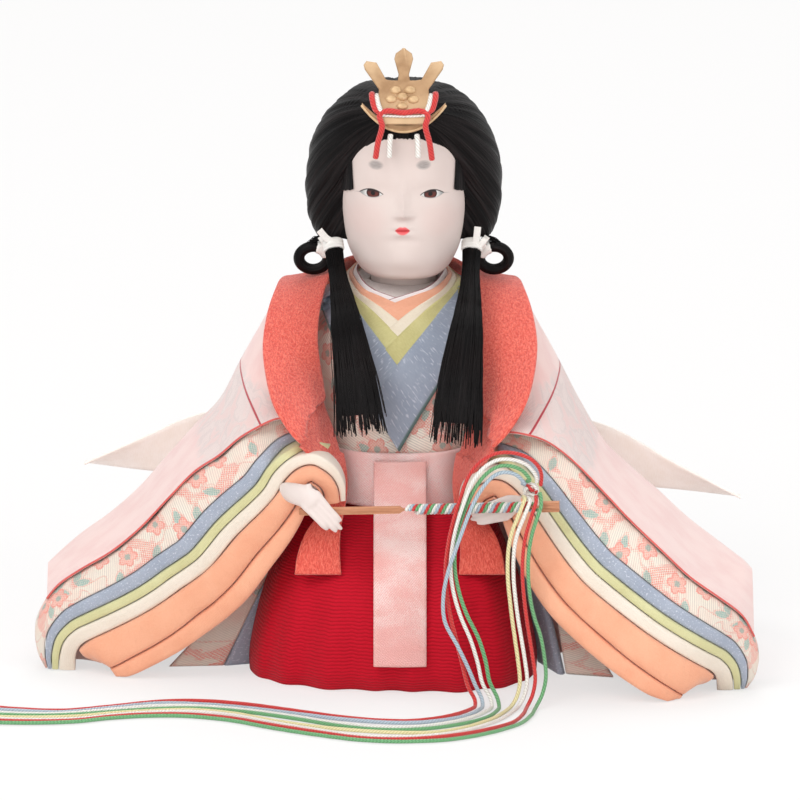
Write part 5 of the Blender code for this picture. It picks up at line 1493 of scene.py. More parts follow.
LEFT_SLEEVE_PATH = (
    (-0.167, 0.970, 0.830), (-0.178, 0.985, 0.914), (-0.214, 1.000, 0.974), (-0.256, 1.000, 0.996),
    (-0.308, 0.985, 0.951), (-0.350, 0.970, 0.847), (-0.405, 0.955, 0.751), (-0.456, 0.926, 0.668),
    (-0.536, 0.897, 0.511), (-0.593, 0.868, 0.442), (-0.667, 0.838, 0.351), (-0.744, 0.794, 0.270),
    (-0.835, 0.740, 0.190), (-0.885, 0.690, 0.140), (-0.905, 0.640, 0.085), (-0.908, 0.600, 0.0),
)
RIGHT_SLEEVE_PATH = (
    (0.178, 0.970, 0.790), (0.196, 0.980, 0.870), (0.235, 0.990, 0.915), (0.274, 1.000, 0.930),
    (0.328, 1.015, 0.882), (0.391, 1.050, 0.748), (0.446, 1.103, 0.630), (0.503, 1.162, 0.527),
    (0.558, 1.206, 0.457), (0.629, 1.250, 0.377), (0.697, 1.265, 0.300), (0.768, 1.250, 0.225),
    (0.832, 1.190, 0.155), (0.868, 1.120, 0.110), (0.882, 1.060, 0.065), (0.884, 1.000, 0.0),
)
OUTER_STATIONS = (
    (0.262, 0.950, 1.00, 0.49, 0.12), (0.305, 0.965, 1.00, 0.46, 0.14), (0.350, 0.950, 1.00, 0.36, 0.20),
    (0.400, 0.865, 1.00, 0.32, 0.28), (0.450, 0.775, 0.95, 0.27, 0.35), (0.505, 0.670, 0.85, 0.22, 0.35),
    (0.575, 0.545, 0.75, 0.16, 0.35), (0.645, 0.475, 0.68, 0.11, 0.35), (0.725, 0.400, 0.62, 0.06, 0.35),
    (0.805, 0.345, 0.55, 0.002, 0.35), (0.885, 0.295, 0.45, 0.002, 0.35), (0.940, 0.262, 0.30, 0.002, 0.35),
    (0.966, 0.250, 0.20, 0.002, 0.35), (0.988, 0.235, 0.10, 0.002, 0.35),
)


@dataclass(frozen=True)
class Layer:
    """One padded layer of a sleeve: its thickness, how it changes along the path, and where it starts."""

    colour: str
    thickness: float
    shares: tuple[float, ...]
    slant: float
    first: int


LAYERS = (
    Layer("cream", 4.7, (0.40, 0.80, 0.90, 1.00, 1.00, 1.05, 1.15), 0.0, 0),
    Layer("green", 3.0, (0.35, 0.75, 0.95, 1.05, 1.10, 1.05, 0.75), 0.0, 3),
    Layer("grey", 4.7, (0.18, 0.50, 0.95, 1.05, 1.00, 0.85, 0.28), 0.0, 4),
    Layer("brocade", 9.6, (0.10, 0.45, 0.90, 1.05, 0.85, 0.70, 0.10), 5.5, 4),
)


@dataclass
class Sleeve:
    """One sleeve: padded layers stacked on a path from wrist to floor, under a wide outer layer."""

    side: Side
    path_shares: tuple
    finishes: dict[str, Material]
    reach: float = 114.0
    forward: float = 68.0
    wrist: float = 74.0
    depth: float = 13.0
    setback: float = 0.7
    gap: float = 0.35
    hem_lift: float = 0.2
    peach_upper: float = 9.5
    peach_lower: float = 6.2
    peach_bulge: float = 1.1
    slit_width: float = 0.35
    slit_depth: float = 3.2
    peach_end: float = 0.885
    peach_skew: float = 0.9
    outer_lip: float = 0.9
    outer_back: float = 24.0
    outer_top: float = 118.0
    outer_margin: float = 2.2
    woven: tuple[float, float, float, float] = (50.0, 80.0, 17.0, 13.0)
    coarse: int = 22
    fine: int = 148

    def __post_init__(self) -> None:
        """Read the path and its outward directions."""
        size = (self.reach, -self.forward, self.wrist)
        self.path = [point / MM for point in smooth(shared(self.path_shares, size), self.coarse)]
        for point in self.path:
            point.z = max(point.z, self.hem_lift)
        self.frames = []
        last = self.coarse - 1
        for index in range(self.coarse):
            along = self.path[min(index + 1, last)] - self.path[max(index - 1, 0)]
            self.frames.append(Vector((-self.side.value * along.z, 0,
                                       self.side.value * along.x)).normalized())

    def lip(self, low: float, high: float, front: float, nose: float, lean: float = 0.0, count: int = 17,
            power: float = 0.62) -> list[tuple[float, float]]:
        """Rounded front edge of a padded layer.

        Args:
            low: Offset of its inner face.
            high: Offset of its outer face.
            front: Depth of the most forward place.
            nose: How far the edge rounds back.
            lean: Setback of the outer face.
            count: Number of places.
            power: Squareness; smaller is squarer.

        Returns:
            Pairs of offset and depth.
        """
        pairs = []
        for step in range(count):
            turn = math.pi * step / (count - 1)
            across = -math.copysign(abs(math.cos(turn)) ** power, math.cos(turn))
            offset = (low + high) / 2 + (high - low) / 2 * across
            pairs.append((offset, front + nose * (1 - math.sin(turn) ** power) + lean * (0.5 + across / 2)))
        return pairs

    def ring(self, station: float, section: Iterable[tuple[float, float]]) -> Row:
        """Place a section of offset and depth pairs on its station of the path.

        Args:
            station: Station of the path, with its fraction.
            section: Pairs of offset and depth.

        Returns:
            Ring in metres.
        """
        low = min(int(station), self.coarse - 2)
        part = station - low
        point = self.path[low].lerp(self.path[low + 1], part)
        outward = self.frames[low].lerp(self.frames[low + 1], part)
        ring = []
        for offset, depth in section:
            place = point + outward * offset + Vector((0, depth, 0))
            place.z = max(place.z, self.hem_lift)
            ring.append(place * MM)
        return ring

    def smoothed(self, rings: Rows, count: int) -> Rows:
        """Read more rings from the coarse ones, in the same smooth lines.

        Args:
            rings: Coarse rings.
            count: Number of rings to read.

        Returns:
            Fine rings.
        """
        columns = [smooth([ring[place] for ring in rings], count) for place in range(len(rings[0]))]
        read = [[column[index] for column in columns] for index in range(count)]
        for ring in read:
            for point in ring:
                point.z = max(point.z, self.hem_lift * MM)
        return read

    def pillow(self, rings: Rows, amount: float, seed: float, count: int) -> Rows:
        """Press faint soft unevenness into the front of a padded layer.

        Args:
            rings: Rings of the layer.
            amount: Depth in millimetres.
            seed: Place in the noise.
            count: Number of places of the front edge, after the first two.

        Returns:
            Rings.
        """
        run = 0.0
        for index, ring in enumerate(rings):
            if index:
                run += (ring[3] - rings[index - 1][3]).length / MM
            for place in range(2, 2 + count):
                share = math.sin(math.pi * (place - 1.5) / count)
                wave = noise.noise(Vector((run * 0.10, place * 0.16,
                                           seed))) + 0.4 * noise.noise(Vector((run * 0.45, place * 0.3,
                                                                               seed + 9)))
                ring[place].y += wave * amount * share * MM
        return rings

    def peach(self) -> None:
        """Innermost layer: two padded lips with the sleeve's slit between them."""
        upper = smooth_numbers((0.50, 0.55, 0.80, 0.95, 1.10, 1.15, 0.75), self.coarse)
        lower = smooth_numbers((0.14, 0.16, 0.80, 1.05, 0.90, 0.55, 0.30), self.coarse)
        stations, rings, accents = 20, [], []
        for index in range(stations + 3):
            share = min(index, stations - 1) / (stations - 1)
            station = share * self.peach_end * (self.coarse - 1)
            low = int(station)
            swing = max(index - stations + 2, 0) / 4.3 * math.pi / 2
            taper, push = math.cos(swing) ** 0.6, 0.95 * math.sin(swing)
            top, foot = upper[low] * self.peach_upper, lower[low] * self.peach_lower
            slit = min(self.slit_width, foot * 0.4)
            middle = -(top + slit / 2)
            bulge = self.peach_bulge
            section = [(-self.gap, self.depth), (-self.gap, self.depth * 0.5)]
            section += self.lip(-top, -self.gap * 0.4, -bulge, bulge * 1.9, power=0.75)[::-1]
            section += [(middle, self.slit_depth)]
            section += self.lip(-top - slit - foot, -top - slit, -bulge * 0.7, bulge * 1.9, power=0.75)[::-1]
            section += [(-top - slit - foot, self.depth * 0.5), (-top - slit - foot, self.depth)]
            upper_middle, lower_middle = -top / 2, -top - slit - foot / 2
            rounded = []
            for offset, depth in section:
                pull = upper_middle if offset > middle else lower_middle if offset < middle else middle
                rounded.append((pull + (offset - pull) * taper, depth + (1 - taper) * 3.0))
            skew = self.peach_skew * max(0.0, share - 0.5) * 2
            rings.append([self.ring(station + push - skew * offset / self.peach_upper, [(offset, depth)])[0]
                          for offset, depth in rounded])
        fine = self.smoothed(rings, self.fine)
        fine = self.pillow(fine, 0.35, 3.0 + self.side.value, 36)
        name = f"sleeve_peach_{self.side.word}"
        piece = shown(laid(fine, ring=True), f"silk_{name}", self.finishes["peach"], Body.DOLL, [name])

    def layers(self) -> tuple[list[float], list[float]]:
        """Stack the cream, green, grey and brocade layers.

        Returns:
            Offsets and leans of the outermost face at each coarse station.
        """
        base = [0.0] * self.coarse
        lean = [0.0] * self.coarse
        for order, layer in enumerate(LAYERS):
            walls = [share * layer.thickness for share in smooth_numbers(layer.shares, self.coarse)]
            rings = []
            front = self.setback * (order + 1)
            for index in range(self.coarse):
                lean[index] = layer.slant * walls[index] / layer.thickness
                low, high = base[index] + self.gap * 0.3, base[index] + walls[index] - self.gap * 0.3
                nose = min((high - low) * 0.42, self.depth * 0.11)
                section = [(low, self.depth), (low, front + nose + (self.depth - front - nose) * 0.5)]
                section += self.lip(low, high, front, nose, lean[index])
                section += [(high, front + nose + lean[index] + 1.0), (high, self.depth)]
                dive = max(0.0, layer.first + 2 - index) * 6.0 if layer.first else 0.0
                rings.append(self.ring(index, [(offset, depth + dive) for offset, depth in section]))
            share = (self.coarse - layer.first) / self.coarse
            fine = self.smoothed(rings[layer.first:], int(self.fine * share))
            fine = self.pillow(fine, 0.16, order * 5.0 + self.side.value, 17)
            # Painted shade: the accent darkens the inner edge of the green and grey layers, where the crevice
            # between layers is shaded.
            edge = [1.0 if layer.colour in ("green", "grey") and place < 4 else 0.0
                    for place in range(len(fine[0]))]
            name = f"sleeve_{layer.colour}_{self.side.word}"
            piece = shown(laid(fine, ring=True, accents=[edge] * len(fine)), f"silk_{name}",
                          self.finishes[layer.colour], Body.DOLL, [name])
            base = [below + wall for below, wall in zip(base, walls)]
        return base, lean

    def crossing(self, edge: Row, x: float) -> Vector:
        """Point of an edge line at the given X.

        Args:
            edge: The edge line.
            x: X in metres.

        Returns:
            The point.
        """
        for start, end in zip(edge, edge[1:]):
            if min(start.x, end.x) <= x <= max(start.x, end.x) and start.x != end.x:
                return start.lerp(end, (x - start.x) / (end.x - start.x))
        return edge[0] if abs(x) < abs(edge[0].x) else edge[-1]

    def woven_zone(self, point: Vector) -> float:
        """How strongly the outer layer's pale woven pattern shows at a place.

        Args:
            point: Place on the layer.

        Returns:
            Share from 0 to 1.
        """
        wide = (abs(point.x) / MM - self.woven[0]) / self.woven[2]
        high = (point.z / MM - self.woven[1]) / self.woven[3]
        return max(0.0, min(1.0, 1.7 - wide * wide - high * high))

    def outer(self, base: list[float], lean: list[float]) -> None:
        """Wide outer layer over and behind the stack, with coral piping on its lip.

        Args:
            base: Offsets of the stack's outermost face.
            lean: Leans of that face.
        """
        edge = []
        for index, point in enumerate(self.path):
            depth = self.setback * len(LAYERS) + lean[index]
            edge.append(point + self.frames[index] * base[index] + Vector((0, depth, 0)))
        stack = sum(layer.thickness for layer in LAYERS)
        rings = []
        for wide, top, back, low, swell in OUTER_STATIONS:
            x = self.side.value * wide * self.reach
            lip = self.crossing(edge, x) + Vector((0, 7.0, -2.0)) * min(1.0, max(0.0, (0.312 - wide) / 0.05))
            near = [point.y for point in self.path
                    if abs(x) - stack < abs(point.x) < abs(x) + LAYERS[0].thickness * 2]
            wall = max(near + [self.crossing(self.path, x).y]) + self.depth + self.outer_margin
            lip_low = lip.z + self.gap * 2
            back = max(back * self.outer_back, wall + self.outer_margin * 2)
            rise = max(top * self.outer_top - lip_low, self.outer_lip * 2)
            reach = back - lip.y
            low = min(low * self.outer_top, lip_low - self.outer_lip)
            drop = lip_low - low
            over = [(0, self.outer_lip * 0.6), (reach * 0.02, self.outer_lip + rise * swell * 0.12),
                    (reach * 0.18, self.outer_lip + rise * swell),
                    (reach * 0.42, self.outer_lip + rise * 0.80),
                    (reach * 0.66, self.outer_lip + rise), (reach * 0.88, rise * 0.72), (reach, -drop * 0.12)]
            skin = smooth([Vector((x, lip.y + y, lip_low + z)) for y, z in over], 25)
            under = [(lip.y + reach, low + drop * 0.12), (lip.y + reach - self.outer_lip, low), (wall, low),
                     (wall, lip_low), (lip.y + self.outer_lip, lip_low)]
            ring = skin + [Vector((x, y, z)) for y, z in under] + [Vector((x, lip.y, lip_low))]
            rings.append([point * MM for point in ring])
        fine = self.smoothed(rings, 120)
        for index, ring in enumerate(fine):
            for place in range(3, 23):
                point = ring[place]
                soft = noise.noise(Vector((point.x * 38, place * 0.16, 7.0 * self.side.value)))
                ridge = noise.noise(Vector((point.x * 95, place * 0.05, 2.0))) * 0.5
                point.z = max(point.z + (soft + ridge) * 0.7 * MM * math.sin(math.pi * (place - 2) / 21),
                              self.hem_lift * MM)
        name = f"sleeve_outer_{self.side.word}"
        accents = [[self.woven_zone(point) for point in ring] for ring in fine]
        piece = shown(laid(fine, ring=True, accents=accents), f"silk_{name}",
                      self.finishes["outer"], Body.DOLL, [name], crease=50)
        line = [ring[0] + Vector((0, -0.15, 0)) * MM for ring in fine]
        shown(laid(rolled(line, 0.34 * MM, 6), ring=True), f"sleeve_piping_{self.side.word}",
              self.finishes["piping"], Body.DOLL)

    def build(self) -> None:
        """Build the sleeve."""
        self.peach()
        self.outer(*self.layers())


# Body, trousers and side panels


@dataclass
class Robe:
    """Padded torso and skirt with the room inside them for the straw body and the board."""

    finishes: dict[str, Material]
    torso: tuple[float, float, float, float] = (29.0, 43.0, 27.0, 121.0)
    torso_levels: tuple = ((0.90, 1.02, 0.90, 0.4505, 0.0), (0.93, 0.99, 0.93, 0.548, 0.0),
                           (0.97, 0.92, 0.97, 0.676, 0.0),
                           (1.00, 0.83, 1.00, 0.793, 0.0), (0.94, 0.71, 0.94, 0.872, 0.03),
                           (0.66, 0.58, 0.74, 0.935, 0.08), (0.46, 0.42, 0.50, 0.995, 0.12))
    skirt: tuple[float, float, float, float] = (62.0, 25.5, 58.0, 54.15)
    skirt_levels: tuple = ((1.00, 1.00, 1.00, 0.004, 0.0), (0.95, 0.98, 0.95, 0.18, 0.0),
                           (0.82, 0.96, 0.83, 0.40, 0.0),
                           (0.65, 0.93, 0.69, 0.62, 0.0), (0.48, 0.90, 0.56, 0.84, 0.0),
                           (0.38, 0.86, 0.48, 0.99, 0.0))
    neck: tuple[float, float] = (1.2, 11.0)
    well: float = 2.9
    pit_floor: float = 112.85
    core_top: float = 106.35
    core_rooms: tuple[tuple[float, float], ...] = ((18.75, 3.0), (18.35, 33.9), (16.85, 60.0), (13.1, 95.8),
                                                   (12.4, 106.35))
    board: tuple[float, float, float, float] = (44.35, 18.35, 50.35, 3.35)

    def level_rings(self, size: Sequence[float], levels: Sequence[Sequence[float]], count: int, stack: int,
                    squareness: float) -> Rows:
        """Fine stack of level rings.

        Args:
            size: Half width, front, back and height.
            levels: Shares of the size at each level.
            count: Places in a ring.
            stack: Number of rings.
            squareness: Power of the ovals.

        Returns:
            Rings in metres.
        """
        columns = [smooth_numbers([level[place] for level in levels], stack) for place in range(5)]
        rings = []
        for wide, fore, aft, level, tilt in zip(*columns):
            rings.append(ring_of(0, wide * size[0] * MM, fore * size[1] * MM, aft * size[2] * MM,
                                 level * size[3] * MM, count, tilt, squareness))
        return rings

    def room_ring(self, wide: float, front: float, back: float, height: float, count: int,
                  centre: float) -> Row:
        """Ring of an inner room, in millimetres."""
        return ring_of(centre * MM, wide * MM, front * MM, back * MM, height * MM, count, 0.0, 2.0)

    def build(self) -> None:
        """Build the torso and the skirt."""
        count = 96
        rings = self.level_rings(self.torso, self.torso_levels, count, 44, 2.4)
        centre, pit = self.neck
        hollow = [(pit, 119.6), (pit, self.pit_floor), (self.well, self.pit_floor),
                  (self.well, self.core_top)]
        hollow += self.core_rooms[::-1][:3] + ((14.9, 54.6),)
        inner = [self.room_ring(radius, radius, radius, height, count, centre) for radius, height in hollow]
        whole = rings + inner + [rings[0]]
        # The torso's brocade is the lightened copy: painted light against the chest's shade.
        torso = shown(laid(whole, ring=True), "brocade_torso", self.finishes["brocade_body"], Body.DOLL,
                      ["robe_torso"], crease=40)
        rings = self.level_rings(self.skirt, self.skirt_levels, count, 30, 2.3)
        wide, front, back, height = self.board
        inner = [self.room_ring(14.9, 14.9, 14.9, 53.6, count, centre)]
        inner += [self.room_ring(radius, radius, radius, room, count, centre) for radius,
                  room in ((18.35, 33.9), (18.75, 3.5))]
        inner += [self.room_ring(wide, front, back, height, count, 0.0),
                  self.room_ring(wide, front, back, 0.3, count, 0.0)]
        skirt = shown(laid(rings + inner + [rings[0]], ring=True), "silk_skirt", self.finishes["pink"],
                      Body.DOLL, ["robe_skirt"], crease=40)


@dataclass
class Trousers:
    """Red divided trousers and the four robe panels that show beside them."""

    finishes: dict[str, Material]
    half_width: float = 45.0
    depth: float = 42.0
    wall: float = 31.5
    centre: float = -2.2
    waist: float = 54.5
    fold: float = 1.6
    slit: float = 3.4
    thickness: float = 2.6
    levels: tuple = ((1.02, 0.90, 0.004), (1.02, 0.98, 0.10), (0.99, 1.01, 0.25), (0.94, 1.00, 0.42),
                     (0.87, 0.92, 0.60),
                     (0.79, 0.74, 0.76), (0.72, 0.54, 0.90), (0.66, 0.40, 0.985))
    panels: dict = field(default_factory=lambda: {
        "skirt_grey_left": (((-0.72, 0.98, 0.84), (-0.86, 0.98, 0.42), (-0.98, 0.97, 0.004)),
                            ((-0.76, 0.99, 0.82), (-1.00, 1.02, 0.42), (-1.24, 1.12, 0.004))),
        "skirt_brocade_left": (((-0.78, 1.00, 0.80), (-1.03, 1.04, 0.40), (-1.27, 1.14, 0.004)),
                               ((-0.86, 1.00, 0.76), (-1.22, 1.06, 0.36), (-1.62, 1.20, 0.004))),
        "skirt_grey_right": (((0.76, 0.98, 0.84), (0.935, 0.98, 0.42), (1.032, 1.00, 0.004)),
                             ((0.80, 1.00, 0.82), (1.03, 1.14, 0.42), (1.17, 1.60, 0.004))),
        "skirt_brocade_right": (((0.85, 1.01, 0.77), (1.09, 1.18, 0.40), (1.20, 1.64, 0.004)),
                                ((0.88, 1.00, 0.72), (1.20, 1.22, 0.36), (1.50, 1.80, 0.004))),
    })

    def ring(self, wide: float, deep: float, level: float, count: int) -> Row:
        """Front of the trousers at one height, closed by its flat back.

        Args:
            wide: Share of the half width.
            deep: Share of the depth.
            level: Share of the height.
            count: Places on the front.

        Returns:
            Ring in metres.
        """
        ring = []
        for index in range(count):
            share = index / (count - 1)
            turn = math.pi * share
            x = math.copysign(abs(math.cos(turn)) ** 0.8, -math.cos(turn)) * wide * self.half_width
            depth = max(math.sin(turn), 0.0) ** 0.75 * deep * self.depth
            fall = 1 - level
            fold = self.fold * fall * math.cos(turn * 16) * math.sin(turn)
            slit = self.slit * fall * math.exp(-((share - 0.5) / 0.018) ** 2)
            lean = 0.1 * x * math.sin(turn)
            ring.append(Vector((self.centre + x, -self.wall - depth - fold + slit - lean,
                                level * self.waist)) * MM)
        back = [ring[-1].lerp(ring[0], share / 12) for share in range(1, 12)]
        return ring + back

    def build(self) -> None:
        """Build the trousers and the panels."""
        columns = [smooth_numbers([level[place] for level in self.levels], 64) for place in range(3)]
        rings = [self.ring(*shares, 257) for shares in zip(*columns)]
        hakama = shown(laid(rings, ring=True), "ribbed_hakama", self.finishes["hakama"], Body.DOLL,
                       ["hakama"], crease=70)
        size = (self.half_width, -(self.wall - self.thickness - 1.4), self.waist)
        for name, (inner, outer) in self.panels.items():
            rows = finer(spread(shared(inner, size), shared(outer, size), 6, 3), 60, 22)
            rings = hemmed(rows, self.thickness * MM, lambda point, face: -face if face.y > 0 else face,
                           0.2 * MM)
            finish = self.finishes["grey" if "grey" in name else "brocade_panel"]
            piece = shown(laid(closed_hem(rings), ring=True), f"hem_{name}", finish, Body.DOLL, [name],
                          crease=70)


# Collars, jacket and sash


@dataclass
class Collars:
    """Five crossed collars, right over left, each a step prouder than the one inside it."""

    finishes: dict[str, Material]
    names: tuple[str, ...] = ("white", "peach", "cream", "green", "grey")
    chest: tuple[float, float, float, float] = (29.0, 43.0, 27.0, 121.0)
    tips: tuple[float, ...] = (0.973, 0.953, 0.907, 0.869, 0.797, 0.608)
    fronts: tuple[float, ...] = (0.52, 0.56, 0.66, 0.72, 0.81, 0.95)
    sides: tuple[float, ...] = (0.40, 0.43, 0.455, 0.48, 0.51, 0.72)
    falls: tuple[float, ...] = (0.000, 0.014, 0.028, 0.042, 0.056, 0.085)
    thickness: float = 0.7
    step: float = 0.5
    trim: float = -0.03
    end: float = -0.02
    tuck: float = 1.2
    cross_lift: float = 0.25
    cloth_gap: float = 0.6
    narrowest: float = 10.1
    chest_top: float = 113.5

    def tip(self, order: int) -> Vector:
        """Lowest point of a collar line, where left and right meet."""
        return Vector((0, -self.chest[1] * self.fronts[order], self.chest[3] * self.tips[order]))

    def shoulder(self, order: int, side: int) -> Vector:
        """Point of a collar line on top of the shoulder."""
        return Vector((side * self.sides[order] * self.chest[0], -self.chest[1] * 0.15,
                       self.chest[3] * (0.995 - self.falls[order])))

    def cross(self, order: int) -> Vector:
        """Where the right side of this collar line runs into the left side of the next one.

        Args:
            order: Place of the line in the stack.

        Returns:
            The crossing.
        """
        left_tip, right_tip = self.tip(order + 1), self.tip(order)
        left, right = self.shoulder(order + 1, -1), self.shoulder(order, 1)
        left_slope = (left.z - left_tip.z) / -left.x
        right_slope = (right.z - right_tip.z) / right.x
        x = (left_tip.z - right_tip.z) / (left_slope + right_slope)
        return Vector((x, (left_tip.y + right_tip.y) / 2, right_tip.z + x * right_slope))

    def line(self, order: int, left_end: Vector, right_end: Vector) -> Row:
        """One edge line of the collars, from the left end round the neck to the right end.

        Args:
            order: Number of the line, from the neck outward.
            left_end: Where it ends on the left.
            right_end: Where it ends on the right.

        Returns:
            Knots of the line in metres.
        """
        drop = self.falls[order] * self.chest[3]
        wide = self.sides[order] * self.chest[0]
        halves = []
        for end, side in ((left_end, -1), (right_end, 1)):
            shoulder = self.shoulder(order, side)
            halves.append([end, end.lerp(shoulder, 0.5), shoulder,
                           Vector((side * wide * 1.12, self.chest[2] * 0.22, self.chest[3] * 1.01 - drop)),
                           Vector((side * wide * 0.8, self.chest[2] * 0.62, self.chest[3] * 1.03 - drop))])
        nape = Vector((0, self.chest[2] * 0.78, self.chest[3] * 1.035 - drop))
        return [point * MM for point in halves[0] + [nape] + halves[1][::-1]]

    def on_chest(self, chest: BVHTree, point: Vector) -> Vector:
        """Lay a place that is in front of the shoulders on the chest.

        Args:
            chest: Search tree of the torso.
            point: Place of a collar.

        Returns:
            The place, at the collars' clearance.
        """
        share = min(1.0, max(0.0, (-point.y / MM - 6.0) / 8.0))
        found = []
        for x in (-1.5, 0.0, 1.5):
            for z in (-1.5, 0.0, 1.5):
                start = Vector((point.x + x * MM, -RAY_REACH, min(point.z + z * MM, self.chest_top * MM)))
                place, _, _, _ = chest.ray_cast(start, Vector((0, 1, 0)))
                if place and place.y < 0:
                    found.append(place.y)
        if not found or not share:
            return point
        level = sum(found) / len(found) - (self.cloth_gap + 0.2) * MM
        return Vector((point.x, point.y + (level - point.y) * share, point.z))

    def build(self) -> None:
        """Build the collars."""
        centre = Vector((0, 0, self.chest[3] * 0.8)) * MM
        under = trees_of("robe_torso")
        for order, colour in enumerate(self.names):
            cross = self.cross(order)
            left_start = self.tip(order).lerp(self.shoulder(order, -1), self.trim)
            outer_start = cross.lerp(self.shoulder(order + 1, -1), self.trim)
            right_end = cross.lerp(self.shoulder(order, 1), self.end)
            right_tip = self.tip(order + 1).lerp(self.shoulder(order + 1, 1), self.end)
            rows = []
            plain = spread(self.line(order, left_start, right_end),
                           self.line(order + 1, outer_start, right_tip), 25, 3)
            tuck = self.tuck if colour != self.names[-1] else 0.0
            for row in plain:
                last = row[-1] + (row[-1] - row[0]).normalized() * tuck * MM
                rows.append([row[0], row[0].lerp(last, 0.5), last])
            rows = draped(under, rows, cores(rows, 0.45, 8.5 * MM), (self.cloth_gap + 0.2) * MM)
            rows = finer(rows, 120, 9)
            rows = [[self.on_chest(under[0], point) for point in row] for row in rows]
            for index, row in enumerate(rows):
                share = index / (len(rows) - 1)
                lift = -self.cross_lift * min(1.0, max(0.0, (0.55 - share) * 6))
                rows[index] = [point + (point - centre).normalized() * lift * MM for point in row]
            thickness = (self.thickness + order * self.step) * MM
            rings = hemmed(rows, thickness, lambda point, face: (point - centre).normalized())
            edge = [0.0] * len(rings[0])
            trimmed = {"white": range(-4, 0), "grey": range(9, 13)}.get(colour, ())
            for place in trimmed:
                edge[place] = 1.0
            accents = [edge] * (len(rings) + 2)
            piece = shown(laid(closed_hem(rings), ring=True, accents=accents), f"silk_collar_{colour}",
                          self.finishes[f"collar_{colour}"], Body.DOLL, [f"collar_{colour}"])


@dataclass
class Jacket:
    """Coral crepe jacket: hanging front ends, over both shoulders and round the back of the neck."""

    finish: Material
    size: tuple[float, float, float] = (29.0, 43.0, 121.0)
    inner: tuple = ((-0.66, -1.50, 0.31), (-0.67, -1.36, 0.40), (-0.60, -1.14, 0.49), (-0.65, -1.12, 0.60),
                    (-0.75, -1.06, 0.68), (-0.83, -1.00, 0.735), (-0.88, -0.90, 0.79), (-0.92, -0.76, 0.87),
                    (-0.88, -0.45, 0.95), (-0.72, -0.02, 1.01), (-0.42, 0.44, 1.01), (0.0, 0.56, 1.00))
    outer: tuple = ((-1.14, -1.50, 0.31), (-1.06, -1.36, 0.39), (-0.76, -1.16, 0.49), (-0.86, -1.42, 0.585),
                    (-1.00, -1.55, 0.645), (-1.22, -1.48, 0.70), (-1.42, -1.34, 0.78), (-1.50, -0.88, 0.88),
                    (-1.38, -0.35, 0.97), (-1.20, 0.20, 0.97), (-0.72, 0.62, 0.89), (0.0, 0.71, 0.86))
    loose_below: float = 0.70
    core_drop: float = 14.0
    thickness: float = 1.3
    cloth_gap: float = 0.6

    def build(self) -> None:
        """Build the jacket."""
        edges = []
        for shares in (self.inner, self.outer):
            half = shared(shares, self.size)
            edges.append(half + [Vector((-point.x, point.y, point.z)) for point in half[-2::-1]])
        rows = spread(edges[0], edges[1], 39, 4)
        loose = [index for index, row in enumerate(rows) if row[0].z < self.size[2] * self.loose_below * MM]
        first = max(index for index in loose if index < len(rows) / 2) + 1
        last = min(index for index in loose if index > len(rows) / 2)
        middle = rows[first:last]
        under = trees_of("robe_torso", *(f"sleeve_{layer}_{side}" for side in ("left", "right")
                                         for layer in ("cream", "green", "grey", "brocade", "outer")),
                         *(f"collar_{colour}" for colour in ("white", "peach", "cream", "green", "grey")))
        rows[first:last] = draped(under, middle, cores(middle, 0.8, self.core_drop * MM), self.cloth_gap * MM)
        rows = finer(rows, 190, 22)
        spine = Vector((0, 0, self.size[2] * 0.72)) * MM
        rings = hemmed(rows, self.thickness * MM, lambda point,
                       face: face if face.dot(point - spine) > 0 else -face)
        piece = shown(laid(closed_hem(rings), ring=True), "crepe_jacket", self.finish, Body.DOLL, ["jacket"])


@dataclass
class Sash:
    """Belt round the front of the waist and the sash end that hangs from it."""

    finish: Material
    # A lighter copy of the sash weave: painted light against the shade on the belt.
    belt_finish_lightened: Material
    half_width: float = 23.0
    height: float = 16.5
    waist: float = 55.2
    chest_front: float = 43.0
    thickness: float = 1.8
    tail_half_width: float = 8.0
    tail_hem: float = 10.0
    tail_thickness: float = 1.2
    wall: float = 31.5
    cloth_gap: float = 0.6

    def front_rows(self, under: Sequence[BVHTree], rows: Rows) -> Rows:
        """Drape rows straight forward."""
        behind = Vector((0, RAY_REACH, 0))
        return draped(under, rows, [[point + behind for point in row] for row in rows], self.cloth_gap * MM)

    def build(self) -> None:
        """Build the belt and the hanging end."""
        under = trees_of("robe_torso", "hakama", "collar_white", "collar_peach", "collar_cream",
                         "collar_green", "collar_grey")
        lower, upper = [], []
        for share in (-1, -0.66, -0.33, 0, 0.33, 0.66, 1):
            front = -self.chest_front * (1 - 0.3 * abs(share) ** 3)
            lower.append(Vector((share * self.half_width, front, self.waist)) * MM)
            upper.append(Vector((share * self.half_width, front, self.waist + self.height)) * MM)
        rows = finer(self.front_rows(under, spread(lower, upper, 15, 4)), 90, 20)
        rings = hemmed(rows, self.thickness * MM, lambda point, face: face if face.y < 0 else -face)
        belt = shown(laid(closed_hem(rings), ring=True), "woven_belt", self.belt_finish_lightened, Body.DOLL,
                     ["obi_belt"])
        top = self.waist + self.height - self.thickness
        rows = []
        for step in range(13):
            height = top + (self.tail_hem - top) * step / 12
            rows.append([Vector((share * self.tail_half_width, -self.wall, height)) * MM
                         for share in (-1, 0, 1)])
        rows = self.front_rows(trees_of("obi_belt", "hakama"), rows)
        for row in rows:
            front = min(point.y for point in row)
            for point in row:
                point.y = front
            row[1].y -= self.tail_thickness * 0.5 * MM
        rows = finer(rows, 90, 15)
        rings = hemmed(rows, self.tail_thickness * MM, lambda point, face: face if face.y < 0 else -face)
        count = len(rings[0])
        accents = [[1.0 if index > 80 else max(0.0, 0.75 - index / 60)] * count
                   for index in range(len(rings) + 2)]
        tail = shown(laid(closed_hem(rings), ring=True, accents=accents), "woven_sash_end", self.finish,
                     Body.DOLL, ["obi_tail"])


# Train and ribbons


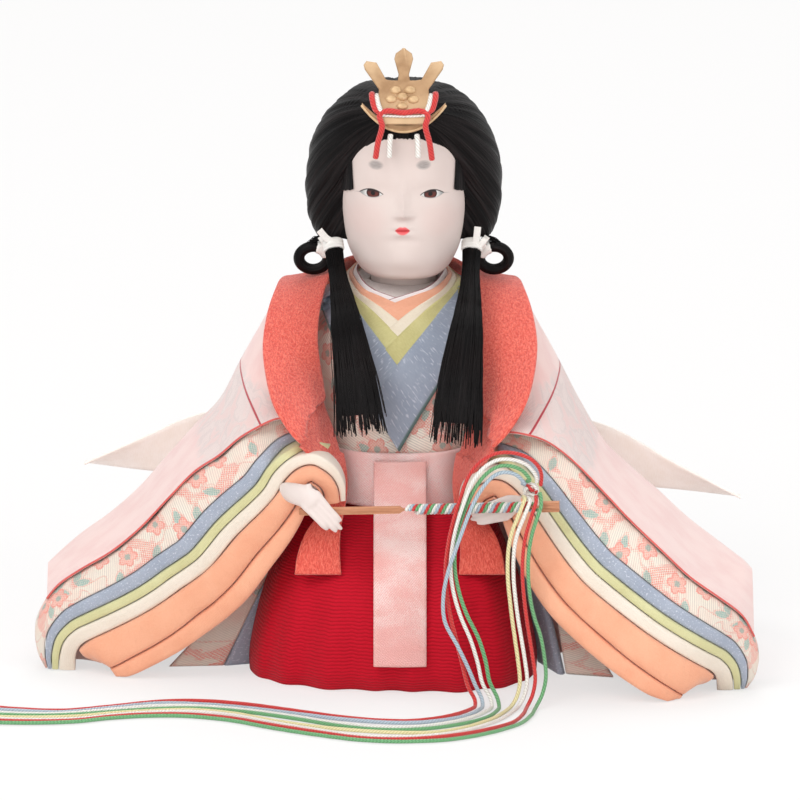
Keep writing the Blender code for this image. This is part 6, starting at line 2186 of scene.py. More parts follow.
@dataclass
class Back:
    """Pleated train from the back of the waist, and the two stiff ribbons above it."""

    train_finish: Material
    ribbon_finish: Material
    reach: float = 74.0
    waist: float = 54.5
    top_half: float = 22.0
    hem_half: float = 52.0
    pleat: float = 1.5
    pleats: int = 11
    thickness: float = 1.3
    ribbon_reach: float = 101.0
    ribbon_thickness: float = 0.9
    line: tuple = ((0.344, 1.21), (0.42, 0.99), (0.54, 0.75), (0.69, 0.51), (0.84, 0.26), (0.97, 0.06),
                   (1.01, 0.016))
    ribbons: dict = field(default_factory=lambda: {
        "left": (((-0.10, 0.415, 1.26), (-0.40, 0.42, 1.26), (-0.63, 0.40, 1.25), (-0.83, 0.37, 1.10),
                  (-1.0, 0.35, 0.955)),
                 ((-0.10, 0.455, 1.07), (-0.40, 0.44, 0.96), (-0.63, 0.42, 0.89), (-0.83, 0.44, 0.90),
                  (-1.0, 0.48, 0.925))),
        "right": (((0.10, 0.415, 1.26), (0.40, 0.42, 1.24), (0.65, 0.40, 1.18), (0.88, 0.37, 0.95),
                   (1.08, 0.35, 0.750)),
                  ((0.10, 0.455, 1.07), (0.40, 0.44, 0.94), (0.65, 0.42, 0.84), (0.88, 0.44, 0.78),
                   (1.08, 0.48, 0.720))),
    })

    def train(self) -> None:
        """Build the pleated train."""
        line = smooth([(0, deep * self.reach, high * self.waist) for deep, high in self.line], 46)
        folds = self.pleats * 2
        rows = []
        for index, point in enumerate(line):
            share = index / (len(line) - 1)
            half = self.top_half + (self.hem_half - self.top_half) * share
            row = []
            for step in range(folds * 6 + 1):
                across = 2 * step / (folds * 6) - 1
                ramp = abs((step / 6 + 1) % 2 - 1)
                pleat = self.pleat * (1 - ramp) ** 0.8 * (0.35 + 0.65 * share)
                row.append(Vector((across * half, point.y + pleat, point.z)) * MM)
            rows.append(row)
        rings = hemmed(rows, self.thickness * MM, lambda spot, face: face if face.y > 0 else -face, 0.2 * MM)
        train = shown(laid(closed_hem(rings), ring=True), "pleated_train", self.train_finish, Body.DOLL,
                      ["train"], crease=35)

    def ribbon(self, side: str, upper: Sequence, lower: Sequence) -> None:
        """Build one stiff ribbon.

        Args:
            side: Name of its side.
            upper: Upper edge as shares.
            lower: Lower edge as shares.
        """
        size = (self.ribbon_reach, self.reach, self.waist)
        rows = finer(spread(shared(upper, size), shared(lower, size), 11, 3), 80, 12)
        for index, row in enumerate(rows):
            for place, point in enumerate(row):
                point.y += 0.8 * MM * math.sin(index * 0.09 + place * 0.12)
        rings = hemmed(rows, self.ribbon_thickness * MM, lambda spot, face: face if face.y > 0 else -face)
        piece = shown(laid(closed_hem(rings), ring=True), f"stiff_ribbon_{side}", self.ribbon_finish,
                      Body.DOLL, [f"train_ribbon_{side}"])

    def build(self) -> None:
        """Build the train and both ribbons."""
        self.train()
        for side, (upper, lower) in self.ribbons.items():
            self.ribbon(side, upper, lower)


@dataclass
class Wardrobe:
    """All the clothing, with the finishes that its pieces share."""

    def finishes(self) -> dict[str, Material]:
        """Make the silks.

        Returns:
            Materials by name.
        """
        teal = (0.10, 0.16, 0.15)
        brocade = dict(ground=(0.80, 0.73, 0.62), hatch=(0.47, 0.42, 0.40), flower=(0.73, 0.22, 0.18),
                       blush=(0.82, 0.50, 0.42), leaf=(0.19, 0.38, 0.34))
        return {
            "peach": Silk("peach_silk", (0.86, 0.43, 0.27), (0.80, 0.35, 0.21), wrinkle=0.9).make(),
            "cream": Silk("cream_silk", (0.80, 0.72, 0.62), (0.74, 0.65, 0.54), (0.45, 0.36, 0.26)).make(),
            # The dark last colours of green and grey are painted crevice shade for the sleeve layers' inner
            # edges.
            "green": Silk("green_silk", (0.66, 0.64, 0.36), (0.55, 0.52, 0.26), (0.16, 0.19, 0.12)).make(),
            "grey": Silk("grey_silk", (0.38, 0.42, 0.50), (0.30, 0.34, 0.42), (0.08, 0.11, 0.11),
                         glitter=0.45).make(),
            "brocade": Brocade("brocade_hem", **brocade, repeat=14.0).make(),
            # Painted light: a lighter ground than the other brocades, to lift the shade that falls on the
            # chest.
            "brocade_body": Brocade("brocade_chest_lightened", **{**brocade, "ground": (0.90, 0.83, 0.72)}, repeat=14.0,
                                    shift=(4.0, 3.0), throat=113.5).make(),
            "brocade_panel": Brocade("brocade_panel", **brocade, repeat=15.0, shift=(11.0, 8.0)).make(),
            "outer": PatternedSilk("outer_silk", (0.85, 0.63, 0.59), (0.81, 0.55, 0.52), (0.83, 0.71, 0.67),
                                   (0.55, 0.47, 0.46)).make(),
            "pink": Silk("pink_silk", (0.86, 0.60, 0.56), (0.80, 0.52, 0.49), wrinkle=0.3).make(),
            "piping": Silk("coral_piping", (0.72, 0.14, 0.12), (0.60, 0.09, 0.08), wrinkle=0.1).make(),
            # The hakama's second colour is painted shade in the troughs between its ribs.
            "hakama": RibbedSilk("hakama_red", (0.52, 0.003, 0.018), (0.37, 0.0015, 0.011)).make(),
            "collar_white": Silk("collar_white", (0.85, 0.80, 0.79), (0.76, 0.70, 0.69),
                                 (0.22, 0.004, 0.02)).make(),
            "collar_peach": Silk("collar_peach", (0.82, 0.42, 0.28), (0.76, 0.34, 0.21)).make(),
            "collar_cream": Silk("collar_cream", (0.80, 0.71, 0.58), (0.70, 0.60, 0.45)).make(),
            "collar_green": Silk("collar_green", (0.62, 0.57, 0.27), (0.48, 0.43, 0.17)).make(),
            "collar_grey": Silk("collar_grey", (0.34, 0.38, 0.46), (0.26, 0.30, 0.38), teal,
                                glitter=0.4).make(),
            # The crepe's second colour is painted shade in its hollows, the third a painted highlight on its
            # raised threads.
            "crepe": Crepe("coral_crepe", (0.82, 0.13, 0.088), (0.66, 0.070, 0.050),
                           (0.88, 0.21, 0.15)).make(),
            "sash": Weave("sash_weave", (0.80, 0.40, 0.37), (0.86, 0.64, 0.61), (0.74, 0.30, 0.29)).make(),
            # Painted light: the belt is a lighter copy of the sash weave, to lift the shade that the sleeves
            # and locks cast on it.
            "belt": Weave("belt_weave_lightened", (0.93, 0.55, 0.52), (0.95, 0.76, 0.73), (0.88, 0.42, 0.41)).make(),
            "white": Silk("white_silk", (0.83, 0.81, 0.78), (0.74, 0.72, 0.69)).make(),
            "ribbon": Paper("ivory_ribbon", (0.93, 0.89, 0.84), (0.88, 0.82, 0.75)).make(),
        }

    def build(self) -> None:
        """Build the clothing from the inside out."""
        finishes = self.finishes()
        Robe(finishes).build()
        Trousers(finishes).build()
        Sleeve(Side.LEFT, LEFT_SLEEVE_PATH, finishes).build()
        Sleeve(Side.RIGHT, RIGHT_SLEEVE_PATH, finishes).build()
        Collars(finishes).build()
        Jacket(finishes["crepe"]).build()
        Sash(finishes["sash"], finishes["belt"]).build()
        Back(finishes["white"], finishes["ribbon"]).build()


# Face and head


@dataclass(frozen=True)
class PaintedFace:
    """White shell paint with painted brows, eyes and lips."""

    name: str = "painted_face"
    colour: Colour = (0.66, 0.555, 0.515)
    blush: Colour = (0.68, 0.48, 0.44)
    brow_grey: Colour = (0.27, 0.25, 0.24)
    iris: Colour = (0.115, 0.026, 0.020)
    line: Colour = (0.020, 0.012, 0.012)
    lip: Colour = (0.80, 0.105, 0.115)
    lip_deep: Colour = (0.50, 0.012, 0.022)
    brows: tuple[tuple[float, float], ...] = ((-7.7, 162.0), (7.5, 162.2))
    eyes: tuple[tuple[float, float, float], ...] = ((-8.6, 152.6, -1.0), (9.7, 152.5, 1.0))
    mouth: tuple[float, float] = (0.8, 141.1)
    hairline: tuple[float, float] = (1.2, 170.8)

    def paint(self, recipe: Recipe, base: object, strength: object, colour: object) -> Socket:
        """Colour with one more stroke of paint over it."""
        return recipe.mix(strength, base, colour)

    def oval(self, recipe: Recipe, x: object, z: object, centre: Sequence[float],
             radii: Sequence[float]) -> Socket:
        """Squared distance from the middle of an oval, 1 on its edge.

        Args:
            recipe: Recipe that holds the nodes.
            x: X in millimetres.
            z: Z in millimetres.
            centre: Middle of the oval.
            radii: Radii of the oval.

        Returns:
            Value socket.
        """
        wide = recipe.maths("DIVIDE", recipe.maths("SUBTRACT", x, centre[0]), radii[0])
        high = recipe.maths("DIVIDE", recipe.maths("SUBTRACT", z, centre[1]), radii[1])
        return recipe.maths("ADD", recipe.maths("MULTIPLY", wide, wide), recipe.maths("MULTIPLY", high, high))

    def eye(self, recipe: Recipe, base: object, x: object, z: object,
            place: Sequence[float]) -> Socket:
        """Paint one narrow eye.

        Args:
            recipe: Recipe that holds the nodes.
            base: Colour under it.
            x: X in millimetres.
            z: Z in millimetres.
            place: Middle of the iris, and the side that its outer corner is on.

        Returns:
            Colour socket.
        """
        outward = recipe.maths("MULTIPLY", recipe.maths("SUBTRACT", x, place[0]), place[2])
        up = recipe.maths("SUBTRACT", z, place[1])
        share = recipe.maths("DIVIDE", recipe.maths("SUBTRACT", outward, 0.55), 3.75)
        squared = recipe.maths("MULTIPLY", share, share)
        open_share = recipe.maths("SUBTRACT", 1.0, squared)
        top = recipe.maths("SUBTRACT", recipe.maths("MULTIPLY", open_share, 1.42), up)
        low = recipe.maths("ADD", up, recipe.maths("MULTIPLY", open_share, 1.22))
        inside = recipe.maths("MULTIPLY", recipe.mask(top, -0.05, 0.08), recipe.mask(low, -0.10, 0.12))
        white = recipe.mix(recipe.mask(outward, 2.0, 3.8), (0.66, 0.65, 0.63), (0.30, 0.31, 0.30))
        base = recipe.mix(inside, base, white)
        ball = self.oval(recipe, outward, up, (0.0, 0.12), (2.08, 1.75))
        iris = recipe.mix(recipe.mask(up, 0.1, 1.1), self.iris, self.line)
        iris = recipe.mix(recipe.maths("MULTIPLY", recipe.mask(ball, 0.45, 0.85), 0.7), iris, self.line)
        pupil = recipe.mask(self.oval(recipe, outward, up, (0.0, 0.15), (0.75, 0.75)), 1.1, 0.7)
        iris = recipe.mix(pupil, iris, (0.010, 0.006, 0.006))
        base = recipe.mix(recipe.maths("MULTIPLY", recipe.mask(ball, 1.08, 0.94), inside), base, iris)
        edge = recipe.mask(recipe.maths("ABSOLUTE", recipe.maths("SUBTRACT", top, 0.02)), 0.27, 0.10)
        lid = recipe.maths("MULTIPLY", edge, recipe.mask(squared, 1.12, 0.92))
        base = recipe.mix(recipe.maths("MULTIPLY", lid, 0.92), base, self.line)
        tail = recipe.maths("ABSOLUTE", recipe.maths("MULTIPLY_ADD", recipe.maths("SUBTRACT", outward, 4.0),
                                                     0.13, up))
        tail = recipe.maths("MULTIPLY", recipe.mask(tail, 0.24, 0.05), recipe.mask(outward, 3.6, 4.2))
        tail = recipe.maths("MULTIPLY", tail, recipe.mask(outward, 6.6, 4.4))
        base = recipe.mix(recipe.maths("MULTIPLY", tail, 0.5), base, self.brow_grey)
        under = recipe.maths("MULTIPLY", recipe.mask(recipe.maths("ABSOLUTE", low), 0.34, 0.06),
                             recipe.mask(squared, 1.2, 0.6))
        return recipe.mix(recipe.maths("MULTIPLY", under, 0.34), base, self.brow_grey)

    def lips(self, recipe: Recipe, base: object, x: object, z: object) -> Socket:
        """Paint the small red lips.

        Args:
            recipe: Recipe that holds the nodes.
            base: Colour under them.
            x: X in millimetres.
            z: Z in millimetres.

        Returns:
            Colour socket.
        """
        across = recipe.maths("SUBTRACT", x, self.mouth[0])
        up = recipe.maths("SUBTRACT", z, self.mouth[1])
        share = recipe.maths("DIVIDE", across, 2.5)
        full = recipe.maths("SUBTRACT", 1.0, recipe.maths("MULTIPLY", share, share))
        bow = recipe.maths("MULTIPLY_ADD", recipe.maths("MINIMUM", recipe.maths("ABSOLUTE", across), 0.9),
                           0.35, 1.25)
        top = recipe.maths("SUBTRACT", recipe.maths("MULTIPLY", full, bow), up)
        low = recipe.maths("ADD", up, recipe.maths("MULTIPLY", full, 1.30))
        inside = recipe.maths("MULTIPLY", recipe.mask(top, -0.22, 0.30), recipe.mask(low, -0.25, 0.40))
        colour = recipe.mix(recipe.mask(recipe.maths("ABSOLUTE", up), 0.62, 0.05), self.lip, self.lip_deep)
        return recipe.mix(recipe.maths("MULTIPLY", inside, 0.94), base, colour)

    def make(self) -> Material:
        """Build the material.

        Returns:
            The material.
        """
        recipe = Recipe(self.name, Roughness=0.52, Specular_IOR_Level=0.32)
        place = recipe.place()
        x, y, z = recipe.split(place)
        front = recipe.mask(y, -4.0, -9.0)
        patch = recipe.grain(place, 0.12, 2.0)
        colour = recipe.mix(recipe.mask(patch, 0.3, 0.8), self.colour, (0.68, 0.58, 0.54))
        for side in (-1, 1):
            cheek = recipe.mask(self.oval(recipe, x, z, (1.0 + side * 11.5, 144.5), (8.0, 7.0)), 1.0, 0.0)
            colour = recipe.mix(recipe.maths("MULTIPLY", cheek, 0.28), colour, self.blush)
        painted = colour
        streaks = recipe.grain(recipe.place((0.5, 0.5, 2.6)), 1.1, 2.0)
        for brow in self.brows:
            soft = recipe.mask(self.oval(recipe, x, z, brow, (2.55, 1.65)), 1.15, 0.15)
            soft = recipe.maths("MULTIPLY", soft, recipe.maths("MULTIPLY_ADD", streaks, 0.7, 0.42))
            painted = recipe.mix(soft, painted, self.brow_grey)
        for eye in self.eyes:
            painted = self.eye(recipe, painted, x, z, eye)
        painted = self.lips(recipe, painted, x, z)
        fine = recipe.grain(recipe.place((2.4, 0.3, 0.16)), 1.3, 1.0)
        edge = recipe.maths("MULTIPLY_ADD", fine, 3.4, recipe.maths("SUBTRACT", z, self.hairline[1] + 1.9))
        beside = recipe.mask(recipe.maths("ABSOLUTE", recipe.maths("SUBTRACT", x, self.hairline[0])), 8.0,
                             5.5)
        painted = recipe.mix(recipe.maths("MULTIPLY", recipe.mask(edge, 0.0, 0.9), beside), painted,
                             self.line)
        colour = recipe.mix(front, colour, painted)
        return recipe.finish(colour, recipe.grain(place, 1.6, 2.0), 0.012)


@dataclass
class Head:
    """Head with its neck, hollow for the peg, and a softly modelled face."""

    centre: float = 1.2
    half_width: float = 20.6
    front: float = 28.0
    back: float = 16.0
    chin: float = 122.5
    face: float = 56.0
    neck: float = 10.6
    neck_foot: float = 113.2
    neck_top: float = 121.2
    bore: float = 2.9
    bore_top: float = 135.2
    squareness: float = 2.3
    levels: tuple = ((0.47, 0.50, 0.55, 0.000), (0.66, 0.84, 0.70, 0.035), (0.80, 0.93, 0.85, 0.105),
                     (0.90, 0.965, 0.95, 0.20),
                     (0.965, 0.985, 1.00, 0.31), (1.00, 0.98, 1.00, 0.42), (1.01, 0.955, 1.00, 0.54),
                     (1.00, 0.95, 1.00, 0.66),
                     (0.95, 0.91, 0.97, 0.78), (0.82, 0.78, 0.86, 0.90), (0.50, 0.48, 0.55, 0.985))
    swellings: tuple = ((0.0, 153.0, 1.5, 4.0, 0.55), (0.0, 149.3, 1.45, 2.6, 0.75),
                        (0.0, 146.5, 1.75, 1.5, 1.35),
                        (-2.3, 146.0, 1.0, 1.0, 0.55), (2.3, 146.0, 1.0, 1.0, 0.55),
                        (0.0, 143.9, 1.4, 0.8, -0.25),
                        (-9.6, 152.8, 5.2, 2.6, -0.55), (9.2, 152.8, 5.2, 2.6, -0.55),
                        (-9.6, 152.9, 3.4, 1.3, 0.32),
                        (9.2, 152.9, 3.4, 1.3, 0.32), (-0.4, 142.1, 2.3, 0.75, 0.42),
                        (-0.4, 140.1, 1.9, 0.8, 0.50),
                        (-0.4, 141.15, 2.4, 0.35, -0.30), (0.0, 137.6, 4.5, 1.2, -0.35),
                        (0.0, 131.5, 6.0, 4.0, 0.7),
                        (-11.5, 144.0, 6.0, 6.0, 0.35), (11.5, 144.0, 6.0, 6.0, 0.35))

    def relief(self, x: float, z: float) -> float:
        """How far the face stands forward of its plain oval, in millimetres.

        Args:
            x: Place across the face.
            z: Height of the place.

        Returns:
            Rise in millimetres.
        """
        total = 0.0
        for wide, high, spread_x, spread_z, amount in self.swellings:
            total += amount * 1.7 * math.exp(-((x - self.centre - wide) / spread_x) ** 2
                                             - ((z - high) / spread_z) ** 2)
        return total

    def level_at(self, height: float) -> tuple[float, float]:
        """Half width and front reach of the face at a height in millimetres.

        Args:
            height: Height in millimetres.

        Returns:
            Half width and reach in millimetres.
        """
        share = (height - self.chin) / self.face
        table = list(zip(*self.columns(200)))
        wide, fore, _, _ = min(table, key=lambda row: abs(row[3] - share))
        return wide * self.half_width, fore * self.front

    def columns(self, count: int) -> list[list[float]]:
        """Smoothly read columns of the level table."""
        return [smooth_numbers([level[place] for level in self.levels], count) for place in range(4)]

    def build(self, finish: Material) -> None:
        """Build the head.

        Args:
            finish: Painted face.
        """
        count = 176
        centre = self.centre * MM
        rings = []
        for radius, height in ((self.bore, self.bore_top), (self.bore, self.neck_foot),
                               (self.neck, self.neck_foot),
                               (self.neck, 115.6), (self.neck * 0.99, 118.4), (self.neck, self.neck_top)):
            rings.append(ring_of(centre, radius * MM, radius * MM, radius * MM, height * MM, count, 0.0, 2.0))
        for wide, fore, aft, level in zip(*self.columns(130)):
            rings.append(ring_of(centre, wide * self.half_width * MM, fore * self.front * MM,
                                 aft * self.back * MM,
                                 (self.chin + level * self.face) * MM, count, 0.0, self.squareness))
        for ring in rings[6:]:
            for point in ring:
                if point.y < 0:
                    point.y -= self.relief(point.x / MM, point.z / MM) * MM * min(-point.y / (9 * MM), 1.0)
        piece = shown(laid(rings, ring=True), "painted_head", finish, Body.HEAD, ["head"], crease=45)


# Hair


def merged(parts: Iterable[BMesh]) -> BMesh:
    """Put several meshes into one.

    Args:
        parts: Meshes, which are freed.

    Returns:
        One mesh.
    """
    whole = bmesh.new()
    for part in parts:
        data = bpy.data.meshes.new("part")
        part.to_mesh(data)
        part.free()
        whole.from_mesh(data)
        bpy.data.meshes.remove(data)
    return whole


def strip(points: Sequence[Sequence[float]], width: float, facing: Sequence[float],
          thickness: float = 0.3) -> BMesh:
    """Flat strip of paper along a line.

    Args:
        points: Line in millimetres.
        width: Width in millimetres.
        facing: Direction of its face.
        thickness: Thickness in millimetres.

    Returns:
        Mesh of the strip.
    """
    path = smooth([Vector(point) * MM for point in points], 12)
    face = Vector(facing).normalized()
    rows = []
    for point, (wide, _) in zip(path, frames_along(path, face)):
        rows.append([point - wide * width / 2 * MM, point, point + wide * width / 2 * MM])
    return laid(closed_hem(hemmed(rows, thickness * MM, lambda spot,
                                  out: out if out.dot(face) > 0 else -out)), ring=True)


@dataclass
class Strand:
    """Tied hank of hair: its course and how wide and deep it is along it."""

    name: str
    tie: str
    path: Row
    half_width: float
    half_depth: float
    widths: tuple[float, ...]
    depths: tuple[float, ...]
    facing: Vector
    hairs: int
    loose: float
    tie_height: float = 4.0
    gap: float = 0.35

    def build(self, hair: Material, paper: Material, strips: list[BMesh]) -> None:
        """Build the hank, its paper tie and the tie's loose strips.

        Args:
            hair: Material of the hair.
            paper: Material of the tie.
            strips: Loose strips that belong to the tie.
        """
        count = len(self.path)
        widths = [share * self.half_width * MM for share in smooth_numbers(self.widths, count)]
        depths = [share * self.half_depth * MM for share in smooth_numbers(self.depths, count)]
        top = self.path[0]
        fall = (self.path[1] - top).normalized()
        wraps = [top + fall * self.tie_height * MM * step / 24 for step in range(25)]
        grow = [1.05 + 0.06 * abs(math.sin(math.pi * 3 * step / 24)) for step in range(25)]
        band = swept(wraps, [widths[0] * share for share in grow], [depths[0] * share for share in grow], 28,
                     self.facing)
        tie = shown(merged([laid(band, ring=True)] + strips), f"paper_{self.tie}", paper, Body.HEAD,
                    [self.tie], crease=50)
        start = top + fall * (self.tie_height + self.gap) * MM
        below = [point for point in self.path if (point - top).dot(fall) > self.tie_height * 1.5 * MM]
        skipped = count - len(below) - 1
        line = smooth([start] + below, 60)
        wides = smooth_numbers(widths[skipped:], 60)
        deeps = smooth_numbers(depths[skipped:], 60)

        def ridge(turn: float, share: float) -> float:
            """Uneven surface of the combed hair."""
            return 0.90 + 0.09 * noise.noise(Vector((turn * 3.2, share * 1.5, len(self.name)))) \
                + 0.05 * noise.noise(Vector((turn * 9.0, share * 2.0, 4.0)))

        taper = [1.0 if index < 50 else 1.0 - 0.55 * ((index - 49) / 10) ** 1.6 for index in range(60)]
        core = swept(line[:56], [wide * share for wide, share in zip(wides, taper)][:56],
                     [deep * share for deep, share in zip(deeps, taper)][:56], 56, self.facing, ridge)
        parts = [laid(core, ring=True)]
        frames = frames_along(line, self.facing)
        draw = random.Random(len(self.name) * 7 + self.hairs)
        for _ in range(self.hairs):
            turn, reach = draw.uniform(0, 2 * math.pi), draw.uniform(0.72, 1.03) ** 0.5
            fray = draw.gauss(0, 1) * self.loose
            end = 1.0 - 0.16 * draw.random() ** 2
            beyond = draw.uniform(0.0, 2.4)
            wander = draw.uniform(0, 50)
            course = []
            for step in range(22):
                share = step / 21 * end
                place = share * 59
                low = min(int(place), 58)
                part = place - low
                point = line[low].lerp(line[low + 1], part)
                wide, deep = frames[low][0].lerp(frames[low + 1][0],
                                                 part), frames[low][1].lerp(frames[low + 1][1], part)
                across = math.cos(turn) * reach + fray * share ** 3 * 0.10
                across += 0.05 * noise.noise(Vector((wander, share * 4, 0)))
                front = math.sin(turn) * reach + 0.10 * noise.noise(Vector((wander, share * 4, 9)))
                course.append(point + wide * wides[low] * across + deep * deeps[low] * front)
            course.append(course[-1] + (course[-1] - course[-3]).normalized() * max(beyond, 0.2) * MM)
            radius = draw.uniform(0.13, 0.24) * MM
            rings = rolled(course, radius, 4)
            parts.append(laid(rings, ring=True))
        piece = shown(merged(parts), f"strands_{self.name}", hair, Body.HEAD, [self.name], crease=70)


@dataclass
class Hair:
    """Wig combed out from the crown, with tied locks, side loops and the long tail at the back."""

    head: Head
    centre: float = 1.2
    half_width: float = 31.0
    front: float = 24.0
    back: float = 25.0
    foot: float = 134.5
    height: float = 49.0
    lock_length: float = 51.0
    lock_half_width: float = 7.8
    lock_half_depth: float = 1.7
    tail_half_width: float = 12.0
    tail_half_depth: float = 2.6
    tail_length: float = 108.0
    train_reach: float = 74.0
    loop: tuple[float, float, float] = (4.6, 3.8, 1.75)
    parting: tuple[float, float, float] = (1.2, -23.0, 178.0)
    middle: tuple[float, float, float] = (1.2, -2.0, 157.0)
    levels: tuple = ((0.90, 0.46, 0.82, 0.00), (0.96, 0.50, 0.92, 0.10), (0.99, 0.55, 0.98, 0.22),
                     (1.00, 0.62, 1.00, 0.35),
                     (0.985, 0.75, 1.00, 0.48), (0.93, 0.88, 0.96, 0.62), (0.82, 1.00, 0.88, 0.76),
                     (0.66, 0.98, 0.74, 0.88),
                     (0.42, 0.70, 0.52, 0.97), (0.16, 0.30, 0.24, 1.00))
    locks: dict = field(default_factory=lambda: {
        "left": ((-2.76, -0.36, -0.02), (-2.60, -0.74, -0.14), (-2.40, -1.24, -0.27), (-2.12, -1.84, -0.46),
                 (-1.82, -2.26, -0.72), (-1.60, -2.46, -1.00)),
        "right": ((2.96, -0.36, -0.02), (2.90, -0.74, -0.14), (2.84, -1.26, -0.27), (2.68, -1.92, -0.46),
                  (2.44, -2.46, -0.72), (2.26, -2.72, -1.04)),
    })
    lock_widths: tuple = (0.40, 0.34, 0.45, 0.70, 0.88, 1.00)
    lock_depths: tuple = (1.10, 0.90, 1.15, 1.10, 0.90, 0.55)
    tail_path: tuple = ((0.264, 0.015), (0.35, 0.075), (0.49, 0.13), (0.53, 0.32), (0.55, 0.50), (0.61, 0.66),
                        (0.76, 0.80),
                        (0.90, 0.92), (1.00, 1.00))
    tail_widths: tuple = (0.50, 0.60, 0.85, 1.00, 1.00, 0.92, 0.75)
    tail_depths: tuple = (0.80, 0.95, 1.10, 1.00, 0.90, 0.80, 0.55)

    def flow(self, point: Vector) -> tuple[float, float]:
        """Turn about the parting and distance from it, in metres, which the strands follow.

        Args:
            point: Place on the wig.

        Returns:
            Distance round and distance along.
        """
        pole, inner = Vector(self.parting) * MM, Vector(self.middle) * MM
        axis = (pole - inner).normalized()
        wide = Vector((1, 0, 0))
        high = axis.cross(wide)
        away = point - pole
        turn = math.atan2(-away.dot(wide), away.dot(high) + 1e-9)
        return turn * 26 * MM, away.length

    def wig(self, finish: Material) -> None:
        """Build the wig.

        Args:
            finish: Material of the hair.
        """
        count, stack = 440, 92
        columns = [smooth_numbers([level[place] for level in self.levels], stack) for place in range(4)]
        rings = []
        for grow, lift in ((0.74, 6.0), (0.86, 1.2), (0.955, -0.2)):
            wide, fore, aft, level = (column[0] for column in columns)
            rings.append(ring_of(self.centre * MM, wide * grow * self.half_width * MM,
                                 fore * grow * self.front * MM,
                                 aft * grow * self.back * MM, (self.foot + lift) * MM, count))
        for wide, fore, aft, level in zip(*columns):
            rings.append(ring_of(self.centre * MM, wide * self.half_width * MM, fore * self.front * MM,
                                 aft * self.back * MM, (self.foot + level * self.height) * MM, count))
        for ring in rings[3:]:
            for point in ring:
                around, along = (value / MM for value in self.flow(point))
                drift = around + 1.6 * noise.noise(Vector((around * 0.05, along * 0.06, 3.0)))
                lift = 0.25 + 0.62 * noise.noise(Vector((drift * 0.42, along * 0.018, 0))) \
                    + 0.24 * noise.noise(Vector((drift * 1.5, along * 0.03, 5)))
                outward = Vector((point.x - self.centre * MM, point.y,
                                  (point.z - 150 * MM) * 0.6)).normalized()
                point += outward * lift * MM
        mesh = laid(rings, ring=True)
        uv = mesh.loops.layers.uv["UVMap"]
        limit = math.pi * 26 * MM
        for face in mesh.faces:
            flows = [self.flow(loop.vert.co) for loop in face.loops]
            turned = max(flow[0] for flow in flows) - min(flow[0] for flow in flows) > limit
            for loop, (around, along) in zip(face.loops, flows):
                loop[uv].uv = (around + 2 * limit if turned and around < 0 else around, along)
        piece = shown(mesh, "combed_wig", finish, Body.HEAD, ["hair_cap"], crease=70)

    def sideburn(self, side: int, finish: Material) -> None:
        """Lay a block of hair with a square lower end over the temple.

        Args:
            side: -1 or 1.
            finish: Material of the hair.
        """
        rows = []
        for step in range(26):
            row = []
            for column in range(16):
                share = column / 15
                bottom = 153.2 + (149.9 - 153.2) * share + 0.25 * math.sin(column * 2.3)
                height = 171.0 + (bottom - 171.0) * step / 25
                wide, fore = self.head.level_at(height)
                inner = 16.9 - 0.9 * step / 25
                first = math.acos(min((inner / wide) ** (self.head.squareness / 2), 1.0))
                turn = first + (0.16 - first) * share
                reach = 0.62 + 0.05 * math.sin(column * 1.9 + step * 0.2)
                x = math.cos(turn) ** (2 / self.head.squareness) * wide
                y = -math.sin(turn) ** (2 / self.head.squareness) * fore
                out = Vector((x / wide, y / fore, 0)).normalized()
                row.append(Vector((self.centre + side * (x + out.x * reach * 0.2), y + out.y * reach * 0.2,
                                   height)) * MM)
            rows.append(row)
        centre = Vector((self.centre * MM, 0, 0))

        def outward(point: Vector, face: Vector) -> Vector:
            """Direction away from the head.

            Args:
                point: Place on the hair.
                face: Direction that the place faces; not used.

            Returns:
                Unit vector.
            """
            away = point - centre
            away.z = 0
            return away.normalized()

        mesh = laid(closed_hem(hemmed(rows, 0.55 * MM, outward)), ring=True)
        piece = shown(mesh, f"sideburn_{'left' if side < 0 else 'right'}", finish, Body.HEAD, crease=60)

    def side_loop(self, side: int, hair: Material, paper: Material) -> None:
        """Roll one loop of hair at the foot of the wig, bound with paper on its inner side.

        Args:
            side: -1 or 1.
            hair: Material of the hair.
            paper: Material of the binding.
        """
        word = "left" if side < 0 else "right"
        wide, high, wire = self.loop
        middle = Vector((self.centre + side * (0.88 * self.half_width + 1.6), -0.20 * self.front,
                         self.foot - 7.3))
        path = []
        for step in range(73):
            turn = 2 * math.pi * step / 72 + math.pi / 2
            path.append((middle + Vector((side * wide * math.cos(turn), -0.5 * math.sin(turn),
                                          high * math.sin(turn)))) * MM)
        rings = rolled(path, wire * MM, 22)
        for index, ring in enumerate(rings):
            point = sum(ring, Vector()) / len(ring)
            for place, spot in enumerate(ring):
                ripple = 1.0 + 0.10 * noise.noise(Vector((place * 1.3, math.sin(index * 0.087) * 0.8, side)))
                ring[place] = point + (spot - point) * ripple
        parts = [laid(rings, ring=True)]
        draw = random.Random(17 + side)
        for _ in range(26):
            turn = draw.uniform(0.15, 1.5)
            start = middle + Vector((side * draw.uniform(-4.6, -1.6), draw.uniform(-1.6, 1.6),
                                     high + draw.uniform(2.2, 3.4)))
            end = middle + Vector((side * wide * math.cos(turn), draw.uniform(-1.6, 1.2),
                                   high * math.sin(turn) + wire * 0.7))
            bend = start.lerp(end, 0.5) + Vector((0, 0, draw.uniform(0.4, 1.4)))
            course = smooth([start * MM, bend * MM, end * MM], 9)
            parts.append(laid(rolled(course, draw.uniform(0.10, 0.18) * MM, 4), ring=True))
        piece = shown(merged(parts), f"hair_ring_{word}", hair, Body.HEAD, [f"hair_loop_{word}"], crease=70)
        bound = path[4:15]
        band = rolled(bound, (wire + 0.3) * MM, 20)
        strips = [laid(band, ring=True)]
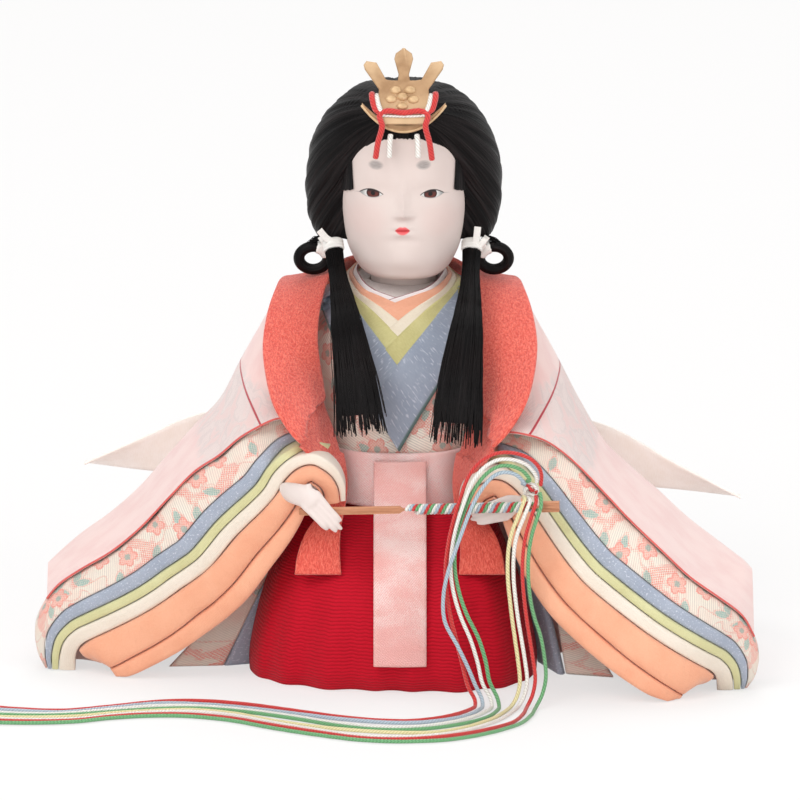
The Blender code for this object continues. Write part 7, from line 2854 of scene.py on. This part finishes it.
        knot = bound[4] / MM
        strips.append(strip([knot + Vector((0, -1.4, 0.3)), knot + Vector((side * -0.6, -2.2, 2.4)),
                             knot + Vector((side * 0.6, -1.9, 4.4))], 1.7, (0, -1, 0.2)))
        bands = shown(merged(strips), f"paper_ring_{word}", paper, Body.HEAD, crease=50)

    def build(self, hair: Material, paper: Material) -> None:
        """Build the hair.

        Args:
            hair: Material of the hair.
            paper: Material of the ties.
        """
        self.wig(hair)
        root = Vector((0, 0, self.foot))
        strips = {
            "left": [[(-21.2, -10.6, 133.6), (-23.6, -11.2, 135.2), (-25.6, -11.4, 137.6)],
                     [(-21.8, -10.8, 131.4), (-20.0, -13.6, 131.0), (-19.0, -15.0, 129.6)]],
            "right": [[(22.6, -10.6, 131.0), (24.2, -11.6, 134.2), (24.8, -11.4, 138.6)],
                      [(23.4, -10.8, 131.0), (26.0, -11.8, 133.4), (27.0, -11.6, 134.8)]],
        }
        for word, table in self.locks.items():
            points = [root + Vector((wide * self.lock_half_width, deep * self.front, fall * self.lock_length))
                      for wide, deep, fall in table]
            flats = [strip(line, width, (0, -1, 0.15)) for line, width in zip(strips[word], (2.0, 1.6))]
            Strand(f"hair_lock_{word}", f"lock_tie_{word}", smooth([point * MM for point in points], 12),
                   self.lock_half_width, self.lock_half_depth, self.lock_widths, self.lock_depths,
                   Vector((0, -1, 0)),
                   170, 1.3 if word == "left" else 0.7).build(hair, paper, flats)
        points = [Vector((self.centre, deep * self.train_reach, self.foot - fall * self.tail_length)) * MM
                  for deep, fall in self.tail_path]
        Strand("hair_tail", "tail_tie", smooth(points, 12), self.tail_half_width, self.tail_half_depth,
               self.tail_widths,
               self.tail_depths, Vector((0, 1, 0)), 200, 0.6).build(hair, paper, [])
        for side in (-1, 1):
            self.sideburn(side, hair)
            self.side_loop(side, hair, paper)


# Crown


@dataclass
class Crown:
    """Gilt plate with three prongs and a blossom, its comb and the cords tied across it."""

    foot: tuple[float, float, float] = (1.2, -26.4, 175.5)
    half_width: float = 12.8
    height: float = 25.0
    thickness: float = 1.1
    lean: float = 0.5
    gap: float = 0.35
    comb_half_width: float = 13.3
    comb_drop: float = 7.5
    comb_band: float = 2.4
    comb_thickness: float = 1.4
    comb_curve: float = 0.34
    outline: tuple = ((0.60, 0.00), (0.64, 0.28), (0.62, 0.46), (0.97, 0.72), (1.00, 0.78), (0.93, 0.83),
                      (0.68, 0.81),
                      (0.44, 0.585), (0.30, 0.575), (0.15, 0.575), (0.13, 0.66), (0.235, 0.86), (0.20, 0.93),
                      (0.05, 0.985),
                      (0.035, 1.00))
    domes: tuple = ((-2.6, 11.1), (2.0, 11.1), (-4.1, 8.1), (3.0, 8.0), (-0.5, 5.8), (-0.4, 8.9))
    cord: tuple = ((-0.70, 0.12, -0.40), (-0.64, 0.14, -0.20), (-0.54, 0.12, 0.00), (-0.60, 0.11, 0.13),
                   (-0.40, 0.09, 0.18),
                   (0.0, 0.09, 0.16), (0.40, 0.09, 0.18), (0.60, 0.11, 0.13), (0.54, 0.12, 0.00),
                   (0.64, 0.14, -0.20),
                   (0.70, 0.12, -0.42))

    def __post_init__(self) -> None:
        """Work out the plate's directions."""
        self.origin = Vector(self.foot)
        self.rise = Vector((0, self.lean, 1)).normalized()
        self.forward = Vector((0, -1, self.lean)).normalized()

    def on_plate(self, wide: float, high: float, forward: float) -> Vector:
        """Place on the plate in metres, from millimetres."""
        return (self.origin + Vector((wide, 0, 0)) + self.rise * high + self.forward * forward) * MM

    def plate(self, gilt: Material) -> None:
        """Build the bevelled plate.

        Args:
            gilt: Material of the plate.
        """
        half = [Vector((wide * self.half_width, high * self.height)) for wide, high in self.outline]
        outline = half + [Vector((-point.x, point.y)) for point in half[::-1]]
        count = len(outline)
        inset = []
        for index, point in enumerate(outline):
            before = (point - outline[index - 1]).normalized()
            after = (outline[(index + 1) % count] - point).normalized()
            inward = Vector((-before.y - after.y, before.x + after.x))
            inset.append(point + inward.normalized() * 0.22)
        rings = []
        for line, depth in ((inset, 0.0), (outline, 0.25), (outline, self.thickness - 0.25),
                            (inset, self.thickness)):
            rings.append([self.on_plate(point.x, point.y, depth) for point in line])
        piece = shown(laid(rings, ring=True), "crown_plate_gilt", gilt, Body.CROWN, ["crown_plate"],
                      crease=20)

    def blossom(self, gilt: Material) -> None:
        """Build the blossom of oval domes.

        Args:
            gilt: Material of the blossom.
        """
        parts = []
        for number, (wide, high) in enumerate(self.domes):
            dome = bmesh.new()
            dome.loops.layers.uv.new("UVMap")
            bmesh.ops.create_uvsphere(dome, u_segments=24, v_segments=14, radius=1.0, calc_uvs=True)
            for vert in dome.verts:
                x, y, z = vert.co
                lift = 1.0 + 0.45 * (number == len(self.domes) - 1)
                vert.co = self.on_plate(wide + x * 1.85, high + y * 1.3, self.thickness + (z * 0.9) * lift)
            parts.append(dome)
        piece = shown(merged(parts), "crown_blossom_gilt", gilt, Body.CROWN, ["crown_blossom"])

    def comb(self, gilt: Material, rim: Material) -> None:
        """Build the curved comb with a bright rim along its lower edge.

        Args:
            gilt: Material of the comb.
            rim: Material of the rim.
        """
        low = self.origin.z - self.gap - self.comb_band
        rings, edge = [], []
        for step in range(61):
            share = step / 30 - 1
            x = self.origin.x + share * self.comb_half_width
            base = low + self.comb_drop * share ** 2
            back = self.origin.y + self.comb_thickness + self.gap * 2
            back += self.comb_curve * self.comb_half_width * abs(share) ** 3
            band = self.comb_band * (1 - 0.55 * abs(share) ** 3)
            front = back - self.comb_thickness
            section = ((back, 0.1), (back, 0.9), (back - 0.2, 1.0), (front + 0.25, 1.0), (front, 0.85),
                       (front + 0.15, 0.5),
                       (front, 0.15), (front + 0.25, 0.0), (back - 0.2, 0.0))
            rings.append([Vector((x, y, base + band * part)) * MM for y, part in section])
            edge.append(Vector((x, front + 0.1, base + 0.3)) * MM)
        piece = shown(laid(rings, ring=True), "crown_comb_gilt", gilt, Body.CROWN, ["crown_comb"], crease=40)
        shown(laid(rolled(edge, 0.48 * MM, 10), ring=True), "crown_rim", rim, Body.CROWN)

    def cords(self, red: Material, white: Material) -> None:
        """Tie the red cord across the plate, with a white one beside it.

        Args:
            red: Material of the red cord.
            white: Material of the white cord.
        """
        points = []
        for wide, deep, high in self.cord:
            points.append((self.origin + Vector((wide * self.half_width, 0, high * self.height))
                           + Vector((0, self.lean * max(high, 0) * self.height - deep * self.height, 0)))
                          * MM)
        piece = shown(laid(rolled(smooth(points, 90), 0.98 * MM, 14, plies=3, twist=5 * MM), ring=True),
                      "crown_cord_red",
                      red, Body.CROWN, ["crown_cord"])
        for side in (-1, 1):
            word = "left" if side < 0 else "right"
            up = [self.on_plate(side * 7.6, 3.6, 1.9), self.on_plate(side * 9.0, 4.6, 1.6),
                  self.on_plate(side * 9.9, 7.4, 1.4),
                  self.on_plate(side * 10.2, 9.8, 0.4), self.on_plate(side * 9.9, 10.6, -2.4)]
            shown(laid(rolled(smooth(up, 30), 0.95 * MM, 12, plies=3, twist=5 * MM), ring=True),
                  f"crown_cord_side_{word}",
                  red, Body.CROWN)
            inner = [self.on_plate(side * 6.6, 2.6, 1.9), self.on_plate(side * 7.4, 4.2, 2.3),
                     self.on_plate(side * 8.2, 6.6, 1.7),
                     self.on_plate(side * 8.6, 9.2, 0.6), self.on_plate(side * 8.4, 10.2, -2.2)]
            hang = [(self.origin + Vector((side * 4.2, -2.0, -3.0))) * MM,
                    (self.origin + Vector((side * 4.5, -3.2, -5.4))) * MM,
                    (self.origin + Vector((side * 4.6, -3.6, -9.6))) * MM]
            lines = [laid(rolled(smooth(line, 26), size * MM, 12, plies=3, twist=5 * MM), ring=True)
                     for line, size in ((inner, 0.8), (hang, 0.9))]
            shown(merged(lines), f"crown_cord_white_{word}", white, Body.CROWN)
        under = [self.on_plate(share * 7.0, 2.35 + 0.25 * share ** 2, 1.55)
                 for share in (-1, -0.5, 0, 0.5, 1)]
        shown(laid(rolled(smooth(under, 40), 0.4 * MM, 10, plies=3, twist=4 * MM), ring=True),
              "crown_cord_white_band",
              white, Body.CROWN)

    def build(self, red: Material, white: Material) -> None:
        """Build the crown.

        Args:
            red: Material of the red cord.
            white: Material of the white cord.
        """
        gilt = Gilt().make()
        rim = Gilt("gilt_rim", (0.66, 0.45, 0.25), (0.52, 0.33, 0.17)).make()
        self.plate(gilt)
        self.blossom(rim)
        self.comb(gilt, rim)
        self.cords(red, white)


# Hands


@dataclass
class Hands:
    """Small white hands: the left one lies over the fan, the right one holds it from below."""

    finish: Material
    reach: float = 114.0
    forward: float = 68.0
    wrist: float = 74.0
    palm_half_width: float = 3.3
    palm_half_depth: float = 1.9
    finger: float = 0.98
    paths: dict = field(default_factory=lambda: {
        "left": ((-0.322, 0.935, 0.868), (-0.303, 1.015, 0.880), (-0.260, 1.082, 0.875),
                 (-0.230, 1.108, 0.842)),
        "right": ((0.330, 0.940, 0.822), (0.320, 1.020, 0.830), (0.300, 1.070, 0.830), (0.270, 1.078, 0.806)),
    })
    widths: dict = field(default_factory=lambda: {"left": (1.00, 1.05, 1.12, 1.05),
                                                  "right": (0.90, 0.95, 1.15, 1.10)})
    depths: tuple = (1.1, 1.1, 1.1, 1.05, 0.95, 0.8)
    aims: dict = field(default_factory=lambda: {"left": (0.67, -0.05, -0.74), "right": (-0.97, -0.08, -0.22)})
    lengths: tuple = (0.84, 1.0, 0.96, 0.78)
    reaches: dict = field(default_factory=lambda: {"left": 13.0, "right": 10.5})
    thumb_aims: dict = field(default_factory=lambda: {"left": (0.30, -0.05, -0.95),
                                                      "right": (-0.90, -0.10, 0.38)})
    thumb_roots: dict = field(default_factory=lambda: {"left": (-1.05, 0.25), "right": (-0.55, 0.1)})
    thumb: float = 7.0

    def digit(self, root: Vector, aim: Vector, length: float, radii: Sequence[float], curl: float) -> BMesh:
        """One finger with soft joints and a rounded tip.

        Args:
            root: Where it leaves the palm, in millimetres.
            aim: Direction.
            length: Length.
            radii: Radius at its root, its middle joint and its tip.
            curl: How far its tip bends back.

        Returns:
            Mesh of the finger.
        """
        front = Vector((0, -1, 0))
        knots = [root - aim * 0.8, root, root + aim * length * 0.5 + front * 0.55,
                 root + aim * length * 0.82 + front * 0.3,
                 root + aim * length - front * curl]
        path = smooth([knot * MM for knot in knots], 26)
        sizes = smooth_numbers((radii[0], radii[0], radii[1], radii[1] * 0.94, radii[2]), 26)
        rings = swept(path, [size * MM for size in sizes], [size * 0.94 * MM for size in sizes], 16, front)
        tip, before = path[-1], path[-2]
        push = (tip - before).normalized() * radii[2] * MM
        for share, go in ((0.82, 0.45), (0.45, 0.85), (0.12, 1.0)):
            rings.append([tip + push * go + (place - tip) * share for place in rings[25]])
        return laid(rings, ring=True)

    def build(self) -> None:
        """Build both hands."""
        front = Vector((0, -1, 0))
        size = (self.reach, -self.forward, self.wrist)
        for side, table in self.paths.items():
            path = [point / MM for point in smooth(shared(table, size), 6)]
            widths = [share * self.palm_half_width for share in smooth_numbers(self.widths[side], 6)]
            depths = [share * self.palm_half_depth for share in self.depths]
            fine = smooth([point * MM for point in path], 34)
            ends = [math.sin(min(index, 33 - index, 5) / 5 * math.pi / 2) * 0.75 + 0.25
                    for index in range(34)]
            parts = [laid(swept(fine, [width * end * MM for width,
                                       end in zip(smooth_numbers(widths, 34), ends)],
                                [depth * end * MM for depth, end in zip(smooth_numbers(depths, 34), ends)],
                                32, front), ring=True)]
            aim = Vector(self.aims[side]).normalized()
            across = aim.cross(front).normalized()
            for number, share in enumerate(self.lengths):
                knuckle = path[-2] + across * (number - 1.5) * self.finger * 1.75
                reach = self.reaches[side] * share
                parts.append(self.digit(knuckle, aim, reach,
                                        (self.finger * 1.42, self.finger * 1.04, self.finger * 0.74), 0.4))
            beside, ahead = self.thumb_roots[side]
            line = (path[4] - path[2]).normalized()
            root = path[3] + (line.cross(front).normalized() * beside + line * ahead) * self.palm_half_width
            aim = Vector(self.thumb_aims[side]).normalized()
            parts.append(self.digit(root, aim, self.thumb,
                                    (self.finger * 1.25, self.finger * 1.12, self.finger * 0.8), 0.2))
            piece = shown(merged(parts), f"white_hand_{side}", self.finish, Body.DOLL, [f"hand_{side}"])
            self.fuse(piece)

    def fuse(self, piece: bpy.types.Object) -> None:
        """Join the palm and fingers of a hand into one smooth skin.

        Args:
            piece: The hand.
        """
        remesh = piece.modifiers.new("fuse", "REMESH")
        remesh.mode, remesh.voxel_size = "VOXEL", 0.24 * MM
        fused = bpy.data.meshes.new_from_object(piece.evaluated_get(bpy.context.evaluated_depsgraph_get()))
        piece.modifiers.clear()
        skin = bmesh.new()
        skin.from_mesh(fused)
        for _ in range(12):
            bmesh.ops.smooth_vert(skin, verts=skin.verts, factor=0.5, use_axis_x=True, use_axis_y=True,
                                  use_axis_z=True)
        skin.to_mesh(piece.data)
        skin.free()
        bpy.data.meshes.remove(fused)
        piece.data.shade_smooth()


@dataclass(frozen=True)
class Shell:
    """Plain shell paint of the hands."""

    name: str = "shell_white"
    colour: Colour = (0.75, 0.66, 0.62)

    def make(self) -> Material:
        """Build the material.

        Returns:
            The material.
        """
        recipe = Recipe(self.name, Roughness=0.5, Specular_IOR_Level=0.32)
        patch = recipe.grain(recipe.place(), 0.25, 2.0)
        return recipe.finish(recipe.mix(patch, self.colour, (0.73, 0.62, 0.58)),
                             recipe.grain(recipe.place(), 1.6, 2.0), 0.012)


def dress(name: str, finish: Material) -> None:
    """Give a CAD node that stays its material."""
    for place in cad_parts[name].material_slots:
        place.material = finish


def main() -> None:
    """Build the doll piece by piece."""
    logging.basicConfig(level=logging.INFO, format="%(name)s: %(message)s")
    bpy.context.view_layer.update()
    Studio().build()
    fan = Fan()
    fan.build()
    Wardrobe().build()
    head = Head()
    head.build(PaintedFace().make())
    Hair(head).build(HairSilk().make(), Paper("tie_paper", (0.84, 0.82, 0.78), (0.72, 0.70, 0.66)).make())
    Crown().build(fan.finishes["red"], fan.finishes["white"])
    Hands(Shell().make()).build()
    dress("base_board", Timber("board_wood", (0.60, 0.43, 0.26), (0.42, 0.28, 0.15)).make())
    dress("neck_peg", Timber("peg_wood", (0.66, 0.48, 0.30), (0.50, 0.34, 0.19), (0.9, 0.9, 0.05)).make())
    dress("body_core", Straw().make())


if __name__ == "__main__":
    main()
